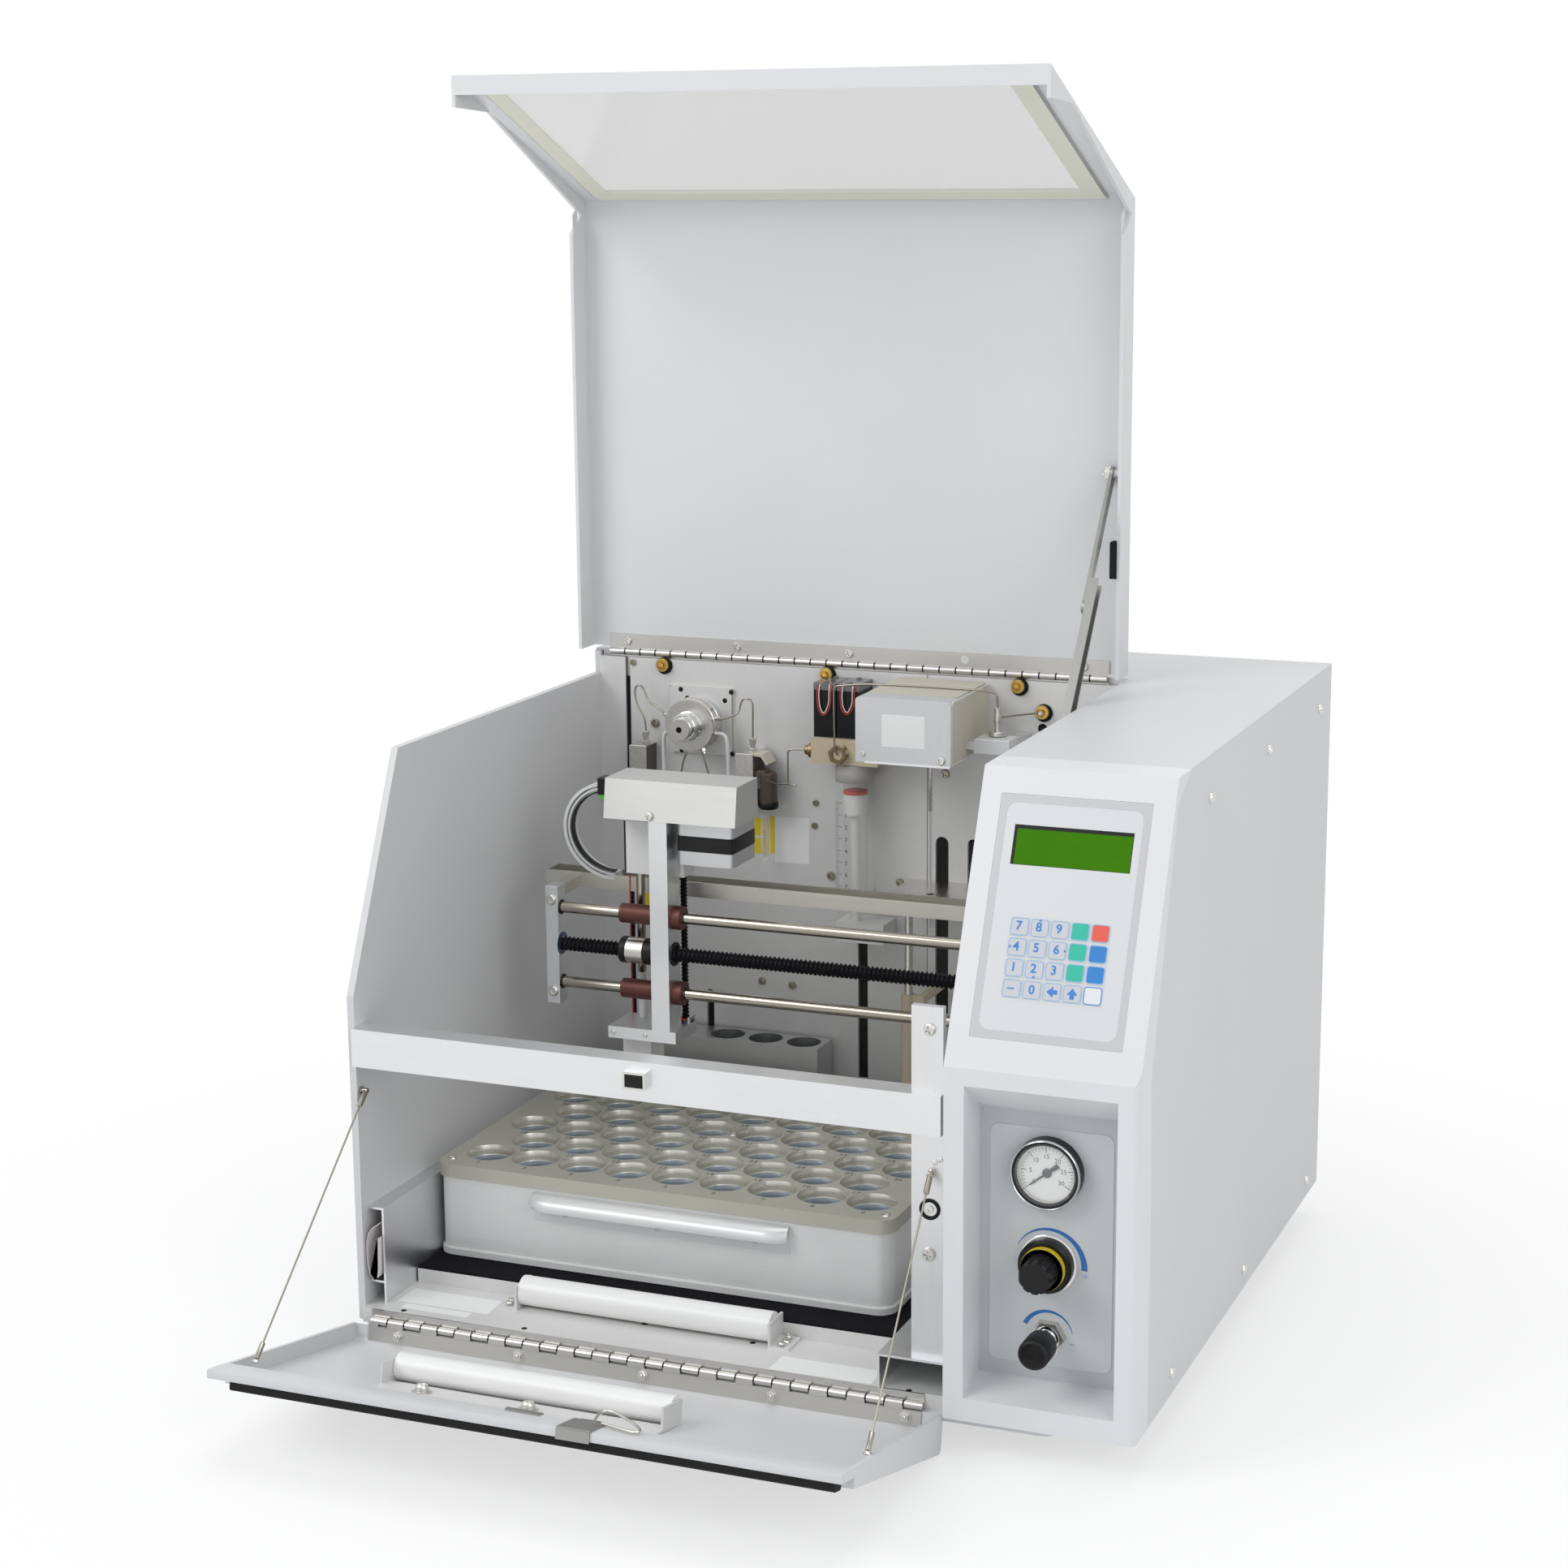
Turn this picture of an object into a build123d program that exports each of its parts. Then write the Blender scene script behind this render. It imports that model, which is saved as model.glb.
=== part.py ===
from build123d import *
import math
import os

os.makedirs("parts", exist_ok=True)

# General, in millimetres
sheet = 1.5
plate = 3
panel_edge = 5
running_gap = 0.3
slip = 0.05
overrun = 6
hex_sides = 6

# Wells of the tray, which set the tray's width and depth
well_pitch = 35.56
row_pitch = 34.3
wells_in_long_row = 9
well_rows = 6
well_left_margin = 27.4
well_right_margin = 25.62
well_front_margin = 32.5
well_rear_margin = 39
well_rim = 17
well_bore = 14.8
tray_width = well_left_margin + well_pitch * (wells_in_long_row - 1) + well_right_margin
tray_depth = well_front_margin + row_pitch * (well_rows - 1) + well_rear_margin

# Tray
tray_left = 18
tray_apron = 27
tray_height = 66
tray_plate = 9.5
tray_corner = 12
tray_wall = 2
tray_inset = 1.5
handle_left = 77
handle_width = 189
handle_low = 35
handle_top = 54
handle_reach = 11
handle_thick = 1.5
tray_right = tray_left + tray_width

# Tray platform and roller
platform_front = 50
platform_right_reach = 19.5
platform_rear_reach = 10
platform_top = 20.5
mat_thick = 1.5
roller_left = 106
roller_length = 182
roller_radius = 10
roller_set = 12
roller_z = 21.5
roller_pin_radius = 3
roller_pin_length = 8
bracket_thick = 1.6
bracket_depth = 22
bracket_foot = 13
platform_left = tray_left
platform_right = tray_right + platform_right_reach
tray_front = platform_front + tray_apron
platform_rear = tray_front + tray_depth + platform_rear_reach
platform_length = platform_rear - platform_front
roller_y = platform_front - roller_set

# Guides beside the tray
guide_left_inner = 15.5
guide_left_top = 78
guide_shelf = 26
guide_front = 8
guide_right_space = 1
guide_right_width = 46
guide_right_top = 33
guide_right_front = -5
guide_length = platform_rear - guide_front
guide_right_left = platform_right + guide_right_space
tower_x = guide_right_left + guide_right_width

# Vial rack at the back of the bay
rack_left = 40
rack_space = 21
rack_depth = 30
rack_wall_space = 4
rack_top = 110
rack_bore = 13.1
rack_bore_depth = 60
rack_first = 76.6
rack_pitch = 31.3
rack_wells = 3
rack_end = 16.8
rack_width = rack_first + rack_pitch * (rack_wells - 1) + rack_end
rack_front = platform_rear + rack_space

# Control recess of the tower, which sets the height of its shoulder
recess_left = 13
recess_right_rim = 13.4
recess_low = 15
recess_height = 202
recess_depth = 30
recess_wall = 2.5
recess_floor_rise = 6
recess_floor_drop = 20
control_thick = 2
label_margin = 7.5
label_right_margin = 10.1
label_rise = 0.6
label_corner = 6
label_low_margin = 11
label_high_margin = 11
shoulder_rim = 11
recess_high = recess_low + recess_height
recess_floor_low = recess_low + recess_floor_rise
recess_floor_high = recess_high - recess_floor_drop
label_low = recess_floor_low + label_low_margin
label_high = recess_floor_high - label_high_margin
shoulder_height = recess_high + shoulder_rim

# Keypad on the tower's slope, which sets the tower's width
slope_run = 77
slope_rise = 172
keypad_left = 13.5
keypad_width = 95.8
keypad_right_rim = 13.7
keypad_start = 20
keypad_end = 16.95
keypad_corner = 1.2
keypad_pocket = 1.8
keypad_thick = 1.6
lcd_side_margin = 10.9
lcd_right_margin = 9.3
lcd_top_margin = 18.8
lcd_height = 25
lcd_thick = 0.8
key_pitch = 12.7
key_width = 11.6
key_height = 11.2
key_rise = 0.5
key_left = 36.15
key_low = 51.6
key_columns = 5
key_rows = 4
slope_length = math.hypot(slope_run, slope_rise)
keypad_length = slope_length - keypad_start - keypad_end
lcd_left = keypad_left + lcd_side_margin
lcd_width = keypad_width - lcd_side_margin - lcd_right_margin
lcd_start = keypad_start + keypad_length - lcd_top_margin - lcd_height
tower_width = keypad_left + keypad_width + keypad_right_rim
recess_right = tower_width - recess_right_rim
label_left = recess_left + label_margin
label_right = recess_right - label_right_margin

# Case
foot_lift = 25
front_set = 12.3
wall_back = 117.7
bay_top_drop = 5
cover_skirt = 20
tower_top_run = 30
case_width = tower_x + tower_width
case_height = shoulder_height + slope_rise
wall_y = rack_front + rack_depth + rack_wall_space
rear_y = wall_y + wall_back
wall_rear = wall_y + plate
tower_top_y = slope_run - front_set
bay_top = case_height - bay_top_drop
cover_low = case_height - sheet
skirt_low = case_height - cover_skirt

# Base pan and feet
pan_thick = 3.5
pan_front_reach = 9
pan_right_reach = 75
pan_corner = 15
foot_radius = 16
foot_taper = 2
foot_inset = 70
foot_recess_radius = 6
foot_recess_depth = 5

# Bay floor and left side panel
deck_height = 10.5
deck_front_reach = 4
panel_shoulder_drop = 1.4
panel_top_drop = 18.5
panel_run = 70.9
panel_shoulder = shoulder_height - panel_shoulder_drop
panel_top = case_height - panel_top_drop

# Tower shell
bezel_wrap = 29
bezel_skin = 4
bezel_round = 5
bezel_kink_wrap = 25
bezel_kink_low = 155
bezel_kink_drop = 3
bezel_top_wrap = 14.5
bezel_end_run = 26
bezel_kink_high = shoulder_height - bezel_kink_drop

# Gauge, regulator and flow valve
gauge_x = 58.5
gauge_z = 159
gauge_radius = 22.4
gauge_ring = 2.6
gauge_front = 9
gauge_body_depth = 26
gauge_dial_set = 5
gauge_lens_thick = 1.5
pointer_length = 14
pointer_width = 1.6
pointer_thick = 0.6
pointer_hub = 3
pointer_angle = 38
regulator_x = 58.1
regulator_z = 98.9
regulator_radius = 17.3
regulator_front = 8
regulator_stem = 5
regulator_ring_radius = 13.7
regulator_ring_thick = 5
regulator_grip_radius = 10.5
regulator_grip_length = 15
regulator_flutes = 10
flute_radius = 1.3
flow_x = 59.4
flow_z = 51.7
flow_nut_flats = 20
flow_nut_thick = 6
flow_neck_radius = 6.5
flow_neck_length = 8
flow_stem = 3.2
flow_knob_radius = 9.5
flow_knob_length = 20

# Door
door_right_gap = 1
door_length = 180
door_tilt = 11.5
door_axis_z = 3.2
door_rim = 2.5
door_flange = 25
door_flange_front = 13
door_ledge = 40
door_lip = 22
door_lip_thick = 6
door_sink = 11
door_skin = 2.5
door_leaf_left = 13
door_leaf_width = 27
hinge_pitch = 25.4
hinge_end = 13
knuckle_radius = 2.6
hinge_pin = 1.2
leaf_thick = 1.2
door_first_knuckle = 33
door_roller_left = 86
door_roller_length = 192
door_roller_radius = 9
door_roller_rise = 4.2
door_bracket_reach = 22
door_roller_out = door_length / 2
door_right = tower_x - door_right_gap
door_knuckles = math.floor((door_right - hinge_end - door_first_knuckle) / hinge_pitch) + 1
door_leaf_right = door_first_knuckle + hinge_pitch * door_knuckles - hinge_pitch / 4 - running_gap
tilt = math.radians(door_tilt)
door_axis_y = -deck_front_reach - leaf_thick / 2 - knuckle_radius
leaf_clear = knuckle_radius + running_gap * 2
ledge = -knuckle_radius

# Crossbar over the closed door, magnet and post
bar_end_gap = 4.3
bar_height = 26
bar_front = -5
bar_flange = 18
bar_thick = 3
magnet_shift = 2.3
magnet_rise = 14.5
magnet_width = 15.3
magnet_height = 11
magnet_depth = 5
post_reach = 25
post_rise = 55
post_foot_height = 8
post_foot_depth = 10
bar_right = tower_x - bar_end_gap
bar_low = door_length
bar_high = bar_low + bar_height
magnet_x = tower_x / 2 + magnet_shift
magnet_z = bar_low + magnet_rise
post_left = tower_x - post_reach
post_top = bar_high + post_rise

# Stay wires of the door
wire_radius = 0.7
wire_inset = 7
wire_anchor_y = 4.7
wire_drop = 19
wire_right_drop = 25.3
wire_end = 34
wire_right_end = 54
ferrule_radius = 1.9
ferrule_length = 13
wire_anchor_z = bar_low - wire_drop
wire_right_z = bar_low - wire_right_drop
wire_out = door_length - wire_end
wire_right_out = door_length - wire_right_end

# Lid
lid_axis_set = 1.8
lid_axis_drop = 1
lid_left = -3
lid_right_gap = 0.5
lid_skin = 2.5
lid_back = 4.2
lid_start = 3.6
lid_bend_front = 47.8
lid_bar_lap = 8
lid_slant_rise = 86
lid_flange = 25
lid_lip = 13
flange_lip_share = 0.84
flange_bend_shares = (0.36, 0.42)
window_margin = 25
window_front_margin = 15
window_back_margin = 18
window_lap = 9
window_thick = 2
lid_leaf_left = 13.2
lid_leaf_end = 13.3
lid_leaf_height = 13.5
lid_first_knuckle = 33
lid_axis_y = wall_y + lid_axis_set
lid_axis_z = case_height - lid_axis_drop
lid_bend = lid_axis_y - lid_bend_front
lid_slant_run = lid_axis_z - bar_high + lid_bar_lap
lid_leaf_right = tower_x - lid_leaf_end
lid_knuckles = math.floor((lid_leaf_right - lid_first_knuckle) / hinge_pitch) + 1
skirt_high = lid_axis_z - knuckle_radius - running_gap * 2

# Folding stay of the lid
stay_stud_back = 4.2
stay_stud_up = 148.4
stay_link_angle = 52.56
stay_upper = 108
stay_lower = 109.4
stay_channel_end = 20
stay_channel_width = 12
stay_channel_depth = 6
stay_channel_wall = 1.5
stay_bar_width = 8
stay_bar_thick = 2.5
stay_wall_gap = 10
stay_eye = 5
stay_stud_radius = 3
stay_slab = tower_x - stay_wall_gap
stud_y = lid_axis_y - stay_stud_back
stud_z = lid_axis_z + stay_stud_up
link_angle = math.radians(stay_link_angle)
link_up = (0, math.cos(link_angle), math.sin(link_angle))
pivot_y = stud_y - (stay_upper + stay_lower) * link_up[1]
pivot_z = stud_z - (stay_upper + stay_lower) * link_up[2]

# Gantry
gantry_front = 193
gantry_left = 51
gantry_right_space = 22
gantry_plate_wide = 9.5
gantry_plate_deep = 12
gantry_low_edge = 14.9
gantry_high_edge = 16
rod_radius = 4
rod_low = 190.5
rod_spacing = 55
screw_rise = 28.3
screw_radius = 5.4
cable_channel_set = 37
cable_channel_depth = 20
cable_channel_height = 10.7
cable_channel_lap = 8.4
cable_channel_left = 33
rail_front = 61
rail_wall_space = 1
rail_drop = 38.5
rail_height = 14
rail_width = 8
shoe_depth = 50
shoe_wall = 5
x_motor_side = 42
x_motor_length = 38
rod_high = rod_low + rod_spacing
screw_height = rod_low + screw_rise
gantry_low = rod_low - gantry_low_edge
gantry_high = rod_high + gantry_high_edge
gantry_right = tower_x - gantry_right_space
cable_channel_front = gantry_front + cable_channel_set
cable_channel_low = gantry_high - cable_channel_lap
cable_channel_high = cable_channel_low + cable_channel_height
rail_length = wall_y - rail_wall_space - rail_front
rail_low = rod_low - rail_drop
rail_left = tower_x - rail_width

# Carriage
upright_left = 135
upright_wide = 13.8
upright_deep = 20
upright_lead = 5
base_reach = 34.2
base_end = 4.4
base_drop = 34.5
base_thick = 8.5
base_deep = 36
bush_radius = 7
bush_reach = 26.5
flange_bush_radius = 8.5
flange_bush_length = 7
nut_radius = 9
top_box_reach = 34
top_box_width = 100
top_box_lead = 6
top_box_deep = 41
top_box_rise = 70.5
top_box_height = 28
top_box_slope = 4
z_motor_side = 42
z_motor_height = 31
z_screw_set = 30
z_screw_inset = 1.1
z_screw_radius = 2.8
z_block_width = 46.1
z_block_end = 4.4
z_block_drop = 6
z_block_height = 38
z_block_deep = 18
z_block_lead = 8.5
gripper_set = 20.7
gripper_shaft = 3
gripper_clearance = 4
gripper_head_height = 12
gripper_head_side = 22
gripper_jaw_length = 14
gripper_jaw_thick = 3
ribbon_thick = 1
ribbon_width = 12
ribbon_out = 57.7
upright_right = upright_left + upright_wide
upright_front = gantry_front - upright_lead
base_left = upright_left - base_reach
base_right = upright_right + base_end
base_low = rod_low - base_drop
base_high = base_low + base_thick
bush_left = upright_left - bush_reach
top_box_left = upright_left - top_box_reach
top_box_right = top_box_left + top_box_width
top_box_front = gantry_front - top_box_lead
top_box_low = rod_high + top_box_rise
top_box_high = top_box_low + top_box_height
z_screw_x = upright_right - z_screw_inset
z_screw_y = upright_front + z_screw_set
z_block_right = z_screw_x + z_block_end
z_block_left = z_block_right - z_block_width
z_block_high = top_box_low - z_block_drop
z_block_low = z_block_high - z_block_height
z_block_front = z_screw_y - z_block_lead
gripper_x = upright_left - gripper_set
gripper_head_high = base_low - gripper_clearance
gripper_head_low = gripper_head_high - gripper_head_height
gripper_jaw_low = gripper_head_low - gripper_jaw_length

# Instruments on the back wall, hung from the top of the case
valve_x = 90.5
valve_drop = 50
valve_plate = 51
valve_flange_radius = 12
valve_body_radius = 14
valve_disc_radius = 19.5
valve_disc_front = 23
valve_disc_thick = 8
valve_nose_radius = 10
valve_nose_end_radius = 8
valve_nose_front = 41
valve_bore = 2.3
gas_left_x = 37.4
gas_left_width = 23.9
gas_right_x = 126.4
gas_right_width = 26.4
gas_drop = 107
gas_left_height = 38
gas_right_height = 40
gas_depth = 13
gas_knob_radius = 7
gas_knob_length = 12
solenoid_left = 193
solenoid_width = 17
solenoid_gap = 1.3
solenoid_count = 2
solenoid_drop = 11
solenoid_height = 40
solenoid_depth = 28
manifold_left = 192
manifold_width = 52.5
manifold_height = 19
manifold_depth = 33
manifold_port = 7
manifold_port_length = 4
syringe_x = 221.9
syringe_wall_space = 19
syringe_length = 102
syringe_cap_height = 12
syringe_radius = 14.7
syringe_bore = 9.2
syringe_cap_radius = 12
syringe_lug_share = 0.7
plunger_seal_drop = 27
plunger_seal_height = 12
plunger_rod = 4
plunger_bracket_reach = 13.1
plunger_bracket_width = 37.8
plunger_bracket_drop = 22
plunger_bracket_height = 15
plunger_arm_width = 5
plunger_arm_height = 6
plunger_arm_set = 1.8
heater_left = 247
heater_width = 71.8
heater_depth = 85
heater_drop = 8
heater_height = 47
heater_round = 3
needle_x = 288
needle_wall_space = 40
needle_radius = 0.8
needle_length = 130
needle_plate_left = 258
needle_plate_width = 63
needle_plate_depth = 56
needle_plate_rise = 19
needle_plate_thick = 6
needle_hole = 3
lift_rod_x = 273
lift_rod_wall_space = 45
lift_rod_radius = 3
lift_sleeve_radius = 5.5
lift_sleeve_drop = 70
lift_arm_set = 10.1
lift_ring_x = 295.5
lift_ring_radius = 15
lift_ring_bore = 12
lift_ring_low = 92
lift_ring_height = 10
valve_z = case_height - valve_drop
gas_low = case_height - gas_drop
gas_left_high = gas_low + gas_left_height
gas_right_high = gas_low + gas_right_height
solenoid_high = case_height - solenoid_drop
solenoid_low = solenoid_high - solenoid_height
manifold_low = solenoid_low - manifold_height
syringe_y = wall_y - syringe_wall_space
syringe_high = manifold_low - syringe_cap_height
syringe_low = syringe_high - syringe_length
plunger_seal_low = syringe_high - plunger_seal_drop
plunger_bracket_left = syringe_x - plunger_bracket_reach
plunger_bracket_low = syringe_low - plunger_bracket_drop
heater_front = wall_y - heater_depth
heater_high = case_height - heater_drop
heater_low = heater_high - heater_height
needle_y = wall_y - needle_wall_space
needle_tip = heater_low - needle_length
needle_plate_front = wall_y - needle_plate_depth
needle_plate_low = needle_tip + needle_plate_rise
lift_rod_y = wall_y - lift_rod_wall_space
lift_sleeve_high = needle_plate_low - lift_sleeve_drop

# Back wall of the bay, with a slot for each arm that comes through it
corner_strip_width = 21.7
corner_strip_leg = 30
wall_left = 30.8
wall_seam = 271.5
wall_seam_gap = 0.6
slot_margin = 0.5
rack_slot_x = 94
rack_slot_width = 5.9
rack_slot_low = 103.9
rack_slot_high = 138.2
plunger_slot_width = 7.8
plunger_slot_length = 128.4
lift_slot_width = 10.2
lift_slot_rise = 109.9
lift_slot_length = 136.5
spare_slot_set = 24.5
spare_slot_width = 9
spare_slot_length = 90.4
plunger_slot_x = syringe_x - plunger_arm_set
plunger_slot_high = plunger_bracket_low + plunger_bracket_height - slot_margin
lift_slot_x = lift_rod_x + lift_arm_set
lift_slot_high = lift_sleeve_high + lift_slot_rise
wall_slots = (
    (rack_slot_x, rack_slot_width, rack_slot_low, rack_slot_high),
    (plunger_slot_x, plunger_slot_width, plunger_slot_high - plunger_slot_length, plunger_slot_high),
    (lift_slot_x, lift_slot_width, lift_slot_high - lift_slot_length, lift_slot_high),
    (lift_slot_x + spare_slot_set, spare_slot_width, lift_slot_high - spare_slot_length, lift_slot_high))

# Rear services
vent_width = 62
vent_height = 4
vent_pitch = 9
vent_rows = 6
vent_spread = 220
vent_drop = 98
inlet_x = 131
inlet_z = 71
inlet_width = 48
inlet_height = 28
inlet_depth = 20
inlet_hollow = 12
inlet_flange = 2
bulkhead_x = 331
bulkhead_z = 71
bulkhead_pitch = 41
bulkhead_radius = 8
bulkhead_neck_radius = 4.8
bulkhead_count = 2
bulkhead_length = 12
bulkhead_bore = 1.6
vent_centre_z = case_height - vent_drop

# The part's middle, over which its origin lies
part_front = door_axis_y - door_length * math.cos(tilt) - (door_lip_thick - ledge) * math.sin(tilt)
part_rear = rear_y + bulkhead_length
mid_x = (lid_left + case_width) / 2
mid_y = (part_front + part_rear) / 2


def at(x, y, z):
    """A place measured from the bay's front left bottom corner, in the part's own frame.

    The part's origin lies on the table, under the middle of its whole footprint.
    """
    return Vector(x - mid_x, y - mid_y, z + foot_lift)


def block(across, along, up, mode=Mode.ADD):
    """A block between three pairs of faces."""
    low = at(across[0], along[0], up[0])
    size = at(across[1], along[1], up[1]) - low
    with Locations(low):
        Box(size.X, size.Y, size.Z, align=(Align.MIN, Align.MIN, Align.MIN), mode=mode)


def bar(start, end, radius, mode=Mode.ADD):
    """A round bar between two places."""
    first = at(*start)
    reach = at(*end) - first
    with Locations(Plane(origin=first, z_dir=reach)):
        Cylinder(radius, reach.length, align=(Align.CENTER, Align.CENTER, Align.MIN), mode=mode)


def side_plane(x):
    """The upright plane across x: its own axes are y and z."""
    return Plane(origin=at(x, 0, 0), x_dir=(0, 1, 0), z_dir=(1, 0, 0))


def front_plane(y):
    """The upright plane facing the front: its own axes are x and z."""
    return Plane(origin=at(0, y, 0), x_dir=(1, 0, 0), z_dir=(0, -1, 0))


def floor_plane(z):
    """The level plane at height z: its own axes are x and y."""
    return Plane(origin=at(0, 0, z), x_dir=(1, 0, 0), z_dir=(0, 0, 1))


def turned(x, y, z, profile, mode=Mode.ADD):
    """A form turned about an axis that runs to the rear, from pairs of radius and depth."""
    with BuildSketch(Plane(origin=at(x, y, z), x_dir=(1, 0, 0), z_dir=(0, 0, -1))) as half:
        Polygon(*[(radius, -depth) for radius, depth in profile])
    revolve(half.sketch, axis=Axis(at(x, y, z), (0, 1, 0)), mode=mode)


with BuildPart() as base_pan:
    pan_right = tower_x + pan_right_reach
    pan_mid_x = (pan_right + panel_edge) / 2
    pan_mid_y = (rear_y - pan_front_reach) / 2
    with BuildSketch(Plane(at(pan_mid_x, pan_mid_y, -pan_thick))):
        RectangleRounded(pan_right - panel_edge, rear_y + pan_front_reach, pan_corner)
    extrude(amount=pan_thick)
base_pan.part.label = "base_pan"
export_step(base_pan.part, "parts/base_pan.step")

with BuildPart() as rubber_feet:
    foot_height = foot_lift - pan_thick
    foot_span_x = pan_right - foot_inset * 2
    foot_span_y = rear_y - foot_inset * 2
    with Locations(Plane(at(pan_mid_x, rear_y / 2, -foot_lift))):
        with GridLocations(foot_span_x, foot_span_y, 2, 2):
            Cone(foot_radius - foot_taper, foot_radius, foot_height,
                 align=(Align.CENTER, Align.CENTER, Align.MIN))
            Cylinder(foot_recess_radius, foot_recess_depth,
                     align=(Align.CENTER, Align.CENTER, Align.MIN), mode=Mode.SUBTRACT)
rubber_feet.part.label = "rubber_feet"
export_step(rubber_feet.part, "parts/rubber_feet.step")

with BuildPart() as deck_plate:
    with BuildSketch(side_plane(panel_edge)):
        Polygon((-deck_front_reach, 0), (sheet - deck_front_reach, 0),
                (sheet - deck_front_reach, deck_height - sheet), (wall_rear, deck_height - sheet),
                (wall_rear, deck_height), (-deck_front_reach, deck_height))
    extrude(amount=tower_x - panel_edge)
deck_plate.part.label = "deck_plate"
export_step(deck_plate.part, "parts/deck_plate.step")

with BuildPart() as left_side_panel:
    with BuildSketch(side_plane(0)):
        Polygon((0, 0), (0, panel_shoulder), (panel_run, panel_top), (wall_rear, panel_top),
                (wall_rear, cover_low), (rear_y, cover_low), (rear_y, 0))
    extrude(amount=panel_edge)
left_side_panel.part.label = "left_side_panel"
export_step(left_side_panel.part, "parts/left_side_panel.step")

with BuildPart() as corner_channel:
    strip_right = panel_edge + corner_strip_width
    block((panel_edge, strip_right), (wall_y, wall_y + sheet), (deck_height, bay_top))
    block((panel_edge, panel_edge + sheet), (wall_y, wall_y + corner_strip_leg), (deck_height, bay_top))
corner_channel.part.label = "corner_channel"
export_step(corner_channel.part, "parts/corner_channel.step")

with BuildPart() as back_plates:
    block((wall_left, wall_seam - wall_seam_gap / 2), (wall_y, wall_rear), (deck_height, bay_top))
    block((wall_seam + wall_seam_gap / 2, tower_x), (wall_y, wall_rear), (deck_height, bay_top))
    for slot_x, slot_width, slot_low, slot_high in wall_slots:
        block((slot_x - slot_width / 2, slot_x + slot_width / 2), (wall_y - overrun, wall_rear + overrun),
              (slot_low, slot_high), mode=Mode.SUBTRACT)
back_plates.part.label = "back_plates"
export_step(back_plates.part, "parts/back_plates.step")

with BuildPart() as rear_panel:
    block((panel_edge, case_width - sheet), (rear_y - sheet, rear_y), (0, cover_low))
    with BuildSketch(front_plane(rear_y)):
        for side in (-1, 1):
            with Locations((case_width / 2 + side * vent_spread / 2, vent_centre_z)):
                with GridLocations(vent_width, vent_pitch, 1, vent_rows):
                    SlotOverall(vent_width, vent_height)
    extrude(amount=sheet, mode=Mode.SUBTRACT)
    half_wide = inlet_width / 2
    half_high = inlet_height / 2
    inlet_rim = (inlet_height - inlet_depth) / 2
    block((inlet_x - half_wide, inlet_x + half_wide), (rear_y, rear_y + inlet_flange),
          (inlet_z - half_high, inlet_z + half_high))
    block((inlet_x - half_wide + inlet_rim, inlet_x + half_wide - inlet_rim),
          (rear_y - inlet_hollow, rear_y + inlet_flange * 2),
          (inlet_z - half_high + inlet_rim, inlet_z + half_high - inlet_rim))
    block((inlet_x - half_wide + inlet_rim * 2, inlet_x + half_wide - inlet_rim * 2),
          (rear_y + inlet_flange * 2 - inlet_hollow, rear_y + inlet_hollow),
          (inlet_z - half_high + inlet_rim * 2, inlet_z + half_high - inlet_rim * 2), mode=Mode.SUBTRACT)
    for step in range(bulkhead_count):
        fitting_x = bulkhead_x + step * bulkhead_pitch
        with BuildSketch(Plane(origin=at(fitting_x, rear_y, bulkhead_z), x_dir=(1, 0, 0), z_dir=(0, 1, 0))):
            RegularPolygon(bulkhead_radius, hex_sides)
        extrude(amount=bulkhead_length / 2)
        bar((fitting_x, rear_y, bulkhead_z), (fitting_x, rear_y + bulkhead_length, bulkhead_z),
            bulkhead_neck_radius)
        bar((fitting_x, rear_y - sheet, bulkhead_z), (fitting_x, rear_y + bulkhead_length, bulkhead_z),
            bulkhead_bore, mode=Mode.SUBTRACT)
rear_panel.part.label = "rear_panel"
export_step(rear_panel.part, "parts/rear_panel.step")

seam_points = [(bezel_wrap - front_set, 0), (bezel_wrap - front_set, bezel_kink_low),
               (bezel_kink_wrap - front_set, bezel_kink_high),
               (tower_top_y, cover_low - bezel_top_wrap),
               (tower_top_y + bezel_end_run, cover_low - sheet),
               (tower_top_y + tower_top_run, cover_low)]

with BuildPart() as top_cover:
    leaf_rear = wall_rear + leaf_thick
    cover_front = leaf_rear + running_gap * 2
    with BuildSketch(floor_plane(cover_low)):
        Polygon((0, cover_front), (tower_x, cover_front),
                (tower_x, tower_top_y + tower_top_run), (case_width, tower_top_y + tower_top_run),
                (case_width, rear_y), (0, rear_y))
    extrude(amount=sheet)
    with BuildSketch(side_plane(case_width - sheet)):
        Polygon(*seam_points, (rear_y, cover_low), (rear_y, 0))
    extrude(amount=sheet)
    block((case_width - sheet * 2, case_width + overrun), (-front_set, rear_y + overrun),
          (-overrun, skirt_low), mode=Mode.SUBTRACT)
    block((panel_edge + sheet, tower_x), (leaf_rear, cover_front + sheet), (skirt_low, skirt_high))
    block((panel_edge + sheet, tower_x), (cover_front, cover_front + sheet), (skirt_high, cover_low))
top_cover.part.label = "top_cover"
export_step(top_cover.part, "parts/top_cover.step")

with BuildPart() as tower_inner_wall:
    with BuildSketch(side_plane(tower_x)):
        Polygon(*seam_points, (rear_y - sheet, cover_low), (rear_y - sheet, 0))
    extrude(amount=sheet)
    bar((stay_slab - sheet, pivot_y, pivot_z), (tower_x, pivot_y, pivot_z), stay_stud_radius)
    block((rail_left, tower_x), (rail_front, rail_front + rail_length), (rail_low, rail_low + rail_height))
tower_inner_wall.part.label = "tower_inner_wall"
export_step(tower_inner_wall.part, "parts/tower_inner_wall.step")

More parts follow.
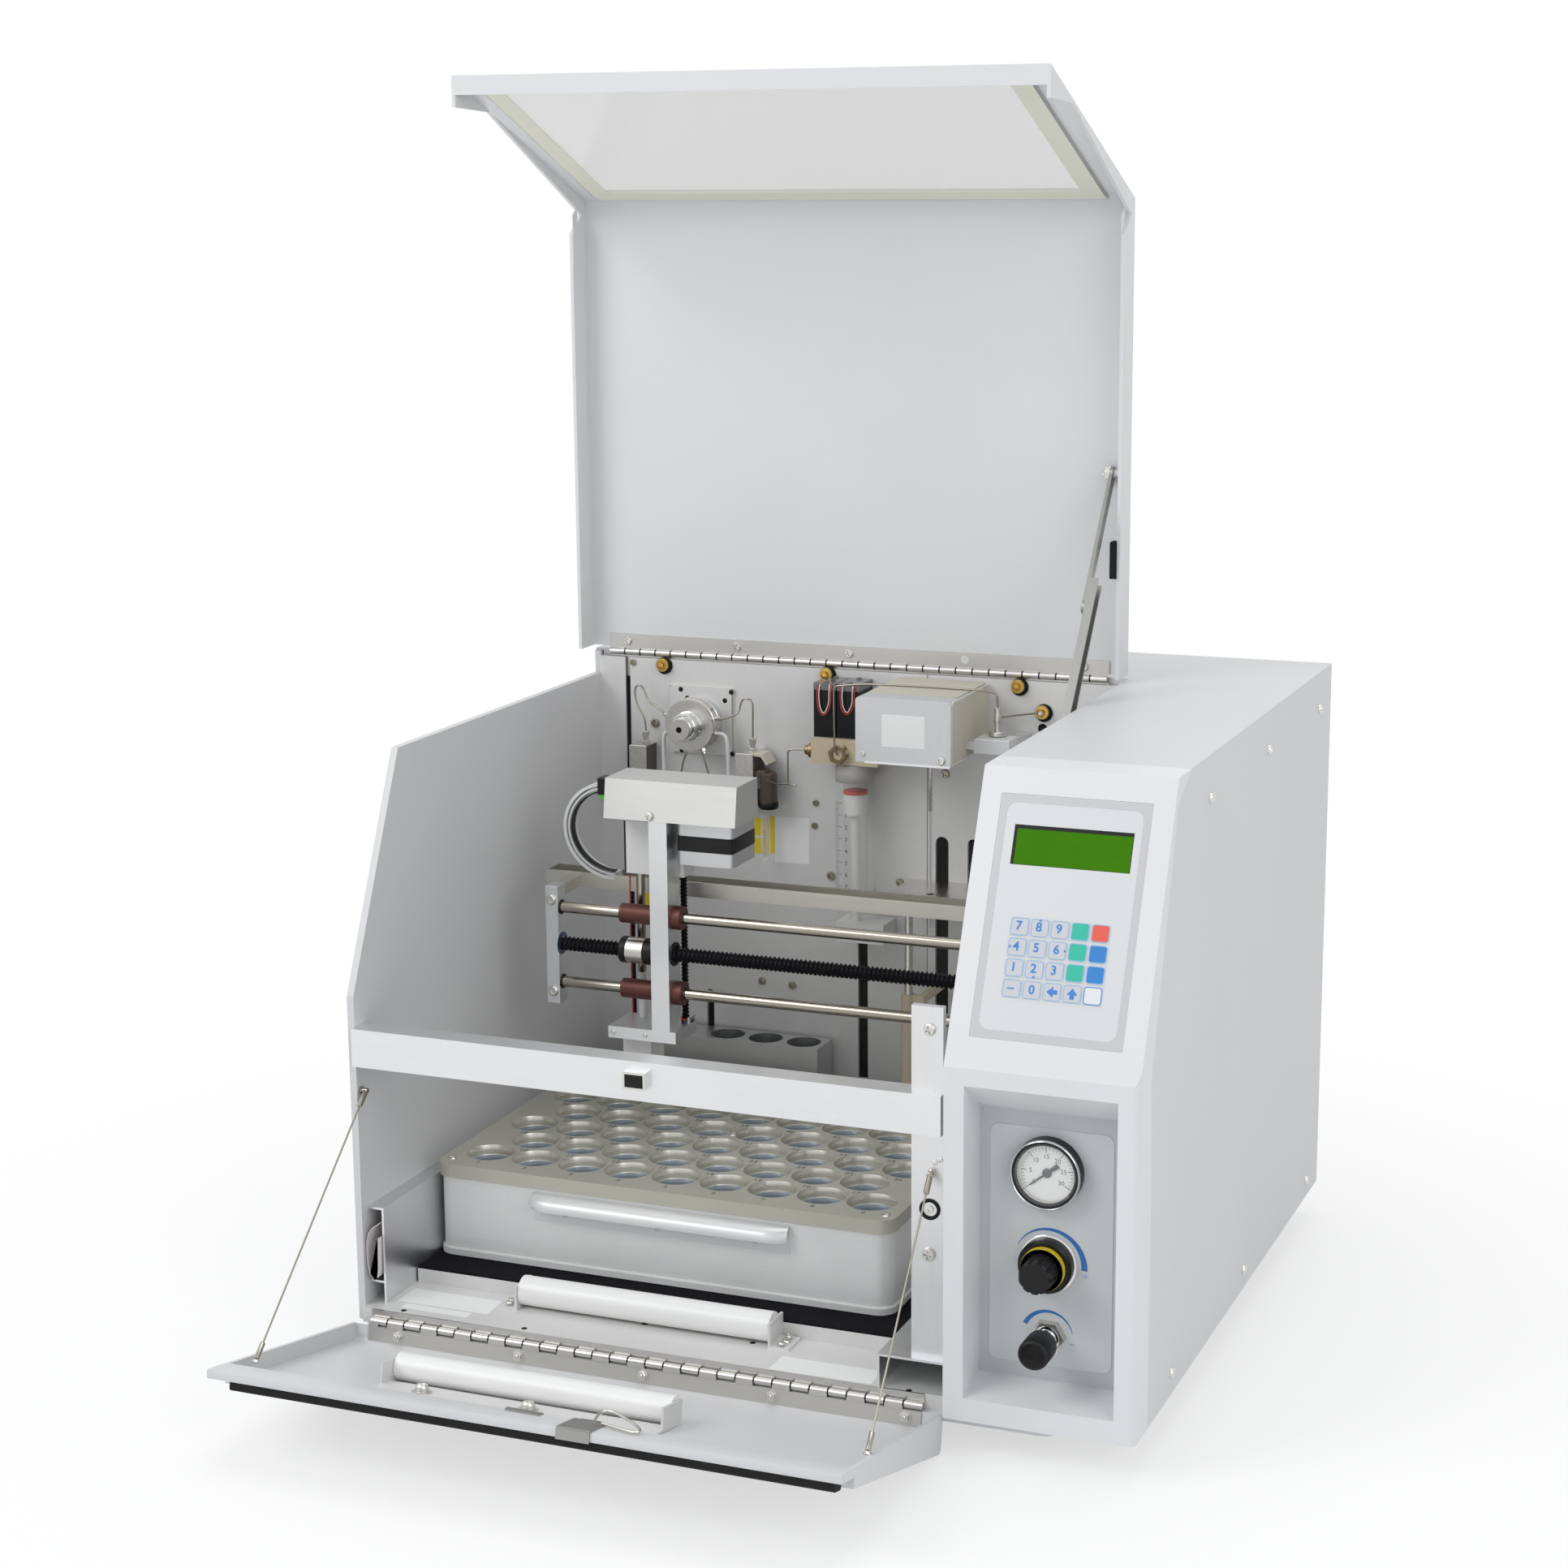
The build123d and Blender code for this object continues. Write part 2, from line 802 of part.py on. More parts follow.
with BuildPart() as right_side_panel:
    with BuildSketch(side_plane(case_width - sheet)):
        Polygon(*seam_points, (rear_y, cover_low), (rear_y, 0))
    extrude(amount=sheet)
    block((case_width - sheet * 2, case_width + overrun), (-front_set, rear_y + overrun),
          (skirt_low, case_height), mode=Mode.SUBTRACT)
    block((tower_x + sheet, case_width - sheet), (bezel_wrap - front_set, rear_y - sheet), (0, sheet))
right_side_panel.part.label = "right_side_panel"
export_step(right_side_panel.part, "parts/right_side_panel.step")

slope_out = (0, -slope_rise / slope_length, slope_run / slope_length)
slope_plane = Plane(origin=at(tower_x, -front_set, shoulder_height), x_dir=(1, 0, 0), z_dir=slope_out)
keypad_mid = (keypad_left + keypad_width / 2, keypad_start + keypad_length / 2)
lcd_mid = (lcd_left + lcd_width / 2, lcd_start + lcd_height / 2)

with BuildPart() as tower_bezel:
    with BuildSketch(side_plane(tower_x)):
        Polygon((-front_set, 0), (-front_set, shoulder_height), (tower_top_y, case_height),
                (tower_top_y + tower_top_run, case_height), *reversed(seam_points))
    extrude(amount=tower_width)
    front_edges = tower_bezel.edges().group_by(Axis.X)[-1]
    fillet(front_edges.sort_by(Axis.Y)[:1] + front_edges.sort_by(SortBy.LENGTH)[-1:], bezel_round)
    with BuildSketch(side_plane(tower_x + bezel_skin)):
        inner_front = bezel_skin - front_set
        Polygon((inner_front, bezel_skin), (inner_front, shoulder_height),
                (tower_top_y + bezel_skin / 2, case_height - bezel_skin),
                (rear_y, case_height - bezel_skin), (rear_y, bezel_skin))
    extrude(amount=tower_width - bezel_skin * 2, mode=Mode.SUBTRACT)
    mouth_x = tower_x + (recess_left + recess_right) / 2
    mouth_z = (recess_low + recess_high) / 2
    floor_z = (recess_floor_low + recess_floor_high) / 2
    recess_width = recess_right - recess_left
    with BuildSketch(Plane(origin=at(mouth_x, -front_set, mouth_z), x_dir=(1, 0, 0), z_dir=(0, 1, 0))):
        Rectangle(recess_width + recess_wall * 2, recess_high - recess_low + recess_wall * 2)
    with BuildSketch(Plane(origin=at(mouth_x, recess_depth - front_set, floor_z), x_dir=(1, 0, 0),
                           z_dir=(0, 1, 0))):
        Rectangle(recess_width + recess_wall * 2, recess_floor_high - recess_floor_low + recess_wall * 2)
    loft()
    with BuildSketch(Plane(origin=at(mouth_x, -front_set, mouth_z), x_dir=(1, 0, 0), z_dir=(0, 1, 0))):
        Rectangle(recess_width, recess_high - recess_low)
    with BuildSketch(Plane(origin=at(mouth_x, recess_depth - front_set, floor_z), x_dir=(1, 0, 0),
                           z_dir=(0, 1, 0))):
        Rectangle(recess_width, recess_floor_high - recess_floor_low)
    loft(mode=Mode.SUBTRACT)
    with BuildSketch(slope_plane):
        with Locations(keypad_mid):
            RectangleRounded(keypad_width + running_gap, keypad_length + running_gap, keypad_corner)
    extrude(amount=-keypad_pocket, mode=Mode.SUBTRACT)
tower_bezel.part.label = "tower_bezel"
export_step(tower_bezel.part, "parts/tower_bezel.step")

with BuildPart() as keypad_panel:
    with BuildSketch(slope_plane.offset(-keypad_pocket)):
        with Locations(keypad_mid):
            RectangleRounded(keypad_width, keypad_length, keypad_corner)
        with Locations(lcd_mid):
            Rectangle(lcd_width, lcd_height, mode=Mode.SUBTRACT)
    extrude(amount=keypad_thick)
    key_mid = (key_left + key_pitch * (key_columns - 1) / 2, key_low + key_pitch * (key_rows - 1) / 2)
    with BuildSketch(slope_plane.offset(keypad_thick - keypad_pocket)):
        with Locations(key_mid):
            with GridLocations(key_pitch, key_pitch, key_columns, key_rows):
                Rectangle(key_width, key_height)
    extrude(amount=key_rise)
keypad_panel.part.label = "keypad_panel"
export_step(keypad_panel.part, "parts/keypad_panel.step")

with BuildPart() as lcd_window:
    with BuildSketch(slope_plane.offset(-keypad_pocket)):
        with Locations(lcd_mid):
            Rectangle(lcd_width - running_gap, lcd_height - running_gap)
    extrude(amount=lcd_thick)
lcd_window.part.label = "lcd_window"
export_step(lcd_window.part, "parts/lcd_window.step")

control_y = recess_depth - front_set
face_y = control_y - label_rise
gauge_bore = gauge_radius - gauge_ring
with BuildPart() as control_panel:
    block((mouth_x - recess_width / 2 - recess_wall, mouth_x + recess_width / 2 + recess_wall),
          (control_y, control_y + control_thick),
          (recess_floor_low - recess_wall, recess_floor_high + recess_wall))
    with BuildSketch(front_plane(control_y)):
        with Locations((tower_x + (label_left + label_right) / 2, (label_low + label_high) / 2)):
            RectangleRounded(label_right - label_left, label_high - label_low, label_corner)
    extrude(amount=label_rise)
    bar((tower_x + gauge_x, face_y - overrun, gauge_z), (tower_x + gauge_x, control_y + overrun, gauge_z),
        gauge_bore, mode=Mode.SUBTRACT)
    bar((tower_x + regulator_x, face_y - overrun, regulator_z),
        (tower_x + regulator_x, control_y + overrun, regulator_z), regulator_stem, mode=Mode.SUBTRACT)
    bar((tower_x + flow_x, face_y - overrun, flow_z), (tower_x + flow_x, control_y + overrun, flow_z),
        flow_neck_radius, mode=Mode.SUBTRACT)
control_panel.part.label = "control_panel"
export_step(control_panel.part, "parts/control_panel.step")

gauge_axis_x = tower_x + gauge_x
gauge_face_y = face_y - gauge_front
with BuildPart() as gauge_case:
    turned(gauge_axis_x, gauge_face_y, gauge_z,
           ((gauge_bore, gauge_lens_thick), (gauge_bore, 0), (gauge_radius, 0), (gauge_radius, gauge_front),
            (gauge_bore, gauge_front), (gauge_bore, gauge_body_depth), (0, gauge_body_depth),
            (0, gauge_dial_set), (gauge_bore - sheet, gauge_dial_set),
            (gauge_bore - sheet, gauge_lens_thick)))
gauge_case.part.label = "gauge_case"
export_step(gauge_case.part, "parts/gauge_case.step")

with BuildPart() as gauge_lens:
    turned(gauge_axis_x, gauge_face_y, gauge_z,
           ((0, 0), (gauge_bore, 0), (gauge_bore, gauge_lens_thick), (0, gauge_lens_thick)))
gauge_lens.part.label = "gauge_lens"
export_step(gauge_lens.part, "parts/gauge_lens.step")

with BuildPart() as gauge_needle:
    pointer_y = gauge_face_y + gauge_dial_set - running_gap
    with BuildSketch(Plane(origin=at(gauge_axis_x, pointer_y, gauge_z), x_dir=(1, 0, 0), z_dir=(0, -1, 0))):
        Circle(pointer_hub)
        with Locations(Location((0, 0), 180 + pointer_angle)):
            Polygon((-pointer_hub, -pointer_width / 2), (-pointer_hub, pointer_width / 2),
                    (pointer_length, pointer_width / 4), (pointer_length, -pointer_width / 4))
    extrude(amount=pointer_thick)
gauge_needle.part.label = "gauge_needle"
export_step(gauge_needle.part, "parts/gauge_needle.step")

regulator_axis_x = tower_x + regulator_x
with BuildPart() as regulator_body:
    stem_front = -regulator_front - regulator_ring_thick
    turned(regulator_axis_x, face_y, regulator_z,
           ((0, stem_front), (regulator_stem, stem_front),
            (regulator_stem, -regulator_front), (regulator_radius - sheet, -regulator_front),
            (regulator_radius, sheet - regulator_front), (regulator_radius, 0), (regulator_stem, 0),
            (regulator_stem, control_thick + regulator_front), (0, control_thick + regulator_front)))
regulator_body.part.label = "regulator_body"
export_step(regulator_body.part, "parts/regulator_body.step")

with BuildPart() as regulator_knob:
    knob_rear = -regulator_front - running_gap
    ring_front = knob_rear - regulator_ring_thick
    stem_end = stem_front - running_gap
    grip_front = ring_front - regulator_grip_length
    turned(regulator_axis_x, face_y, regulator_z,
           ((0, grip_front), (regulator_grip_radius - sheet, grip_front),
            (regulator_grip_radius, grip_front + sheet),
            (regulator_grip_radius, ring_front), (regulator_ring_radius, ring_front),
            (regulator_ring_radius, knob_rear), (regulator_stem + running_gap, knob_rear),
            (regulator_stem + running_gap, stem_end), (0, stem_end)))
    with BuildSketch(front_plane(face_y + ring_front)):
        with Locations((regulator_axis_x, regulator_z)):
            with PolarLocations(regulator_grip_radius, regulator_flutes):
                Rectangle(flute_radius * 2, flute_radius * 2)
    extrude(amount=regulator_grip_length + overrun, mode=Mode.SUBTRACT)
regulator_knob.part.label = "regulator_knob"
export_step(regulator_knob.part, "parts/regulator_knob.step")

flow_axis_x = tower_x + flow_x
with BuildPart() as flow_valve_body:
    with BuildSketch(front_plane(face_y)):
        with Locations((flow_axis_x, flow_z)):
            RegularPolygon(flow_nut_flats / 2, hex_sides, major_radius=False)
    extrude(amount=flow_nut_thick)
    neck_front = flow_nut_thick + flow_neck_length
    turned(flow_axis_x, face_y, flow_z,
           ((0, -neck_front - flow_neck_length), (flow_stem, -neck_front - flow_neck_length),
            (flow_stem, -neck_front), (flow_neck_radius, -neck_front),
            (flow_neck_radius, control_thick + flow_nut_thick), (0, control_thick + flow_nut_thick)))
flow_valve_body.part.label = "flow_valve_body"
export_step(flow_valve_body.part, "parts/flow_valve_body.step")

with BuildPart() as flow_knob:
    flow_rear = -neck_front - running_gap
    flow_stem_end = -neck_front - flow_neck_length - running_gap
    turned(flow_axis_x, face_y, flow_z,
           ((0, flow_rear - flow_knob_length), (flow_knob_radius - sheet, flow_rear - flow_knob_length),
            (flow_knob_radius, flow_rear + sheet - flow_knob_length), (flow_knob_radius, flow_rear),
            (flow_stem + running_gap, flow_rear), (flow_stem + running_gap, flow_stem_end),
            (0, flow_stem_end)))
flow_knob.part.label = "flow_knob"
export_step(flow_knob.part, "parts/flow_knob.step")

with BuildPart() as crossbar:
    block((panel_edge, bar_right), (bar_front, bar_front + bar_thick), (bar_low, bar_high))
    block((panel_edge, post_left - running_gap), (bar_front, bar_front + bar_flange),
          (bar_high - bar_thick, bar_high))
    block((post_left, bar_right), (bar_front, 0), (bar_low, bar_high))
    block((magnet_x - magnet_width / 2, magnet_x + magnet_width / 2), (bar_front - magnet_depth, bar_front),
          (magnet_z - magnet_height / 2, magnet_z + magnet_height / 2))
crossbar.part.label = "crossbar"
export_step(crossbar.part, "parts/crossbar.step")

with BuildPart() as post_plate:
    post_low = guide_right_top + post_foot_height
    block((post_left, bar_right), (0, panel_edge), (post_low, post_top))
    block((post_left, tower_x), (0, post_foot_depth), (guide_right_top, post_low))
    block((bar_right - plate, tower_x), (0, bezel_wrap - front_set), (bar_high, bar_high + bar_flange))
post_plate.part.label = "post_plate"
export_step(post_plate.part, "parts/post_plate.step")

with BuildPart() as side_guides:
    with BuildSketch(front_plane(guide_front)):
        Polygon((panel_edge, guide_left_top), (guide_left_inner + sheet, guide_left_top),
                (guide_left_inner + sheet, deck_height), (guide_left_inner, deck_height),
                (guide_left_inner, guide_shelf - sheet), (panel_edge, guide_shelf - sheet),
                (panel_edge, guide_shelf), (guide_left_inner, guide_shelf),
                (guide_left_inner, guide_left_top - sheet), (panel_edge, guide_left_top - sheet))
    extrude(amount=-guide_length)
    with BuildSketch(front_plane(guide_right_front)):
        Polygon((guide_right_left, deck_height), (guide_right_left, guide_right_top),
                (tower_x, guide_right_top), (tower_x, guide_right_top - sheet),
                (guide_right_left + sheet, guide_right_top - sheet), (guide_right_left + sheet, deck_height))
    extrude(amount=-guide_length)
side_guides.part.label = "side_guides"
export_step(side_guides.part, "parts/side_guides.step")

roller_right = roller_left + roller_length
pin_space = roller_pin_radius + running_gap
with BuildPart() as tray_platform:
    with BuildSketch(front_plane(platform_front)):
        Polygon((platform_left, deck_height), (platform_left, platform_top), (platform_right, platform_top),
                (platform_right, deck_height), (platform_right - sheet, deck_height),
                (platform_right - sheet, platform_top - sheet), (platform_left + sheet, platform_top - sheet),
                (platform_left + sheet, deck_height))
    extrude(amount=-platform_length)
    block((platform_left, platform_right), (platform_front, platform_front + sheet),
          (deck_height, platform_top))
    bracket_top = roller_z + roller_pin_radius * 2
    for end, outward in ((roller_left, -1), (roller_right, 1)):
        face = end + outward * running_gap
        back = face + outward * bracket_thick
        foot = back + outward * bracket_foot
        block(sorted((face, back)), (roller_y - bracket_depth / 2, platform_front),
              (deck_height, bracket_top))
        block(sorted((back, foot)), (roller_y - bracket_depth / 2, roller_y + bracket_depth / 2),
              (deck_height, deck_height + bracket_thick))
        bar((face, roller_y, roller_z), (face - outward * roller_pin_length, roller_y, roller_z),
            roller_pin_radius)
tray_platform.part.label = "tray_platform"
export_step(tray_platform.part, "parts/tray_platform.step")

with BuildPart() as tray_mat:
    mat_top = platform_top + mat_thick
    block((platform_left, platform_right), (platform_front, platform_rear), (platform_top, mat_top))
tray_mat.part.label = "tray_mat"
export_step(tray_mat.part, "parts/tray_mat.step")

with BuildPart() as deck_roller:
    bar((roller_left, roller_y, roller_z), (roller_right, roller_y, roller_z), roller_radius)
    for end, inward in ((roller_left, 1), (roller_right, -1)):
        bar((end, roller_y, roller_z),
            (end + inward * (roller_pin_length + running_gap), roller_y, roller_z), pin_space,
            mode=Mode.SUBTRACT)
deck_roller.part.label = "deck_roller"
export_step(deck_roller.part, "parts/deck_roller.step")

tray_low = mat_top + running_gap
tray_top = tray_low + tray_height
tray_mid_x = tray_left + tray_width / 2
tray_mid_y = tray_front + tray_depth / 2
with BuildPart() as tray_box:
    box_high = tray_height - tray_plate
    with BuildSketch(Plane(at(tray_mid_x, tray_mid_y, tray_low))):
        RectangleRounded(tray_width - tray_inset * 2, tray_depth - tray_inset * 2, tray_corner)
    extrude(amount=box_high)
    with BuildSketch(Plane(at(tray_mid_x, tray_mid_y, tray_low + tray_wall))):
        RectangleRounded(tray_width - tray_inset * 2 - tray_wall * 2,
                         tray_depth - tray_inset * 2 - tray_wall * 2, tray_corner - tray_wall)
    extrude(amount=box_high, mode=Mode.SUBTRACT)
tray_box.part.label = "tray_box"
export_step(tray_box.part, "parts/tray_box.step")

well_places = []
for row in range(well_rows):
    shift = row % 2
    for place in range(wells_in_long_row - shift):
        well_places.append((tray_left + well_left_margin + (place + shift / 2) * well_pitch,
                            tray_front + well_front_margin + row * row_pitch))
with BuildPart() as tray_top_plate:
    with BuildSketch(Plane(at(tray_mid_x, tray_mid_y, tray_top))):
        RectangleRounded(tray_width, tray_depth, tray_corner)
    extrude(amount=-tray_plate)
    with Locations([at(x, y, tray_top - tray_plate / 2) for x, y in well_places]):
        Cone(well_bore, well_rim, tray_plate, mode=Mode.SUBTRACT)
tray_top_plate.part.label = "tray_top_plate"
export_step(tray_top_plate.part, "parts/tray_top_plate.step")

with BuildPart() as tray_handle:
    handle_face = tray_front + tray_inset
    handle_root = tray_left + handle_left
    with BuildSketch(side_plane(handle_root)):
        Polygon((handle_face, tray_low + handle_top), (handle_face - handle_thick, tray_low + handle_top),
                (handle_face - handle_thick, tray_low + handle_low + handle_thick * 2),
                (handle_face - handle_reach, tray_low + handle_low + handle_thick * 2),
                (handle_face - handle_reach, tray_low + handle_low + handle_thick * 4),
                (handle_face - handle_reach - handle_thick, tray_low + handle_low + handle_thick * 4),
                (handle_face - handle_reach - handle_thick, tray_low + handle_low + handle_thick),
                (handle_face, tray_low + handle_low + handle_thick))
    extrude(amount=handle_width)
tray_handle.part.label = "tray_handle"
export_step(tray_handle.part, "parts/tray_handle.step")

with BuildPart() as vial_rack:
    block((rack_left, rack_left + rack_width), (rack_front, rack_front + rack_depth),
          (deck_height, rack_top))
    with Locations([at(rack_left + rack_first + rack_pitch * place, rack_front + rack_depth / 2, rack_top)
                    for place in range(rack_wells)]):
        Cylinder(rack_bore, rack_bore_depth * 2, mode=Mode.SUBTRACT)
vial_rack.part.label = "vial_rack"
export_step(vial_rack.part, "parts/vial_rack.step")


def door_place(x, out, rise):
    """A place on the open door, from its distance out of the hinge axis and its rise above it."""
    return (x, door_axis_y - out * math.cos(tilt) + rise * math.sin(tilt),
            door_axis_z + out * math.sin(tilt) + rise * math.cos(tilt))


def door_side(x):
    """The plane across the open door: its own axes run outward and downward."""
    return Plane(origin=at(x, door_axis_y, door_axis_z), x_dir=(0, -math.cos(tilt), math.sin(tilt)),
                 z_dir=(1, 0, 0))


def door_slab(across, out, rise, mode=Mode.ADD):
    """A block that lies along the open door."""
    with BuildSketch(door_side(across[0])) as face:
        Polygon((out[0], -rise[0]), (out[1], -rise[0]), (out[1], -rise[1]), (out[0], -rise[1]))
    extrude(face.sketch, amount=across[1] - across[0], dir=(1, 0, 0), mode=mode)


def knuckle_row(first, count, y, z, pin_mode):
    """Hinge barrels in a row, a pitch apart, solid or bored for the pin."""
    length = hinge_pitch / 2 - running_gap
    for place in range(count):
        middle = first + place * hinge_pitch
        ends = ((middle - length / 2, y, z), (middle + length / 2, y, z))
        bar(*ends, knuckle_radius)
        if pin_mode == Mode.SUBTRACT:
            bar(*ends, hinge_pin + slip, mode=Mode.SUBTRACT)


with BuildPart() as door_panel:
    skin_rear = ledge - door_flange
    skin_front = ledge - door_flange_front
    lip_root = door_length - door_lip
    with BuildSketch(door_side(0)):
        Polygon((leaf_clear, -ledge), (door_length, -ledge), (door_length, door_lip_thick - ledge),
                (lip_root, door_lip_thick - ledge), (lip_root, -skin_front), (leaf_clear, -skin_rear))
    extrude(amount=door_right)
    door_slab((door_rim, door_right - door_rim), (leaf_clear + door_ledge, lip_root - door_skin),
              (ledge - door_sink, ledge + overrun), mode=Mode.SUBTRACT)
door_panel.part.label = "door_panel"
export_step(door_panel.part, "parts/door_panel.step")

with BuildPart() as door_hinge_leaf:
    door_slab((door_leaf_left, door_leaf_right), (leaf_clear, door_leaf_width), (ledge, ledge + leaf_thick))
    for place in range(door_knuckles):
        middle = door_first_knuckle + place * hinge_pitch
        half = hinge_pitch / 4 - running_gap / 2
        door_slab((middle - half, middle + half), (0, leaf_clear + sheet), (ledge, ledge + leaf_thick))
    knuckle_row(door_first_knuckle, door_knuckles, door_axis_y, door_axis_z, Mode.SUBTRACT)
door_hinge_leaf.part.label = "door_hinge_leaf"
export_step(door_hinge_leaf.part, "parts/door_hinge_leaf.step")

door_roller_right = door_roller_left + door_roller_length
roller_rise = -door_roller_rise
with BuildPart() as door_roller:
    bar(door_place(door_roller_left, door_roller_out, roller_rise),
        door_place(door_roller_right, door_roller_out, roller_rise), door_roller_radius)
    for end, inward in ((door_roller_left, 1), (door_roller_right, -1)):
        bar(door_place(end, door_roller_out, roller_rise),
            door_place(end + inward * (roller_pin_length + running_gap), door_roller_out, roller_rise),
            pin_space, mode=Mode.SUBTRACT)
door_roller.part.label = "door_roller"
export_step(door_roller.part, "parts/door_roller.step")

with BuildPart() as door_roller_bracket:
    door_floor = ledge - door_sink
    ear_left = door_roller_left - running_gap - bracket_thick
    ear_right = door_roller_right + running_gap + bracket_thick
    strip_out = door_roller_out + door_roller_radius + running_gap * 2
    door_slab((ear_left, ear_right), (strip_out, lip_root - door_skin - running_gap),
              (door_floor, door_floor + bracket_thick))
    for ear, inward in ((ear_left, 1), (ear_right, -1)):
        door_slab(sorted((ear, ear + inward * bracket_thick)),
                  (door_roller_out - roller_pin_radius * 2, door_roller_out + door_bracket_reach),
                  (door_floor, roller_rise + roller_pin_radius * 2))
        bar(door_place(ear, door_roller_out, roller_rise),
            door_place(ear + inward * (bracket_thick + roller_pin_length), door_roller_out, roller_rise),
            roller_pin_radius)
door_roller_bracket.part.label = "door_roller_bracket"
export_step(door_roller_bracket.part, "parts/door_roller_bracket.step")

with BuildPart() as stay_wires:
    for anchor, door_end in (
            ((wire_inset + ferrule_radius, wire_anchor_y, wire_anchor_z),
             door_place(wire_inset * 2, wire_out, ledge + ferrule_radius)),
            ((bar_right - wire_inset, -ferrule_radius * 2, wire_right_z),
             door_place(bar_right - wire_radius, wire_right_out, ledge + ferrule_radius))):
        reach = Vector(*door_end) - Vector(*anchor)
        ferrule_end = Vector(*anchor) + reach.normalized() * ferrule_length
        bar(anchor, door_end, wire_radius)
        bar(anchor, tuple(ferrule_end), ferrule_radius)
    bar((panel_edge, wire_anchor_y, wire_anchor_z),
        (wire_inset + ferrule_radius, wire_anchor_y, wire_anchor_z), ferrule_radius)
    bar((bar_right - wire_inset, 0, wire_right_z),
        (bar_right - wire_inset, -ferrule_radius * 2, wire_right_z), ferrule_radius)
stay_wires.part.label = "stay_wires"
export_step(stay_wires.part, "parts/stay_wires.step")

lid_right = tower_x - lid_right_gap
lid_outer_y = lid_axis_y + lid_back
lid_low = lid_axis_z + lid_start
lid_bend_z = lid_axis_z + lid_bend
lid_front_y = lid_outer_y - lid_slant_run
lid_top_z = lid_bend_z + lid_slant_rise
lid_turn = math.atan2(lid_slant_run, lid_slant_rise)
lid_slant = math.hypot(lid_slant_run, lid_slant_rise)
slant_drop = lid_skin / math.sin(lid_turn)
slant_plane = Plane(origin=at(0, lid_outer_y, lid_bend_z), x_dir=(1, 0, 0),
                    z_dir=(0, lid_slant_rise / lid_slant, lid_slant_run / lid_slant))
with BuildPart() as lid_panel:
    lip_rear_z = lid_top_z - lid_skin * lid_slant_rise / lid_slant_run - slant_drop
    step_run = lid_flange * 2
    step_drop = step_run * lid_slant_rise / lid_slant_run + lid_skin
    with BuildSketch(side_plane(lid_left)):
        Polygon((lid_outer_y - lid_flange, lid_low), (lid_outer_y, lid_low), (lid_outer_y, lid_bend_z),
                (lid_front_y, lid_top_z), (lid_front_y, lid_top_z - lid_flange * flange_lip_share),
                (lid_front_y + step_run, lid_top_z - step_drop),
                (lid_outer_y - lid_flange * flange_bend_shares[0],
                 lid_bend_z - lid_flange * flange_bend_shares[1]),
                (lid_outer_y - lid_flange, lid_bend_z - lid_flange))
    extrude(amount=lid_right - lid_left)
    with BuildSketch(side_plane(lid_left + lid_skin)):
        Polygon((lid_outer_y - lid_skin, lid_low - overrun),
                (lid_outer_y - lid_skin, lid_bend_z - lid_skin * math.tan(lid_turn / 2)),
                (lid_front_y + lid_skin, lip_rear_z), (lid_front_y + lid_skin, lid_top_z - lid_lip),
                (lid_front_y - overrun, lid_top_z - lid_lip), (lid_front_y - overrun, lid_low - overrun))
    extrude(amount=lid_right - lid_left - lid_skin * 2, mode=Mode.SUBTRACT)
    with BuildSketch(slant_plane):
        Polygon((lid_left + window_margin, -window_back_margin),
                (lid_right - window_margin, -window_back_margin),
                (lid_right - window_margin, window_front_margin - lid_slant),
                (lid_left + window_margin, window_front_margin - lid_slant))
    extrude(amount=lid_skin * 2, both=True, mode=Mode.SUBTRACT)
    stud_end = stay_slab - running_gap - stay_bar_thick - sheet
    bar((lid_right - lid_skin, stud_y, stud_z), (stud_end, stud_y, stud_z), stay_stud_radius)
lid_panel.part.label = "lid_panel"
export_step(lid_panel.part, "parts/lid_panel.step")

with BuildPart() as lid_window:
    with BuildSketch(slant_plane.offset(-lid_skin - window_thick)):
        Polygon((lid_left + window_margin - window_lap, window_lap - window_back_margin),
                (lid_right - window_margin + window_lap, window_lap - window_back_margin),
                (lid_right - window_margin + window_lap, window_front_margin - window_lap - lid_slant),
                (lid_left + window_margin - window_lap, window_front_margin - window_lap - lid_slant))
    extrude(amount=window_thick)
lid_window.part.label = "lid_window"
export_step(lid_window.part, "parts/lid_window.step")

lid_leaf_rear = lid_outer_y - lid_skin
with BuildPart() as lid_hinge_leaf:
    block((lid_leaf_left, lid_leaf_right), (lid_leaf_rear - leaf_thick, lid_leaf_rear),
          (lid_axis_z + leaf_clear - running_gap, lid_axis_z + lid_leaf_height))
    for place in range(lid_knuckles):
        middle = lid_first_knuckle + place * hinge_pitch
        half = hinge_pitch / 4 - running_gap / 2
        block((middle - half, middle + half), (lid_leaf_rear - leaf_thick, lid_leaf_rear),
              (lid_axis_z, lid_axis_z + leaf_clear + sheet))
    knuckle_row(lid_first_knuckle, lid_knuckles, lid_axis_y, lid_axis_z, Mode.SUBTRACT)
lid_hinge_leaf.part.label = "lid_hinge_leaf"
export_step(lid_hinge_leaf.part, "parts/lid_hinge_leaf.step")

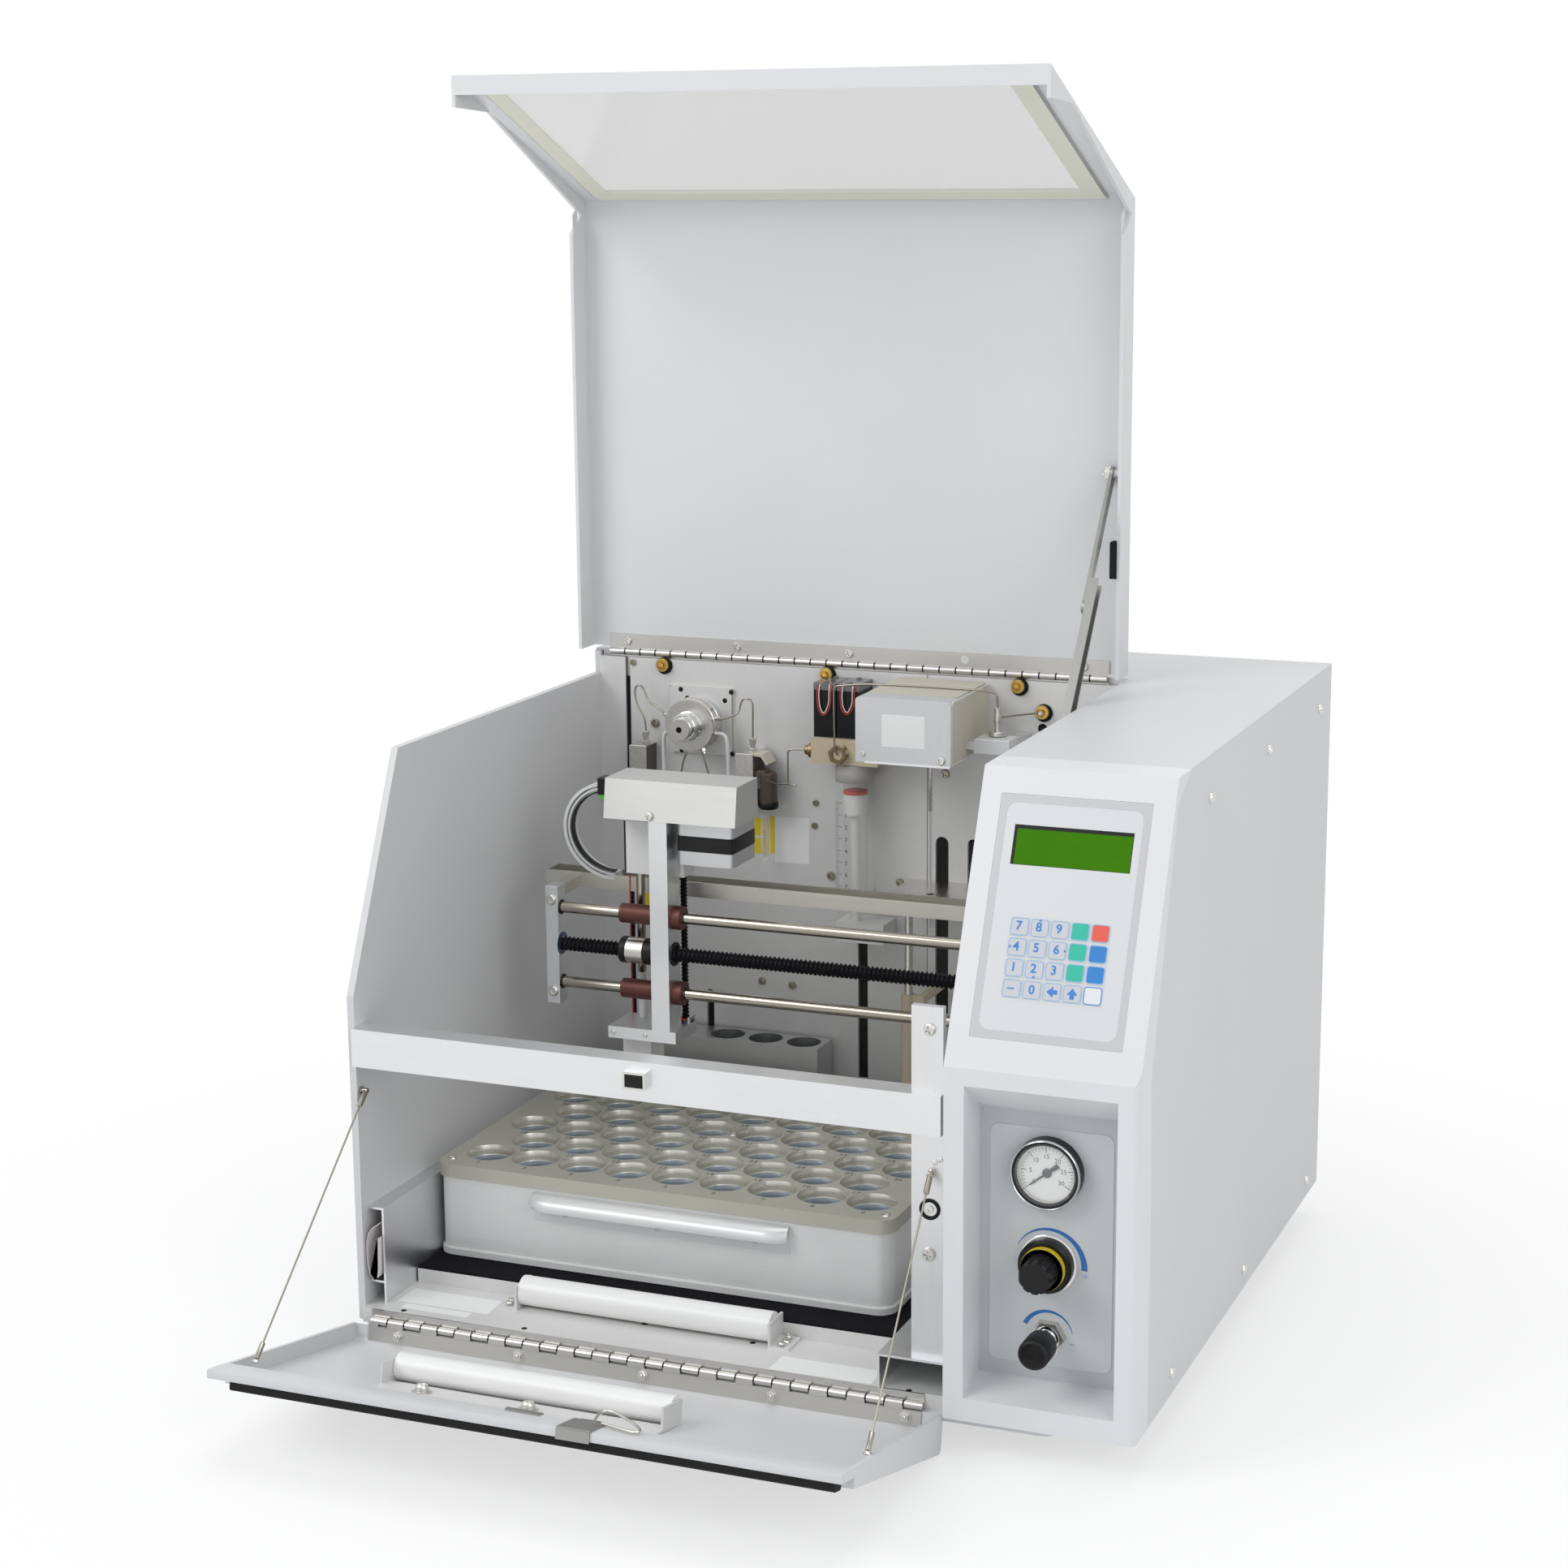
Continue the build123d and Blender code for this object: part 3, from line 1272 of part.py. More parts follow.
with BuildPart() as frame_hinges:
    leaf_front = -deck_front_reach - leaf_thick
    block((door_leaf_left, door_leaf_right), (leaf_front, -deck_front_reach),
          (door_axis_z + leaf_clear, deck_height))
    for place in range(door_knuckles + 1):
        middle = door_first_knuckle - hinge_pitch / 2 + place * hinge_pitch
        half = hinge_pitch / 4 - running_gap / 2
        block((middle - half, middle + half), (leaf_front, -deck_front_reach),
              (door_axis_z, door_axis_z + leaf_clear + sheet))
    knuckle_row(door_first_knuckle - hinge_pitch / 2, door_knuckles + 1, door_axis_y, door_axis_z, Mode.ADD)
    pin_left = door_first_knuckle - hinge_pitch / 2
    bar((pin_left, door_axis_y, door_axis_z),
        (pin_left + hinge_pitch * door_knuckles, door_axis_y, door_axis_z), hinge_pin)
    block((lid_leaf_left, lid_leaf_right), (wall_rear, wall_rear + leaf_thick),
          (skirt_low, lid_axis_z - leaf_clear + running_gap))
    for place in range(lid_knuckles + 1):
        middle = lid_first_knuckle - hinge_pitch / 2 + place * hinge_pitch
        half = hinge_pitch / 4 - running_gap / 2
        block((middle - half, middle + half), (wall_rear, wall_rear + leaf_thick),
              (lid_axis_z - leaf_clear - sheet, lid_axis_z))
    knuckle_row(lid_first_knuckle - hinge_pitch / 2, lid_knuckles + 1, lid_axis_y, lid_axis_z, Mode.ADD)
    pin_left = lid_first_knuckle - hinge_pitch / 2
    bar((pin_left, lid_axis_y, lid_axis_z),
        (pin_left + hinge_pitch * lid_knuckles, lid_axis_y, lid_axis_z), hinge_pin)
frame_hinges.part.label = "frame_hinges"
export_step(frame_hinges.part, "parts/frame_hinges.step")

with BuildPart() as stay_channel:
    channel_plane = Plane(origin=at(stay_slab, pivot_y, pivot_z), x_dir=link_up, z_dir=(1, 0, 0))
    channel_length = stay_lower + stay_channel_end
    half_channel = stay_channel_width / 2
    with BuildSketch(channel_plane):
        with Locations((channel_length / 2, 0)):
            Rectangle(channel_length, stay_channel_width)
        Circle(half_channel)
    extrude(amount=stay_channel_depth)
    with BuildSketch(channel_plane.offset(stay_channel_wall)):
        with Locations((channel_length / 2, 0)):
            Rectangle(channel_length + stay_channel_width * 2, stay_channel_width - stay_channel_wall * 2)
    extrude(amount=stay_channel_depth, mode=Mode.SUBTRACT)
    with BuildSketch(channel_plane):
        Circle(stay_stud_radius + slip)
    extrude(amount=stay_channel_depth, mode=Mode.SUBTRACT)
stay_channel.part.label = "stay_channel"
export_step(stay_channel.part, "parts/stay_channel.step")

with BuildPart() as stay_bar:
    bar_plane = Plane(origin=at(stay_slab - running_gap - stay_bar_thick, stud_y, stud_z), x_dir=link_up,
                      z_dir=(1, 0, 0))
    with BuildSketch(bar_plane):
        with Locations((-stay_upper / 2, 0)):
            Rectangle(stay_upper, stay_bar_width)
        with Locations((0, 0), (-stay_upper, 0)):
            Circle(stay_eye)
        with Locations((0, 0), (-stay_upper, 0)):
            Circle(stay_stud_radius + slip, mode=Mode.SUBTRACT)
    extrude(amount=stay_bar_thick)
stay_bar.part.label = "stay_bar"
export_step(stay_bar.part, "parts/stay_bar.step")

rod_y = gantry_front + gantry_plate_deep / 2
gantry_left_face = gantry_left + gantry_plate_wide
gantry_rear = gantry_front + gantry_plate_deep
journal = screw_radius - sheet
with BuildPart() as gantry_frame:
    shoe_low = rail_low - shoe_wall
    shoe_high = rail_low + rail_height + shoe_wall
    gantry_end = gantry_right + gantry_plate_wide
    block((gantry_left, gantry_left_face), (gantry_front, gantry_rear), (gantry_low, gantry_high))
    block((gantry_right, gantry_end), (gantry_front, gantry_rear), (shoe_low, gantry_high))
    block((gantry_right, tower_x - running_gap * 2), (gantry_front, gantry_front + shoe_depth),
          (shoe_low, shoe_high))
    block((rail_left - running_gap, tower_x + overrun), (gantry_front - overrun, rear_y),
          (rail_low - running_gap, rail_low + rail_height + running_gap), mode=Mode.SUBTRACT)
    block((gantry_right - x_motor_length, gantry_right),
          (gantry_rear + running_gap, gantry_rear + x_motor_side),
          (screw_height - x_motor_side / 2, screw_height + x_motor_side / 2))
    block((gantry_right - sheet, gantry_end), (gantry_rear, gantry_rear + x_motor_side),
          (screw_height - x_motor_side / 2, screw_height + x_motor_side / 2))
    for plate_x in (gantry_left, gantry_right):
        bar((plate_x - overrun, rod_y, screw_height),
            (plate_x + gantry_plate_wide + overrun, rod_y, screw_height),
            journal + slip, mode=Mode.SUBTRACT)
        for rod_z in (rod_low, rod_high):
            bar((plate_x, rod_y, rod_z), (plate_x + gantry_plate_wide, rod_y, rod_z), rod_radius,
                mode=Mode.SUBTRACT)
    block((cable_channel_left, gantry_end),
          (cable_channel_front, cable_channel_front + cable_channel_depth),
          (cable_channel_low, cable_channel_high))
    block((cable_channel_left + sheet, gantry_end - sheet),
          (cable_channel_front + sheet, cable_channel_front + cable_channel_depth - sheet),
          (cable_channel_low + sheet, cable_channel_high + overrun), mode=Mode.SUBTRACT)
    for tab_x in (gantry_left, gantry_right):
        block((tab_x, tab_x + gantry_plate_wide), (gantry_front, cable_channel_front),
              (cable_channel_low, gantry_high))
gantry_frame.part.label = "gantry_frame"
export_step(gantry_frame.part, "parts/gantry_frame.step")

with BuildPart() as gantry_rods:
    for rod_z in (rod_low, rod_high):
        bar((gantry_left, rod_y, rod_z), (gantry_end, rod_y, rod_z), rod_radius)
gantry_rods.part.label = "gantry_rods"
export_step(gantry_rods.part, "parts/gantry_rods.step")

with BuildPart() as x_leadscrew:
    bar((gantry_left, rod_y, screw_height), (gantry_end, rod_y, screw_height), journal)
    bar((gantry_left_face + running_gap, rod_y, screw_height),
        (gantry_right - sheet - running_gap, rod_y, screw_height), screw_radius)
x_leadscrew.part.label = "x_leadscrew"
export_step(x_leadscrew.part, "parts/x_leadscrew.step")

with BuildPart() as carriage_frame:
    block((upright_left, upright_right), (upright_front, upright_front + upright_deep),
          (base_high, top_box_low))
    block((base_left, base_right), (upright_front, upright_front + base_deep), (base_low, base_high))
    for rod_z in (rod_low, rod_high):
        bar((upright_left - overrun, rod_y, rod_z), (upright_right + overrun, rod_y, rod_z), bush_radius,
            mode=Mode.SUBTRACT)
    bar((upright_left - overrun, rod_y, screw_height), (upright_right + overrun, rod_y, screw_height),
        screw_radius + running_gap * 2, mode=Mode.SUBTRACT)
    bar((gripper_x, z_screw_y, base_low - overrun), (gripper_x, z_screw_y, base_high + overrun),
        gripper_shaft + slip, mode=Mode.SUBTRACT)
    bar((z_screw_x, z_screw_y, base_high - base_thick / 2), (z_screw_x, z_screw_y, base_high + overrun),
        z_screw_radius - running_gap * 2 + slip, mode=Mode.SUBTRACT)
carriage_frame.part.label = "carriage_frame"
export_step(carriage_frame.part, "parts/carriage_frame.step")

with BuildPart() as carriage_bearings:
    for rod_z in (rod_low, rod_high):
        bar((bush_left, rod_y, rod_z), (upright_right + flange_bush_length, rod_y, rod_z), bush_radius)
        bar((upright_right, rod_y, rod_z), (upright_right + flange_bush_length, rod_y, rod_z),
            flange_bush_radius)
        bar((bush_left - overrun, rod_y, rod_z), (upright_right + overrun * 2, rod_y, rod_z),
            rod_radius + slip, mode=Mode.SUBTRACT)
    bar((bush_left, rod_y, screw_height), (upright_left, rod_y, screw_height), nut_radius)
    bar((bush_left - overrun, rod_y, screw_height), (upright_left + overrun, rod_y, screw_height),
        screw_radius + slip, mode=Mode.SUBTRACT)
carriage_bearings.part.label = "carriage_bearings"
export_step(carriage_bearings.part, "parts/carriage_bearings.step")

with BuildPart() as carriage_head:
    with BuildSketch(side_plane(top_box_left)):
        Polygon((top_box_front, top_box_low), (top_box_front + top_box_slope, top_box_high),
                (top_box_front + top_box_deep, top_box_high), (top_box_front + top_box_deep, top_box_low))
    extrude(amount=top_box_right - top_box_left)
    bar((z_screw_x, z_screw_y, top_box_low - overrun), (z_screw_x, z_screw_y, top_box_low + overrun),
        z_screw_radius + slip, mode=Mode.SUBTRACT)
    bar((gripper_x, z_screw_y, top_box_low - overrun), (gripper_x, z_screw_y, top_box_low + overrun),
        gripper_shaft + slip, mode=Mode.SUBTRACT)
carriage_head.part.label = "carriage_head"
export_step(carriage_head.part, "parts/carriage_head.step")

with BuildPart() as z_motor:
    motor_left = z_block_right + running_gap * 3
    motor_front = top_box_front + plate * 3
    block((motor_left, motor_left + z_motor_side), (motor_front, motor_front + z_motor_side),
          (top_box_low - z_motor_height, top_box_low))
    chamfer(z_motor.edges().filter_by(Axis.Z), plate)
z_motor.part.label = "z_motor"
export_step(z_motor.part, "parts/z_motor.step")

with BuildPart() as z_screw:
    shaft_top = top_box_low + overrun - running_gap
    bar((z_screw_x, z_screw_y, base_high - base_thick / 2 + running_gap),
        (z_screw_x, z_screw_y, top_box_low), z_screw_radius - running_gap * 2)
    bar((z_screw_x, z_screw_y, base_high + running_gap), (z_screw_x, z_screw_y, shaft_top), z_screw_radius)
z_screw.part.label = "z_screw"
export_step(z_screw.part, "parts/z_screw.step")

with BuildPart() as gripper:
    block((z_block_left, z_block_right), (z_block_front, z_block_front + z_block_deep),
          (z_block_low, z_block_high))
    bar((z_screw_x, z_screw_y, z_block_low - overrun), (z_screw_x, z_screw_y, z_block_high + overrun),
        z_screw_radius + slip, mode=Mode.SUBTRACT)
    bar((gripper_x, z_screw_y, gripper_head_high), (gripper_x, z_screw_y, shaft_top), gripper_shaft)
    half_head = gripper_head_side / 2
    block((gripper_x - half_head, gripper_x + half_head), (z_screw_y - half_head, z_screw_y + half_head),
          (gripper_head_low, gripper_head_high))
    for jaw in (-half_head, half_head - gripper_jaw_thick):
        block((gripper_x + jaw, gripper_x + jaw + gripper_jaw_thick),
              (z_screw_y - half_head, z_screw_y + half_head), (gripper_jaw_low, gripper_head_low))
gripper.part.label = "gripper"
export_step(gripper.part, "parts/gripper.step")

with BuildPart() as ribbon_loop:
    ribbon_front = z_screw_y - ribbon_thick * 2
    ribbon_end = bush_left - bush_radius * 3
    ribbon_high = (top_box_low + top_box_high) / 2
    with BuildSketch(front_plane(ribbon_front)):
        with BuildLine():
            ThreePointArc((top_box_left, ribbon_high), (ribbon_out, (ribbon_high + cable_channel_high) / 2),
                          (ribbon_end, cable_channel_high + ribbon_thick / 2))
        trace(line_width=ribbon_thick)
    extrude(amount=-ribbon_width)
    block((ribbon_end, ribbon_end + ribbon_width),
          (ribbon_front, cable_channel_front + cable_channel_depth / 2),
          (cable_channel_high, cable_channel_high + ribbon_thick))
    block((top_box_left, top_box_left + overrun),
          (ribbon_front - overrun, ribbon_front + ribbon_width + overrun),
          (top_box_low, top_box_high), mode=Mode.SUBTRACT)
    block((ribbon_out, top_box_left), (ribbon_front - overrun, cable_channel_front + cable_channel_depth),
          (cable_channel_low, cable_channel_high), mode=Mode.SUBTRACT)
ribbon_loop.part.label = "ribbon_loop"
export_step(ribbon_loop.part, "parts/ribbon_loop.step")

with BuildPart() as rotary_valve:
    half_plate = valve_plate / 2
    block((valve_x - half_plate, valve_x + half_plate), (wall_y - plate, wall_y),
          (valve_z - half_plate, valve_z + half_plate))
    disc_rear = valve_disc_thick - valve_disc_front
    turned(valve_x, wall_y - plate, valve_z,
           ((0, 0), (valve_body_radius, 0), (valve_body_radius, -plate * 2),
            (valve_flange_radius, -plate * 2), (valve_flange_radius, disc_rear),
            (valve_disc_radius, disc_rear), (valve_disc_radius, -valve_disc_front),
            (valve_nose_radius, -valve_disc_front), (valve_nose_end_radius, -valve_nose_front),
            (valve_bore, -valve_nose_front), (valve_bore, -valve_disc_front), (0, -valve_disc_front)))
rotary_valve.part.label = "rotary_valve"
export_step(rotary_valve.part, "parts/rotary_valve.step")

with BuildPart() as gas_fittings:
    gas_front = wall_y - gas_depth
    block((gas_left_x, gas_left_x + gas_left_width), (gas_front, wall_y), (gas_low, gas_left_high))
    block((gas_right_x, gas_right_x + gas_right_width), (gas_front, wall_y), (gas_low, gas_right_high))
    gas_left_mid = gas_left_x + gas_left_width / 2
    gas_right_mid = gas_right_x + gas_right_width / 2
    gas_mid_y = (gas_front + wall_y) / 2
    for fitting_x, block_top in ((gas_left_mid, gas_left_high), (gas_right_mid, gas_right_high)):
        bar((fitting_x, gas_mid_y, block_top), (fitting_x, gas_mid_y, block_top + gas_knob_length),
            gas_knob_radius / 2)
    bar((gas_right_mid, gas_front - gas_knob_length, gas_low + gas_knob_radius),
        (gas_right_mid, gas_front, gas_low + gas_knob_radius), gas_knob_radius)
gas_fittings.part.label = "gas_fittings"
export_step(gas_fittings.part, "parts/gas_fittings.step")

with BuildPart() as valve_manifold:
    for place in range(solenoid_count):
        coil_left = solenoid_left + place * (solenoid_width + solenoid_gap)
        block((coil_left, coil_left + solenoid_width), (wall_y - solenoid_depth, wall_y),
              (solenoid_low, solenoid_high))
    manifold_front = wall_y - manifold_depth
    manifold_mid_z = (manifold_low + solenoid_low) / 2
    block((manifold_left, manifold_left + manifold_width), (manifold_front, wall_y),
          (manifold_low, solenoid_low))
    with BuildSketch(front_plane(manifold_front)):
        with Locations((syringe_x - manifold_port, manifold_mid_z)):
            RegularPolygon(manifold_port, hex_sides)
    extrude(amount=manifold_port_length)
    bar((manifold_left - manifold_port, syringe_y, manifold_mid_z),
        (manifold_left, syringe_y, manifold_mid_z), manifold_port / 2)
valve_manifold.part.label = "valve_manifold"
export_step(valve_manifold.part, "parts/valve_manifold.step")

with BuildPart() as syringe_barrel:
    bar((syringe_x, syringe_y, syringe_low), (syringe_x, syringe_y, syringe_high), syringe_radius)
    bar((syringe_x, syringe_y, syringe_high), (syringe_x, syringe_y, manifold_low), syringe_cap_radius)
    bar((syringe_x, syringe_y, syringe_low - overrun), (syringe_x, syringe_y, syringe_high), syringe_bore,
        mode=Mode.SUBTRACT)
    lug_front = syringe_y + syringe_radius * syringe_lug_share
    for lug in ((-syringe_bore, -plunger_rod * 2), (plunger_rod * 2, syringe_bore)):
        block([syringe_x + edge for edge in lug], (lug_front, wall_y),
              (syringe_low, syringe_low + plunger_bracket_height))
syringe_barrel.part.label = "syringe_barrel"
export_step(syringe_barrel.part, "parts/syringe_barrel.step")

with BuildPart() as syringe_plunger:
    arm_mid_z = plunger_bracket_low + plunger_bracket_height / 2
    bar((syringe_x, syringe_y, plunger_seal_low),
        (syringe_x, syringe_y, plunger_seal_low + plunger_seal_height), syringe_bore - slip)
    bar((syringe_x, syringe_y, plunger_bracket_low), (syringe_x, syringe_y, plunger_seal_low), plunger_rod)
    block((plunger_bracket_left, plunger_bracket_left + plunger_bracket_width),
          (syringe_y - plunger_rod * 2, wall_y - running_gap),
          (plunger_bracket_low, plunger_bracket_low + plunger_bracket_height))
    block((plunger_slot_x - plunger_arm_width / 2, plunger_slot_x + plunger_arm_width / 2),
          (syringe_y, wall_rear + plate),
          (arm_mid_z - plunger_arm_height / 2, arm_mid_z + plunger_arm_height / 2))
syringe_plunger.part.label = "syringe_plunger"
export_step(syringe_plunger.part, "parts/syringe_plunger.step")

with BuildPart() as heater_box:
    block((heater_left, heater_left + heater_width), (heater_front, wall_y), (heater_low, heater_high))
    fillet(heater_box.edges().filter_by(Axis.Y).group_by(Axis.Z)[-1], heater_round)
    bar((needle_x, needle_y, needle_tip), (needle_x, needle_y, heater_low), needle_radius)
    bar((needle_x, needle_y, heater_low - needle_plate_thick), (needle_x, needle_y, heater_low), needle_hole)
heater_box.part.label = "heater_box"
export_step(heater_box.part, "parts/heater_box.step")

with BuildPart() as lift_column:
    needle_plate_high = needle_plate_low + needle_plate_thick
    block((needle_plate_left, needle_plate_left + needle_plate_width), (needle_plate_front, wall_y),
          (needle_plate_low, needle_plate_high))
    bar((needle_x, needle_y, needle_plate_low - overrun), (needle_x, needle_y, needle_plate_high + overrun),
        needle_hole, mode=Mode.SUBTRACT)
    bar((lift_rod_x, lift_rod_y, deck_height), (lift_rod_x, lift_rod_y, needle_plate_low), lift_rod_radius)
lift_column.part.label = "lift_column"
export_step(lift_column.part, "parts/lift_column.step")

with BuildPart() as lift_cup:
    ring_high = lift_ring_low + lift_ring_height
    bar((lift_rod_x, lift_rod_y, lift_ring_low), (lift_rod_x, lift_rod_y, lift_sleeve_high),
        lift_sleeve_radius)
    bar((lift_ring_x, needle_y, lift_ring_low), (lift_ring_x, needle_y, ring_high), lift_ring_radius)
    block((lift_rod_x, lift_ring_x), (lift_rod_y - lift_rod_radius, lift_rod_y + lift_rod_radius),
          (lift_ring_low, ring_high))
    arm_low = lift_sleeve_high - plunger_arm_height
    block((lift_slot_x - plunger_arm_width / 2, lift_slot_x + plunger_arm_width / 2),
          (lift_rod_y, wall_rear + plate), (arm_low, lift_sleeve_high))
    block((lift_rod_x, lift_slot_x + plunger_arm_width / 2),
          (lift_rod_y - lift_rod_radius, lift_rod_y + lift_rod_radius), (arm_low, lift_sleeve_high))
    bar((lift_ring_x, needle_y, lift_ring_low + sheet), (lift_ring_x, needle_y, ring_high + overrun),
        lift_ring_bore, mode=Mode.SUBTRACT)
    bar((lift_rod_x, lift_rod_y, lift_ring_low - overrun),
        (lift_rod_x, lift_rod_y, lift_sleeve_high + overrun), lift_rod_radius + slip, mode=Mode.SUBTRACT)
lift_cup.part.label = "lift_cup"
export_step(lift_cup.part, "parts/lift_cup.step")
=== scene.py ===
# %% [markdown]
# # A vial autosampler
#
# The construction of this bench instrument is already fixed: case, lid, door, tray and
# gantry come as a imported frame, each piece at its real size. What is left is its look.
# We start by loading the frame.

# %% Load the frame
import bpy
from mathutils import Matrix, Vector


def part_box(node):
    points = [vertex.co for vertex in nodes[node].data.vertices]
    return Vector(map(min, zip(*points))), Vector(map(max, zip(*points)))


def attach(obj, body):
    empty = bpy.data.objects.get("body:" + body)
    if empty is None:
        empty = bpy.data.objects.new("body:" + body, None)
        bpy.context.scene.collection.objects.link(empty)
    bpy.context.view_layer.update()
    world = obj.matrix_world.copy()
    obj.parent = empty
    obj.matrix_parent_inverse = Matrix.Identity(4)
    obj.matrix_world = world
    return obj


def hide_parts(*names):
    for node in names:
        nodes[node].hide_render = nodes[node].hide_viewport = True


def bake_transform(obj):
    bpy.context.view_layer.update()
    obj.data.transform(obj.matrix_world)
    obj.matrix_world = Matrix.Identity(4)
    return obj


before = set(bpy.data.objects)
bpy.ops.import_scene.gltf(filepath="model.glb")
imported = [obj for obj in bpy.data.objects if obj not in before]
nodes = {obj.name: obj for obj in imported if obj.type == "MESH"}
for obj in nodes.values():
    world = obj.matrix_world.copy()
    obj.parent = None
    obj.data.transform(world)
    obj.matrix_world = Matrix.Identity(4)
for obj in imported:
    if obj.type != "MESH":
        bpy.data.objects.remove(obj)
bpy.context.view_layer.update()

import math

import bmesh
import bpy
from mathutils import Matrix, Vector

print("pieces in the frame:", len(nodes))

# %% [markdown]
# Sizes on this object were measured in millimetres from one corner: the bottom front edge
# of the left side panel. A small function turns such a measure into a place in the scene.
# Reading the corner from the frame keeps every piece tied to the construction.

# %% Measure from the case's corner
case_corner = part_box("left_side_panel")[0]


def spot(x, y, z):
    """A place in the scene, from millimetres right, back and up of the case's corner."""
    return case_corner + Vector((x, y, z)) / 1000


print("the corner stands at", [round(value, 4) for value in case_corner])

# %% [markdown]
# The camera stands where the photographer stood: to the right of the object and a little
# above it, with a long lens. Its turn, its tilt and a slight roll are three simple
# rotations, so they are written as such instead of as one opaque matrix.

# %% Set up the camera
scene = bpy.context.scene


def add_object(name, data):
    """A new object in the scene."""
    made = bpy.data.objects.new(name, data)
    scene.collection.objects.link(made)
    return made


view_turn = math.radians(22.2196)
view_tilt = math.radians(11.9338)
view_roll = math.radians(-0.5023)
lens = bpy.data.cameras.new("camera")
lens.lens = 68.305
lens.sensor_width = 36
lens.clip_start = 0.05
lens.clip_end = 60
camera = add_object("camera", lens)
camera.matrix_world = (Matrix.Translation(spot(987.594, -1648.368, 769.119))
                       @ Matrix.Rotation(view_turn, 4, "Z")
                       @ Matrix.Rotation(math.pi / 2 - view_tilt, 4, "X")
                       @ Matrix.Rotation(view_roll, 4, "Z"))
scene.camera = camera

# %% [markdown]
# A product shot on white needs very even light. Three large soft lamps give the sheet
# metal its gentle shading, and the world fills the shadows. The world looks white to the
# camera and to mirrors, but it lights the object at a lower strength, so that the pale
# paint keeps its tone.

# %% Light the studio
scene.view_settings.view_transform = "Standard"


def lamp(name, place, aim, size, power):
    """A square soft lamp that faces a point."""
    light = bpy.data.lights.new(name, "AREA")
    light.size = size
    light.energy = power
    holder = add_object(name, light)
    holder.location = place
    holder.rotation_euler = (Vector(aim) - Vector(place)).to_track_quat("-Z", "Y").to_euler()


lamp("key_lamp", (-1.7, -1.9, 2.3), (0, 0, 0.35), 1.6, 34)
lamp("fill_lamp", (2.3, -1.5, 1.6), (0, 0, 0.3), 1.8, 16)
lamp("top_lamp", (0.1, 0.4, 2.9), (0, 0, 0.3), 1.8, 22)

world = bpy.data.worlds.new("studio")
world.use_nodes = True
scene.world = world
sky = world.node_tree
sky.nodes.clear()
seen = sky.nodes.new("ShaderNodeBackground")
seen.inputs["Color"].default_value = (1, 1, 1, 1)
lighting = sky.nodes.new("ShaderNodeBackground")
lighting.inputs["Color"].default_value = (0.94, 0.97, 1, 1)
lighting.inputs["Strength"].default_value = 0.52
ray = sky.nodes.new("ShaderNodeLightPath")
glossy_or_seen = sky.nodes.new("ShaderNodeMath")
glossy_or_seen.operation = "MAXIMUM"
sky.links.new(ray.outputs["Is Camera Ray"], glossy_or_seen.inputs[0])
sky.links.new(ray.outputs["Is Glossy Ray"], glossy_or_seen.inputs[1])
white_rays = sky.nodes.new("ShaderNodeMath")
white_rays.operation = "MAXIMUM"
sky.links.new(glossy_or_seen.outputs[0], white_rays.inputs[0])
sky.links.new(ray.outputs["Is Transmission Ray"], white_rays.inputs[1])
choose = sky.nodes.new("ShaderNodeMixShader")
sky.links.new(white_rays.outputs[0], choose.inputs[0])
sky.links.new(lighting.outputs[0], choose.inputs[1])
sky.links.new(seen.outputs[0], choose.inputs[2])
sky_end = sky.nodes.new("ShaderNodeOutputWorld")
sky.links.new(choose.outputs[0], sky_end.inputs["Surface"])

# %% [markdown]
# Every finish below is made of shader nodes. Wiring them by hand hides the sums that they
# stand for, so a small class wraps one output and lets Python's own signs build the
# nodes: `1 - mask * 0.3` reads like the sum it is.

# %% Write shader sums as Python
class Value:
    """One output of a shader node."""

    def __init__(self, finish, output):
        self.finish = finish
        self.output = output

    def sum(self, operation, first, second):
        return self.finish.node("ShaderNodeMath", {"operation": operation}, first, second)

    def __add__(self, other):
        return self.sum("ADD", self, other)

    def __radd__(self, other):
        return self.sum("ADD", other, self)

    def __sub__(self, other):
        return self.sum("SUBTRACT", self, other)

    def __rsub__(self, other):
        return self.sum("SUBTRACT", other, self)

    def __mul__(self, other):
        return self.sum("MULTIPLY", self, other)

    def __rmul__(self, other):
        return self.sum("MULTIPLY", other, self)

    def part(self, name):
        """Another output of the same node."""
        return Value(self.finish, self.output.node.outputs[name])


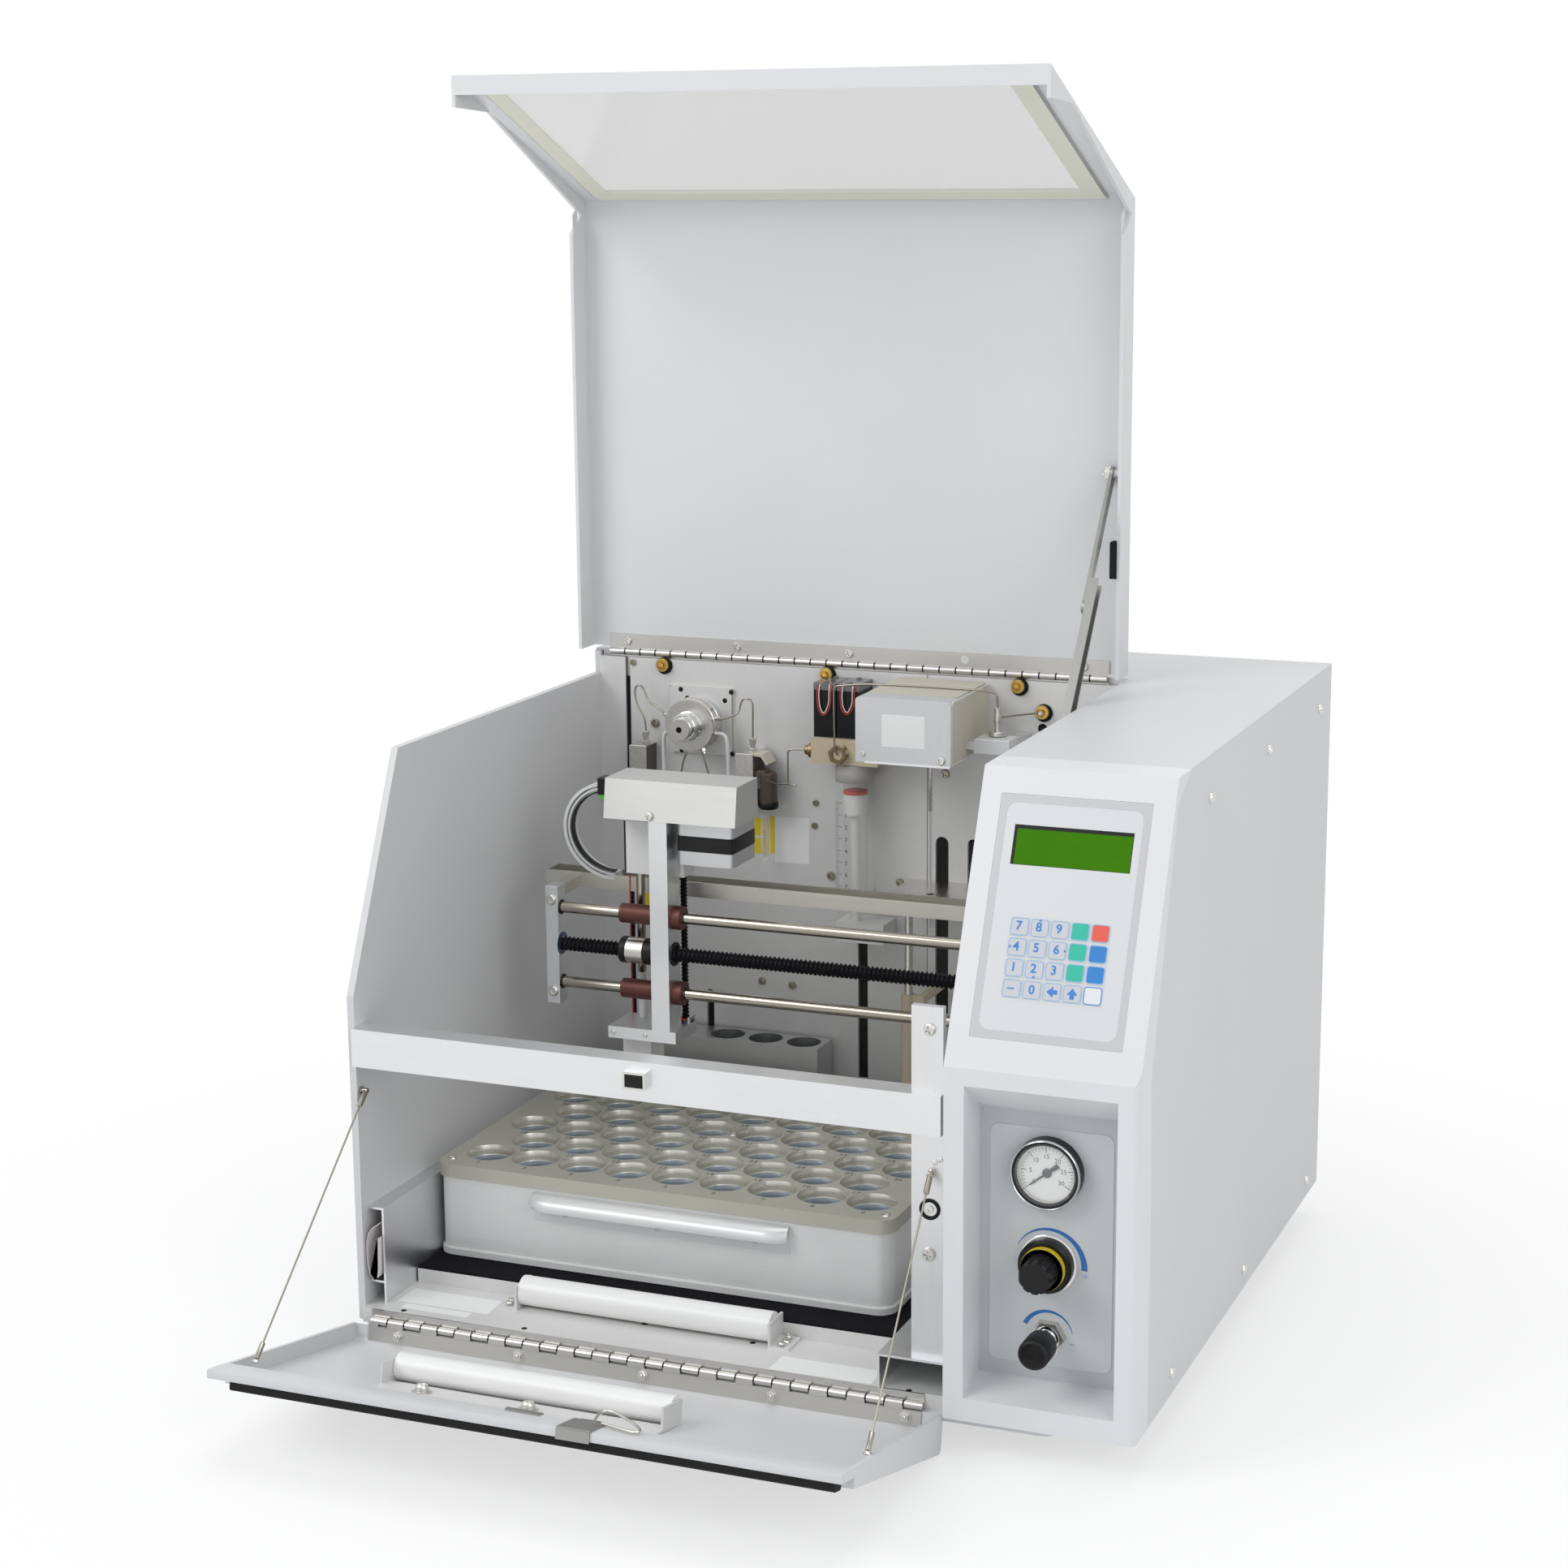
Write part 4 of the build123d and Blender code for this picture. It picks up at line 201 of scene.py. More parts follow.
class Finish:
    """A material under construction, around one Principled shader."""

    def __init__(self, name, **constants):
        self.material = bpy.data.materials.new(name)
        self.material.use_nodes = True
        self.tree = self.material.node_tree
        self.shader = self.tree.nodes["Principled BSDF"]
        for socket, value in constants.items():
            self.shader.inputs[socket.replace("_", " ")].default_value = value

    def node(self, kind, settings, *values, **named):
        """Adds a node: its settings first, then its inputs in order or by name."""
        made = self.tree.nodes.new(kind)
        for key, value in settings.items():
            if key == "stops":
                for index, (place, colour) in enumerate(value):
                    stop = (made.color_ramp.elements[index] if index < 2
                            else made.color_ramp.elements.new(place))
                    stop.position = place
                    stop.color = colour
            else:
                setattr(made, key, value)
        pairs = list(enumerate(values)) + [(key.replace("_", " "), value) for key, value in named.items()]
        for key, value in pairs:
            self.fill(made.inputs[key], value)
        return Value(self, next(output for output in made.outputs if output.enabled))

    def fill(self, socket, value):
        if isinstance(value, Value):
            self.tree.links.new(value.output, socket)
        else:
            socket.default_value = value

    def feed(self, **inputs):
        """Feeds the shader's own sockets."""
        for key, value in inputs.items():
            self.fill(self.shader.inputs[key.replace("_", " ")], value)
        return self

    def place(self, scale=(1, 1, 1)):
        """Object coordinates, stretched."""
        here = self.node("ShaderNodeTexCoord", {}).part("Object")
        return self.node("ShaderNodeMapping", {}, here, (0, 0, 0), (0, 0, 0), scale)

    def noise(self, size, scale=(1, 1, 1), detail=3.0):
        """Noise from 0 to 1 whose blots are about size metres wide."""
        return self.node("ShaderNodeTexNoise", {"noise_dimensions": "3D"}, Vector=self.place(scale),
                         Scale=1 / size, Detail=detail, Roughness=0.6)

    def blend(self, factor, low, high):
        """A colour between two colours."""
        made = self.tree.nodes.new("ShaderNodeMix")
        made.data_type = "RGBA"
        self.fill(made.inputs["Factor"], factor)
        for socket, value in ((made.inputs[6], low), (made.inputs[7], high)):
            self.fill(socket, value if isinstance(value, Value) else (*value, 1)[:4])
        return Value(self, made.outputs[2])

    def bump(self, height, strength, distance):
        """A surface raised by a value."""
        return self.node("ShaderNodeBump", {}, Strength=strength, Distance=distance, Height=height)


# %% [markdown]
# The housing is folded sheet steel under a light grey powder coat. Up close such a coat
# is a fine orange peel, and over the length of a panel its tone drifts a little. The
# moulded front of the tower has the same two traits, whiter and finer.

# %% Painted and moulded surfaces
def coated(name, colour, roughness, peel=0.0011, depth=0.00006, drift=0.035, metallic=0.0, shine=0.5):
    """Paint or moulded plastic: fine peel, slow drift in tone, slightly uneven gloss."""
    made = Finish(name, Metallic=metallic, Specular_IOR_Level=shine)
    slow = made.noise(0.16, detail=2.0)
    fine = made.noise(peel, detail=2.0)
    darker = [channel * (1 - drift) for channel in colour]
    lighter = [min(1, channel * (1 + drift)) for channel in colour]
    made.feed(Base_Color=made.blend(slow, darker, lighter),
              Roughness=roughness + fine * 0.10 - 0.05,
              Normal=made.bump(fine, 0.35, depth))
    return made.material


housing_paint = coated("housing_paint", (0.655, 0.655, 0.665), 0.42)
lid_paint = coated("lid_paint", (0.74, 0.745, 0.755), 0.40)
bezel_plastic = coated("bezel_plastic", (0.76, 0.765, 0.775), 0.45, peel=0.0007)
panel_grey = coated("panel_grey", (0.52, 0.54, 0.55), 0.38, peel=0.0006)
panel_field = coated("panel_field", (0.61, 0.63, 0.64), 0.36, peel=0.0006)
# Real black plastic parts, and also painted shade inside the top and left edges of the display window.
black_plastic_and_shade = coated("black_plastic_and_shade", (0.009, 0.009, 0.010), 0.38, peel=0.0006, drift=0.2, shine=0.25)
white_plastic = coated("white_plastic", (0.80, 0.80, 0.78), 0.32, peel=0.002, drift=0.02)
yellow_plastic = coated("yellow_plastic", (0.80, 0.60, 0.02), 0.35, peel=0.0006)
beige_plastic = coated("beige_plastic", (0.62, 0.53, 0.38), 0.40, peel=0.0008)
# Real black rubber parts, and also painted shade: the dark discs in holes and bores, and the strip under the
# door's lip.
black_rubber_and_shade = coated("black_rubber_and_shade", (0.012, 0.012, 0.012), 0.75, peel=0.0006, drift=0.2, shine=0.2)
foot_rubber = coated("foot_rubber", (0.03, 0.03, 0.03), 0.8, peel=0.0009, drift=0.2)
blank_label = coated("blank_label", (0.86, 0.86, 0.855), 0.5, peel=0.003, drift=0.02)
needle_black = coated("needle_black", (0.01, 0.01, 0.01), 0.4, peel=0.0004)
dial_white = coated("dial_white", (0.86, 0.86, 0.84), 0.45, peel=0.002, drift=0.01)
blue_print = coated("blue_print", (0.02, 0.15, 0.45), 0.4, peel=0.0006)

# %% [markdown]
# Most of what shows inside the bay is bare metal. Three traits tell one metal from
# another here: its colour, how sharply it reflects, and the direction of its grain.
# Stretching a noise along one axis turns round specks into the long scratches of a
# brushed surface.

# %% Metals
def metal(name, colour, roughness, grain=(1, 1, 1), grain_size=0.0012, grain_depth=0.00003,
          spread=0.16, stain=0.06, metallic=1.0):
    """Bare or plated metal, with grain along the axis whose scale is small."""
    made = Finish(name, Metallic=metallic)
    scratches = made.noise(grain_size, grain, detail=3.0)
    patches = made.noise(0.05, detail=3.0)
    darker = [channel * (1 - stain * 2) for channel in colour]
    lighter = [min(1, channel * (1 + stain)) for channel in colour]
    made.feed(Base_Color=made.blend(patches * 0.5 + scratches * 0.5, darker, lighter),
              Roughness=roughness + scratches * spread - spread / 2 + patches * 0.08 - 0.04,
              Normal=made.bump(scratches, 0.4, grain_depth))
    return made.material


zinc_plate = metal("zinc_plate", (0.735, 0.732, 0.725), 0.50, grain_size=0.004, stain=0.05, metallic=0.25)
brushed_bar = metal("brushed_bar", (0.80, 0.81, 0.82), 0.34, grain=(0.03, 1, 1), grain_size=0.0010)
brushed_upright = metal("brushed_upright", (0.76, 0.77, 0.78), 0.36, grain=(1, 1, 0.03), grain_size=0.0010)
tray_anodised = metal("tray_anodised", (0.56, 0.55, 0.48), 0.42, grain=(0.05, 1, 1), grain_size=0.0012,
                      metallic=0.35)
tray_sheet = metal("tray_sheet", (0.87, 0.87, 0.865), 0.45, grain=(0.05, 1, 1), grain_size=0.0012,
                   metallic=0.1)
handle_sheet = metal("handle_sheet", (0.76, 0.765, 0.77), 0.36, grain=(0.05, 1, 1), grain_size=0.0012,
                     metallic=0.3)
leaf_steel = metal("leaf_steel", (0.56, 0.55, 0.525), 0.38, grain=(0.06, 1, 1), grain_size=0.0010,
                   metallic=0.8)
head_box = metal("head_box", (0.68, 0.68, 0.67), 0.40, grain=(0.05, 1, 1), grain_size=0.0011)
channel_gold = metal("channel_gold", (0.60, 0.59, 0.54), 0.40, grain=(0.03, 1, 1), grain_size=0.0011)
stainless = metal("stainless", (0.60, 0.59, 0.57), 0.30, grain=(0.06, 1, 1), grain_size=0.0008)
dark_stay = metal("dark_stay", (0.36, 0.36, 0.35), 0.36, grain=(1, 0.3, 0.3), grain_size=0.0009)
polished_steel = metal("polished_steel", (0.40, 0.375, 0.32), 0.17, grain_size=0.002, grain_depth=0.00001,
                       spread=0.05)
machined_steel = metal("machined_steel", (0.66, 0.64, 0.60), 0.28, grain_size=0.0008)
screw_steel = metal("screw_steel", (0.70, 0.69, 0.66), 0.25, grain_size=0.0006)
bronze = metal("bronze", (0.125, 0.046, 0.038), 0.45, grain_size=0.0008, metallic=0.6)
brass = metal("brass", (0.72, 0.50, 0.16), 0.28, grain_size=0.0008)
chrome = metal("chrome", (0.70, 0.71, 0.72), 0.10, grain_size=0.002, grain_depth=0.00001, spread=0.04)
rack_block = metal("rack_block", (0.64, 0.65, 0.66), 0.38, grain=(0.1, 1, 1), grain_size=0.0010)
# Real black metal parts, and also painted shade in the gaps between hinge knuckles.
black_metal_and_shade = metal("black_metal_and_shade", (0.03, 0.03, 0.03), 0.34, grain_size=0.0008)

# %% Clear, glowing and soft surfaces
felt = Finish("felt", Roughness=0.95, Specular_IOR_Level=0.1)
fibres = felt.noise(0.0009, detail=6.0)
felt.feed(Base_Color=felt.blend(fibres, (0.005, 0.005, 0.007), (0.013, 0.013, 0.016)),
          Normal=felt.bump(fibres, 0.7, 0.0004))
felt = felt.material


def clear(name, colour, roughness, alpha, ior=1.49):
    """Clear plastic or glass as one sheet: mostly see-through, with faint marks."""
    made = Finish(name, IOR=ior, Alpha=alpha)
    marks = made.noise(0.02, detail=4.0)
    darker = [channel * 0.96 for channel in colour]
    made.feed(Base_Color=made.blend(marks, darker, colour), Roughness=roughness + marks * 0.06)
    made.material.surface_render_method = "BLENDED"
    return made.material


window_sheet = clear("window_sheet", (0.62, 0.61, 0.60), 0.08, 0.34)
gauge_glass = clear("gauge_glass", (0.95, 0.96, 0.97), 0.02, 0.10)
syringe_glass = clear("syringe_glass", (0.80, 0.81, 0.80), 0.08, 0.07)

lcd_green = Finish("lcd_green", Roughness=0.5, Specular_IOR_Level=0.08)
cells = lcd_green.node("ShaderNodeTexChecker", {}, Vector=lcd_green.place(), Scale=1400.0)
backlight = lcd_green.noise(0.03, detail=1.0)
lcd_green.feed(Base_Color=lcd_green.blend(backlight * 0.8 + cells.part("Fac") * 0.1,
                                          (0.036, 0.17, 0.001), (0.062, 0.24, 0.001)))
lcd_green = lcd_green.material

# %% [markdown]
# Each piece of the frame keeps its own mesh. A finish is laid on by giving the piece one
# material slot. The table below is the finishing schedule of the whole instrument.

# %% Finish the frame's pieces
keypad_film = coated("keypad_film", (0.70, 0.715, 0.725), 0.30, peel=0.0008)
roller_white = coated("roller_white", (0.87, 0.87, 0.855), 0.34, peel=0.002, drift=0.02)
heater_sheet = metal("heater_sheet", (0.63, 0.635, 0.65), 0.36, grain=(1, 1, 0.05), grain_size=0.0010,
                     metallic=0.5)
schedule = {
    housing_paint: ["left_side_panel", "rear_panel", "top_cover", "right_side_panel", "door_panel",
                    "base_pan"],
    lid_paint: ["lid_panel"],
    bezel_plastic: ["tower_bezel"],
    panel_field: ["control_panel"],
    keypad_film: ["keypad_panel"],
    lcd_green: ["lcd_window"],
    black_metal_and_shade: ["gauge_case", "x_leadscrew", "regulator_body"],
    gauge_glass: ["gauge_lens"],
    needle_black: ["gauge_needle"],
    black_plastic_and_shade: ["regulator_knob", "flow_knob", "z_motor"],
    machined_steel: ["flow_valve_body", "rotary_valve", "gas_fittings", "lift_column"],
    zinc_plate: ["deck_plate", "door_roller_bracket", "corner_channel", "back_plates", "tower_inner_wall",
                 "tray_platform"],
    brushed_bar: ["crossbar", "side_guides"],
    brushed_upright: ["post_plate", "carriage_frame"],
    channel_gold: ["gantry_frame"],
    tray_anodised: ["tray_top_plate"],
    tray_sheet: ["tray_box", "tray_handle"],
    heater_sheet: ["heater_box"],
    head_box: ["carriage_head"],
    felt: ["tray_mat"],
    white_plastic: ["gripper", "syringe_plunger", "ribbon_loop"],
    roller_white: ["deck_roller", "door_roller"],
    leaf_steel: ["door_hinge_leaf", "lid_hinge_leaf"],
    stainless: ["frame_hinges", "z_screw"],
    dark_stay: ["stay_channel", "stay_bar"],
    polished_steel: ["gantry_rods", "stay_wires"],
    bronze: ["carriage_bearings"],
    rack_block: ["vial_rack"],
    beige_plastic: ["valve_manifold", "lift_cup"],
    syringe_glass: ["syringe_barrel"],
    window_sheet: ["lid_window"],
    foot_rubber: ["rubber_feet"],
}
for finish, names in schedule.items():
    for name in names:
        nodes[name].data.materials.clear()
        nodes[name].data.materials.append(finish)
left_over = sorted(set(nodes) - {name for names in schedule.values() for name in names})
print("pieces without a finish:", left_over)

# %% [markdown]
# The frame has the main solids. What it leaves out are the parts that a fitter adds last:
# screws, tubes, wires, prints and labels. They are all small solids, so one class is
# enough to draw them: it skins rows of rings, and everything from a washer to a key cap is
# a row of rings.

# %% Draw small solids
front = (0, -1, 0)
back = (0, 1, 0)
to_right = (1, 0, 0)
to_left = (-1, 0, 0)
upward = (0, 0, 1)


class Shape:
    """A mesh under construction, in millimetres from the case's corner."""

    def __init__(self):
        self.mesh = bmesh.new()

    def skin(self, rings, slot=0, wrap=False):
        """Faces over rings of equal count: capped at both ends, or wrapped into a hoop."""
        rows = [[self.mesh.verts.new(spot(*point)) for point in ring] for ring in rings]
        for low, high in zip(rows, rows[1:] + rows[:1] if wrap else rows[1:]):
            for index in range(len(low)):
                follow = (index + 1) % len(low)
                self.face((low[index], low[follow], high[follow], high[index]), slot)
        if not wrap:
            self.face(rows[0][::-1], slot)
            self.face(rows[-1], slot)
        return self

    def face(self, corners, slot):
        made = self.mesh.faces.new(corners)
        made.material_index = slot
        made.smooth = True

    def turned(self, start, facing, profile, slot=0, sides=32, wrap=False):
        """A form turned about an axis, from pairs of distance along it and radius."""
        axis = Vector(facing).normalized()
        across = axis.orthogonal().normalized()
        other = axis.cross(across)
        rings = []
        for out, radius in profile:
            turns = [math.tau * step / sides for step in range(sides)]
            rings.append([Vector(start) + axis * out + across * math.cos(turn) * radius
                          + other * math.sin(turn) * radius for turn in turns])
        return self.skin(rings, slot, wrap)

    def block(self, low, high, slot=0, edge=0.0):
        """A block whose top rim is eased by edge."""
        (left, front, base), (right, rear, top) = low, high

        def outline(inset, height):
            return [(left + inset, front + inset, height), (right - inset, front + inset, height),
                    (right - inset, rear - inset, height), (left + inset, rear - inset, height)]

        rings = [outline(0, base), outline(0, top - edge)] + ([outline(edge, top)] if edge else [])
        return self.skin(rings, slot)

    def plate(self, outline, place, depth, slot=0):
        """A flat plate: its outline in two directions, set in space by place(u, v, rise)."""
        return self.skin([[place(u, v, rise) for u, v in outline] for rise in depth], slot)

    def frame(self, outer, inner, place, depth, slot=0):
        """A flat frame between two outlines with equal counts."""
        low, high = depth
        rings = [[place(u, v, low) for u, v in outer], [place(u, v, high) for u, v in outer],
                 [place(u, v, high) for u, v in inner], [place(u, v, low) for u, v in inner]]
        return self.skin(rings, slot, wrap=True)

    def object(self, name, *finishes):
        """Ends the drawing: an object with these finishes."""
        bmesh.ops.recalc_face_normals(self.mesh, faces=self.mesh.faces)
        mesh = bpy.data.meshes.new(name)
        self.mesh.to_mesh(mesh)
        self.mesh.free()
        mesh.set_sharp_from_angle(angle=math.radians(38))
        for finish in finishes:
            mesh.materials.append(finish)
        return add_object(name, mesh)

    def piece(self, name, body, *finishes):
        """Ends the drawing: a piece that moves with a body of the frame."""
        made = self.object(name, *finishes)
        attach(made, body)
        return made


def rounded(left, low, right, high, radius, steps=5):
    """The outline of a rectangle with round corners."""
    corners = ((right - radius, high - radius, 0), (left + radius, high - radius, 1),
               (left + radius, low + radius, 2), (right - radius, low + radius, 3))
    return [(x + radius * math.cos(turn), y + radius * math.sin(turn)) for x, y, quarter in corners
            for turn in [math.pi / 2 * (quarter + step / steps) for step in range(steps + 1)]]


def facing_front(y):
    """Sets a flat drawing on an upright face at depth y, seen from the front."""
    return lambda x, z, rise: (x, y - rise, z)


def lying(z):
    """Sets a flat drawing on a level face at height z, seen from above."""
    return lambda x, y, rise: (x, y, z + rise)


# %% [markdown]
# Tubes and wires are easiest to picture as a list of places where they bend. A NURBS curve
# with a round bevel follows such a list the way a bent tube does, and is then turned into
# plain mesh.

# %% Bend tubes and wires
def plain_mesh(drawn):
    """The plain mesh of a curve, a text or a repeated part, which then goes."""
    bpy.context.view_layer.update()
    mesh = bpy.data.meshes.new_from_object(drawn.evaluated_get(bpy.context.evaluated_depsgraph_get()))
    bpy.data.objects.remove(drawn)
    return mesh


def finished(name, body, mesh, finish):
    """A piece with one finish, from a plain mesh."""
    mesh.name = name
    mesh.materials.clear()
    mesh.materials.append(finish)
    made = add_object(name, mesh)
    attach(made, body)
    return made


def tube(name, body, route, radius, finish, order=3, sides=4):
    """A tube through given places, in millimetres."""
    curve = bpy.data.curves.new(name, "CURVE")
    curve.dimensions = "3D"
    curve.bevel_depth = radius / 1000
    curve.bevel_resolution = sides
    curve.use_fill_caps = True
    curve.resolution_u = 8
    spline = curve.splines.new("NURBS")
    spline.points.add(len(route) - 1)
    for point, place in zip(spline.points, route):
        point.co = (*spot(*place), 1)
    spline.order_u = order
    spline.use_endpoint_u = True
    mesh = plain_mesh(add_object(name + "_curve", curve))
    for polygon in mesh.polygons:
        polygon.use_smooth = True
    return finished(name, body, mesh, finish)


def letters(name, body, words, place, height, finish, bold=0.0, lift=0.12):
    """Words as thin raised print: place(u, v, rise) sets them on their surface."""
    shape = Shape()
    for text, u, v in words:
        font = bpy.data.curves.new(name, "FONT")
        font.body = text
        font.size = height
        font.offset = bold
        font.align_x = "CENTER"
        font.align_y = "CENTER"
        font.resolution_u = 3
        flat = plain_mesh(add_object(name + "_text", font))
        for side in (0, 1):
            corners = [shape.mesh.verts.new(spot(*place(u + vertex.co.x, v + vertex.co.y, lift * side)))
                       for vertex in flat.vertices]
            for polygon in flat.polygons:
                order = list(polygon.vertices)
                shape.face([corners[index] for index in order], 0)
            if side == 0:
                below = corners
        rim = {}
        for polygon in flat.polygons:
            order = list(polygon.vertices)
            for start, end in zip(order, order[1:] + order[:1]):
                rim[(start, end)] = True
        for start, end in rim:
            if (end, start) not in rim:
                shape.face((below[start], below[end], corners[end], corners[start]), 0)
    return shape.piece(name, body, finish)


# %% [markdown]
# Screws, rims and the painted shade of the hinge gaps repeat, so they are drawn once and repeated by Geometry
# Nodes.
# The node group below stands a part on every point of a mesh: the point's own attributes
# say which way it faces and how large it is, and a fixed seed gives each screw its own
# turn, because no fitter lines up screw slots. The result is turned into plain mesh before
# it rides on the frame.

# %% Repeat a part with Geometry Nodes
def repeater():
    """The node group that stands a part on points."""
    tree = bpy.data.node_groups.new("stand_parts_on_points", "GeometryNodeTree")
    sockets = (("Points", "INPUT", "NodeSocketGeometry"), ("Part", "INPUT", "NodeSocketObject"),
               ("Finish", "INPUT", "NodeSocketMaterial"), ("Spin", "INPUT", "NodeSocketFloat"),
               ("Seed", "INPUT", "NodeSocketInt"), ("Parts", "OUTPUT", "NodeSocketGeometry"))
    for name, way, kind in sockets:
        tree.interface.new_socket(name, in_out=way, socket_type=kind)

    def node(kind, **settings):
        made = tree.nodes.new(kind)
        for key, value in settings.items():
            setattr(made, key, value)
        return made

    link = tree.links.new
    start = node("NodeGroupInput")
    end = node("NodeGroupOutput")
    part = node("GeometryNodeObjectInfo", transform_space="ORIGINAL")
    facing = node("GeometryNodeInputNamedAttribute", data_type="FLOAT_VECTOR")
    facing.inputs["Name"].default_value = "facing"
    size = node("GeometryNodeInputNamedAttribute", data_type="FLOAT_VECTOR")
    size.inputs["Name"].default_value = "size"
    aim = node("FunctionNodeAlignRotationToVector", axis="Z")
    chance = node("FunctionNodeRandomValue", data_type="FLOAT")
    spin = node("FunctionNodeAxisAngleToRotation")
    spin.inputs["Axis"].default_value = (0, 0, 1)
    both = node("FunctionNodeRotateRotation", rotation_space="LOCAL")
    stand = node("GeometryNodeInstanceOnPoints")
    solid = node("GeometryNodeRealizeInstances")
    paint = node("GeometryNodeSetMaterial")
    link(start.outputs["Part"], part.inputs["Object"])
    link(facing.outputs["Attribute"], aim.inputs["Vector"])
    link(start.outputs["Seed"], chance.inputs["Seed"])
    link(start.outputs["Spin"], next(s for s in chance.inputs if s.name == "Max" and s.enabled))
    link(next(s for s in chance.outputs if s.enabled), spin.inputs["Angle"])
    link(aim.outputs["Rotation"], both.inputs["Rotation"])
    link(spin.outputs["Rotation"], both.inputs["Rotate By"])
    link(start.outputs["Points"], stand.inputs["Points"])
    link(part.outputs["Geometry"], stand.inputs["Instance"])
    link(both.outputs["Rotation"], stand.inputs["Rotation"])
    link(size.outputs["Attribute"], stand.inputs["Scale"])
    link(stand.outputs["Instances"], solid.inputs["Geometry"])
    link(solid.outputs["Geometry"], paint.inputs["Geometry"])
    link(start.outputs["Finish"], paint.inputs["Material"])
    link(paint.outputs["Geometry"], end.inputs["Parts"])
    return tree


stand_parts = repeater()
turn_seed = 7


def repeat(name, body, part, finish, places, spin=math.tau):
    """Stands a part on (place, facing, size) and gives the result to a body."""
    points = bpy.data.meshes.new(name + "_points")
    points.from_pydata([spot(*place) for place, facing, size in places], [], [])
    ways = points.attributes.new("facing", "FLOAT_VECTOR", "POINT")
    sizes = points.attributes.new("size", "FLOAT_VECTOR", "POINT")
    for index, (place, facing, size) in enumerate(places):
        ways.data[index].vector = facing
        sizes.data[index].vector = size if isinstance(size, tuple) else (size, size, size)
    holder = add_object(name + "_points", points)
    modifier = holder.modifiers.new("repeat", "NODES")
    modifier.node_group = stand_parts
    values = {"Part": part, "Finish": finish, "Spin": spin, "Seed": turn_seed}
    for item in stand_parts.interface.items_tree:
        if item.in_out == "INPUT" and item.name in values:
            modifier[item.identifier] = values[item.name]
    mesh = plain_mesh(holder)
    for polygon in mesh.polygons:
        polygon.material_index = 0
    return finished(name, body, mesh, finish)


def pattern(name, shape):
    """A part that is only drawn to be repeated: about its own origin, then hidden."""
    made = shape.object(name)
    for vertex in made.data.vertices:
        vertex.co -= case_corner
    made.hide_render = True
    made.hide_viewport = True
    return made


# %% [markdown]
# A cross-head screw is a low dome with a plus-shaped pit. Along any direction the pit's
# edge lies either on the end of an arm or on the side of one, so a short formula gives its
# outline at any angle, and the same rings then run from the rim down into the pit.

# %% Draw the screw heads
def cross_reach(turn, arm=0.62, half=0.16):
    """How far a plus-shaped pit reaches from its middle, in one direction."""
    folded = turn % (math.pi / 2)
    folded = min(folded, math.pi / 2 - folded)
    return arm / math.cos(folded) if math.tan(folded) <= half / arm else half / math.sin(folded)


def pit_head(reach, sides=32, dome=0.55, rim=0.18, floor=0.2, taper=0.7):
    """A domed head of radius 1 whose pit has the outline reach(turn)."""
    turns = [math.tau * (step + 0.5) / sides for step in range(sides)]

    def ring(radius, height):
        return [(radius * math.cos(turn), radius * math.sin(turn), height) for turn in turns]

    def pit(share, height):
        return [(reach(turn) * share * math.cos(turn), reach(turn) * share * math.sin(turn), height)
                for turn in turns]

    return Shape().skin([ring(1, 0), ring(1, rim), ring(0.92, rim + (dome - rim) * 0.55),
                         ring(0.78, dome), pit(1, dome), pit(taper, floor)])


cross_head = pattern("cross_head_pattern", pit_head(cross_reach))
socket_head = pattern("socket_head_pattern", pit_head(
    lambda turn: 0.5 * math.cos(math.pi / 6) / math.cos(turn % (math.pi / 3) - math.pi / 6),
    dome=0.6, rim=0.35, taper=0.98))
pin_head = pattern("pin_head_pattern", Shape().turned(
    (0, 0, 0), upward, ((0, 1), (0.3, 1), (0.5, 0.86), (0.62, 0.5), (0.65, 0.1)), sides=20))


def screws(name, body, places):
    """Cross-head screws at (place, facing, size)."""
    repeat(name, body, cross_head, screw_steel, places)


print("patterns drawn: cross, socket and pin heads")

# %% [markdown]
# The tower carries everything that the user touches. The keypad is a printed film over
# raised keys on a slope, so a drawing laid on it needs a small change of directions: along
# the tower's width, up the slope, and out of it.

# %% Lay out the keypad
slope_run, slope_rise = 77, 172
slope_length = math.hypot(slope_run, slope_rise)
shoulder = 228
tower_left = 422
tower_front = -12.3


def on_slope(u, v, rise):
    """A place on the tower's slope: across, up the slope and out of it."""
    up, out = slope_rise / slope_length, slope_run / slope_length
    return (tower_left + u, tower_front + v * out - rise * up, shoulder + v * up + rise * out)


grey_film = coated("grey_key_film", (0.60, 0.61, 0.645), 0.34, peel=0.0006)
band_film = coated("keypad_band", (0.57, 0.58, 0.585), 0.36, peel=0.0006)
line_blue = coated("pale_blue_print", (0.30, 0.47, 0.72), 0.38, peel=0.0006)
digit_blue = coated("blue_digit_print", (0.05, 0.23, 0.62), 0.38, peel=0.0006)
key_green = coated("green_key_film", (0.03, 0.50, 0.36), 0.34, peel=0.0006)
key_red = coated("red_key_film", (0.80, 0.11, 0.07), 0.34, peel=0.0006)
key_blue = coated("blue_key_film", (0.03, 0.22, 0.60), 0.34, peel=0.0006)
key_white = coated("white_key_film", (0.78, 0.80, 0.83), 0.34, peel=0.0006)

panel = (13.9, 20.5, 108.9, 171.0)
Shape().frame(rounded(*panel, 0.9), rounded(18.3, 25.3, 104.6, 166.4, 6), on_slope,
              (-0.2, -0.08)).piece("keypad_border", "case", band_film)
lcd = (24.5, 127.8, 99.9, 152.6)
# A thin black frame inside the display window, widest at the top and left: painted shade where the sunk
# display meets the window's edge.
Shape().frame(rounded(*lcd, 0.3), rounded(lcd[0] + 1.7, lcd[1] + 0.3, lcd[2] - 0.5, lcd[3] - 2.2, 0.3),
              on_slope, (-1.0, -0.9)).piece("lcd_inner_edge", "case", black_plastic_and_shade)

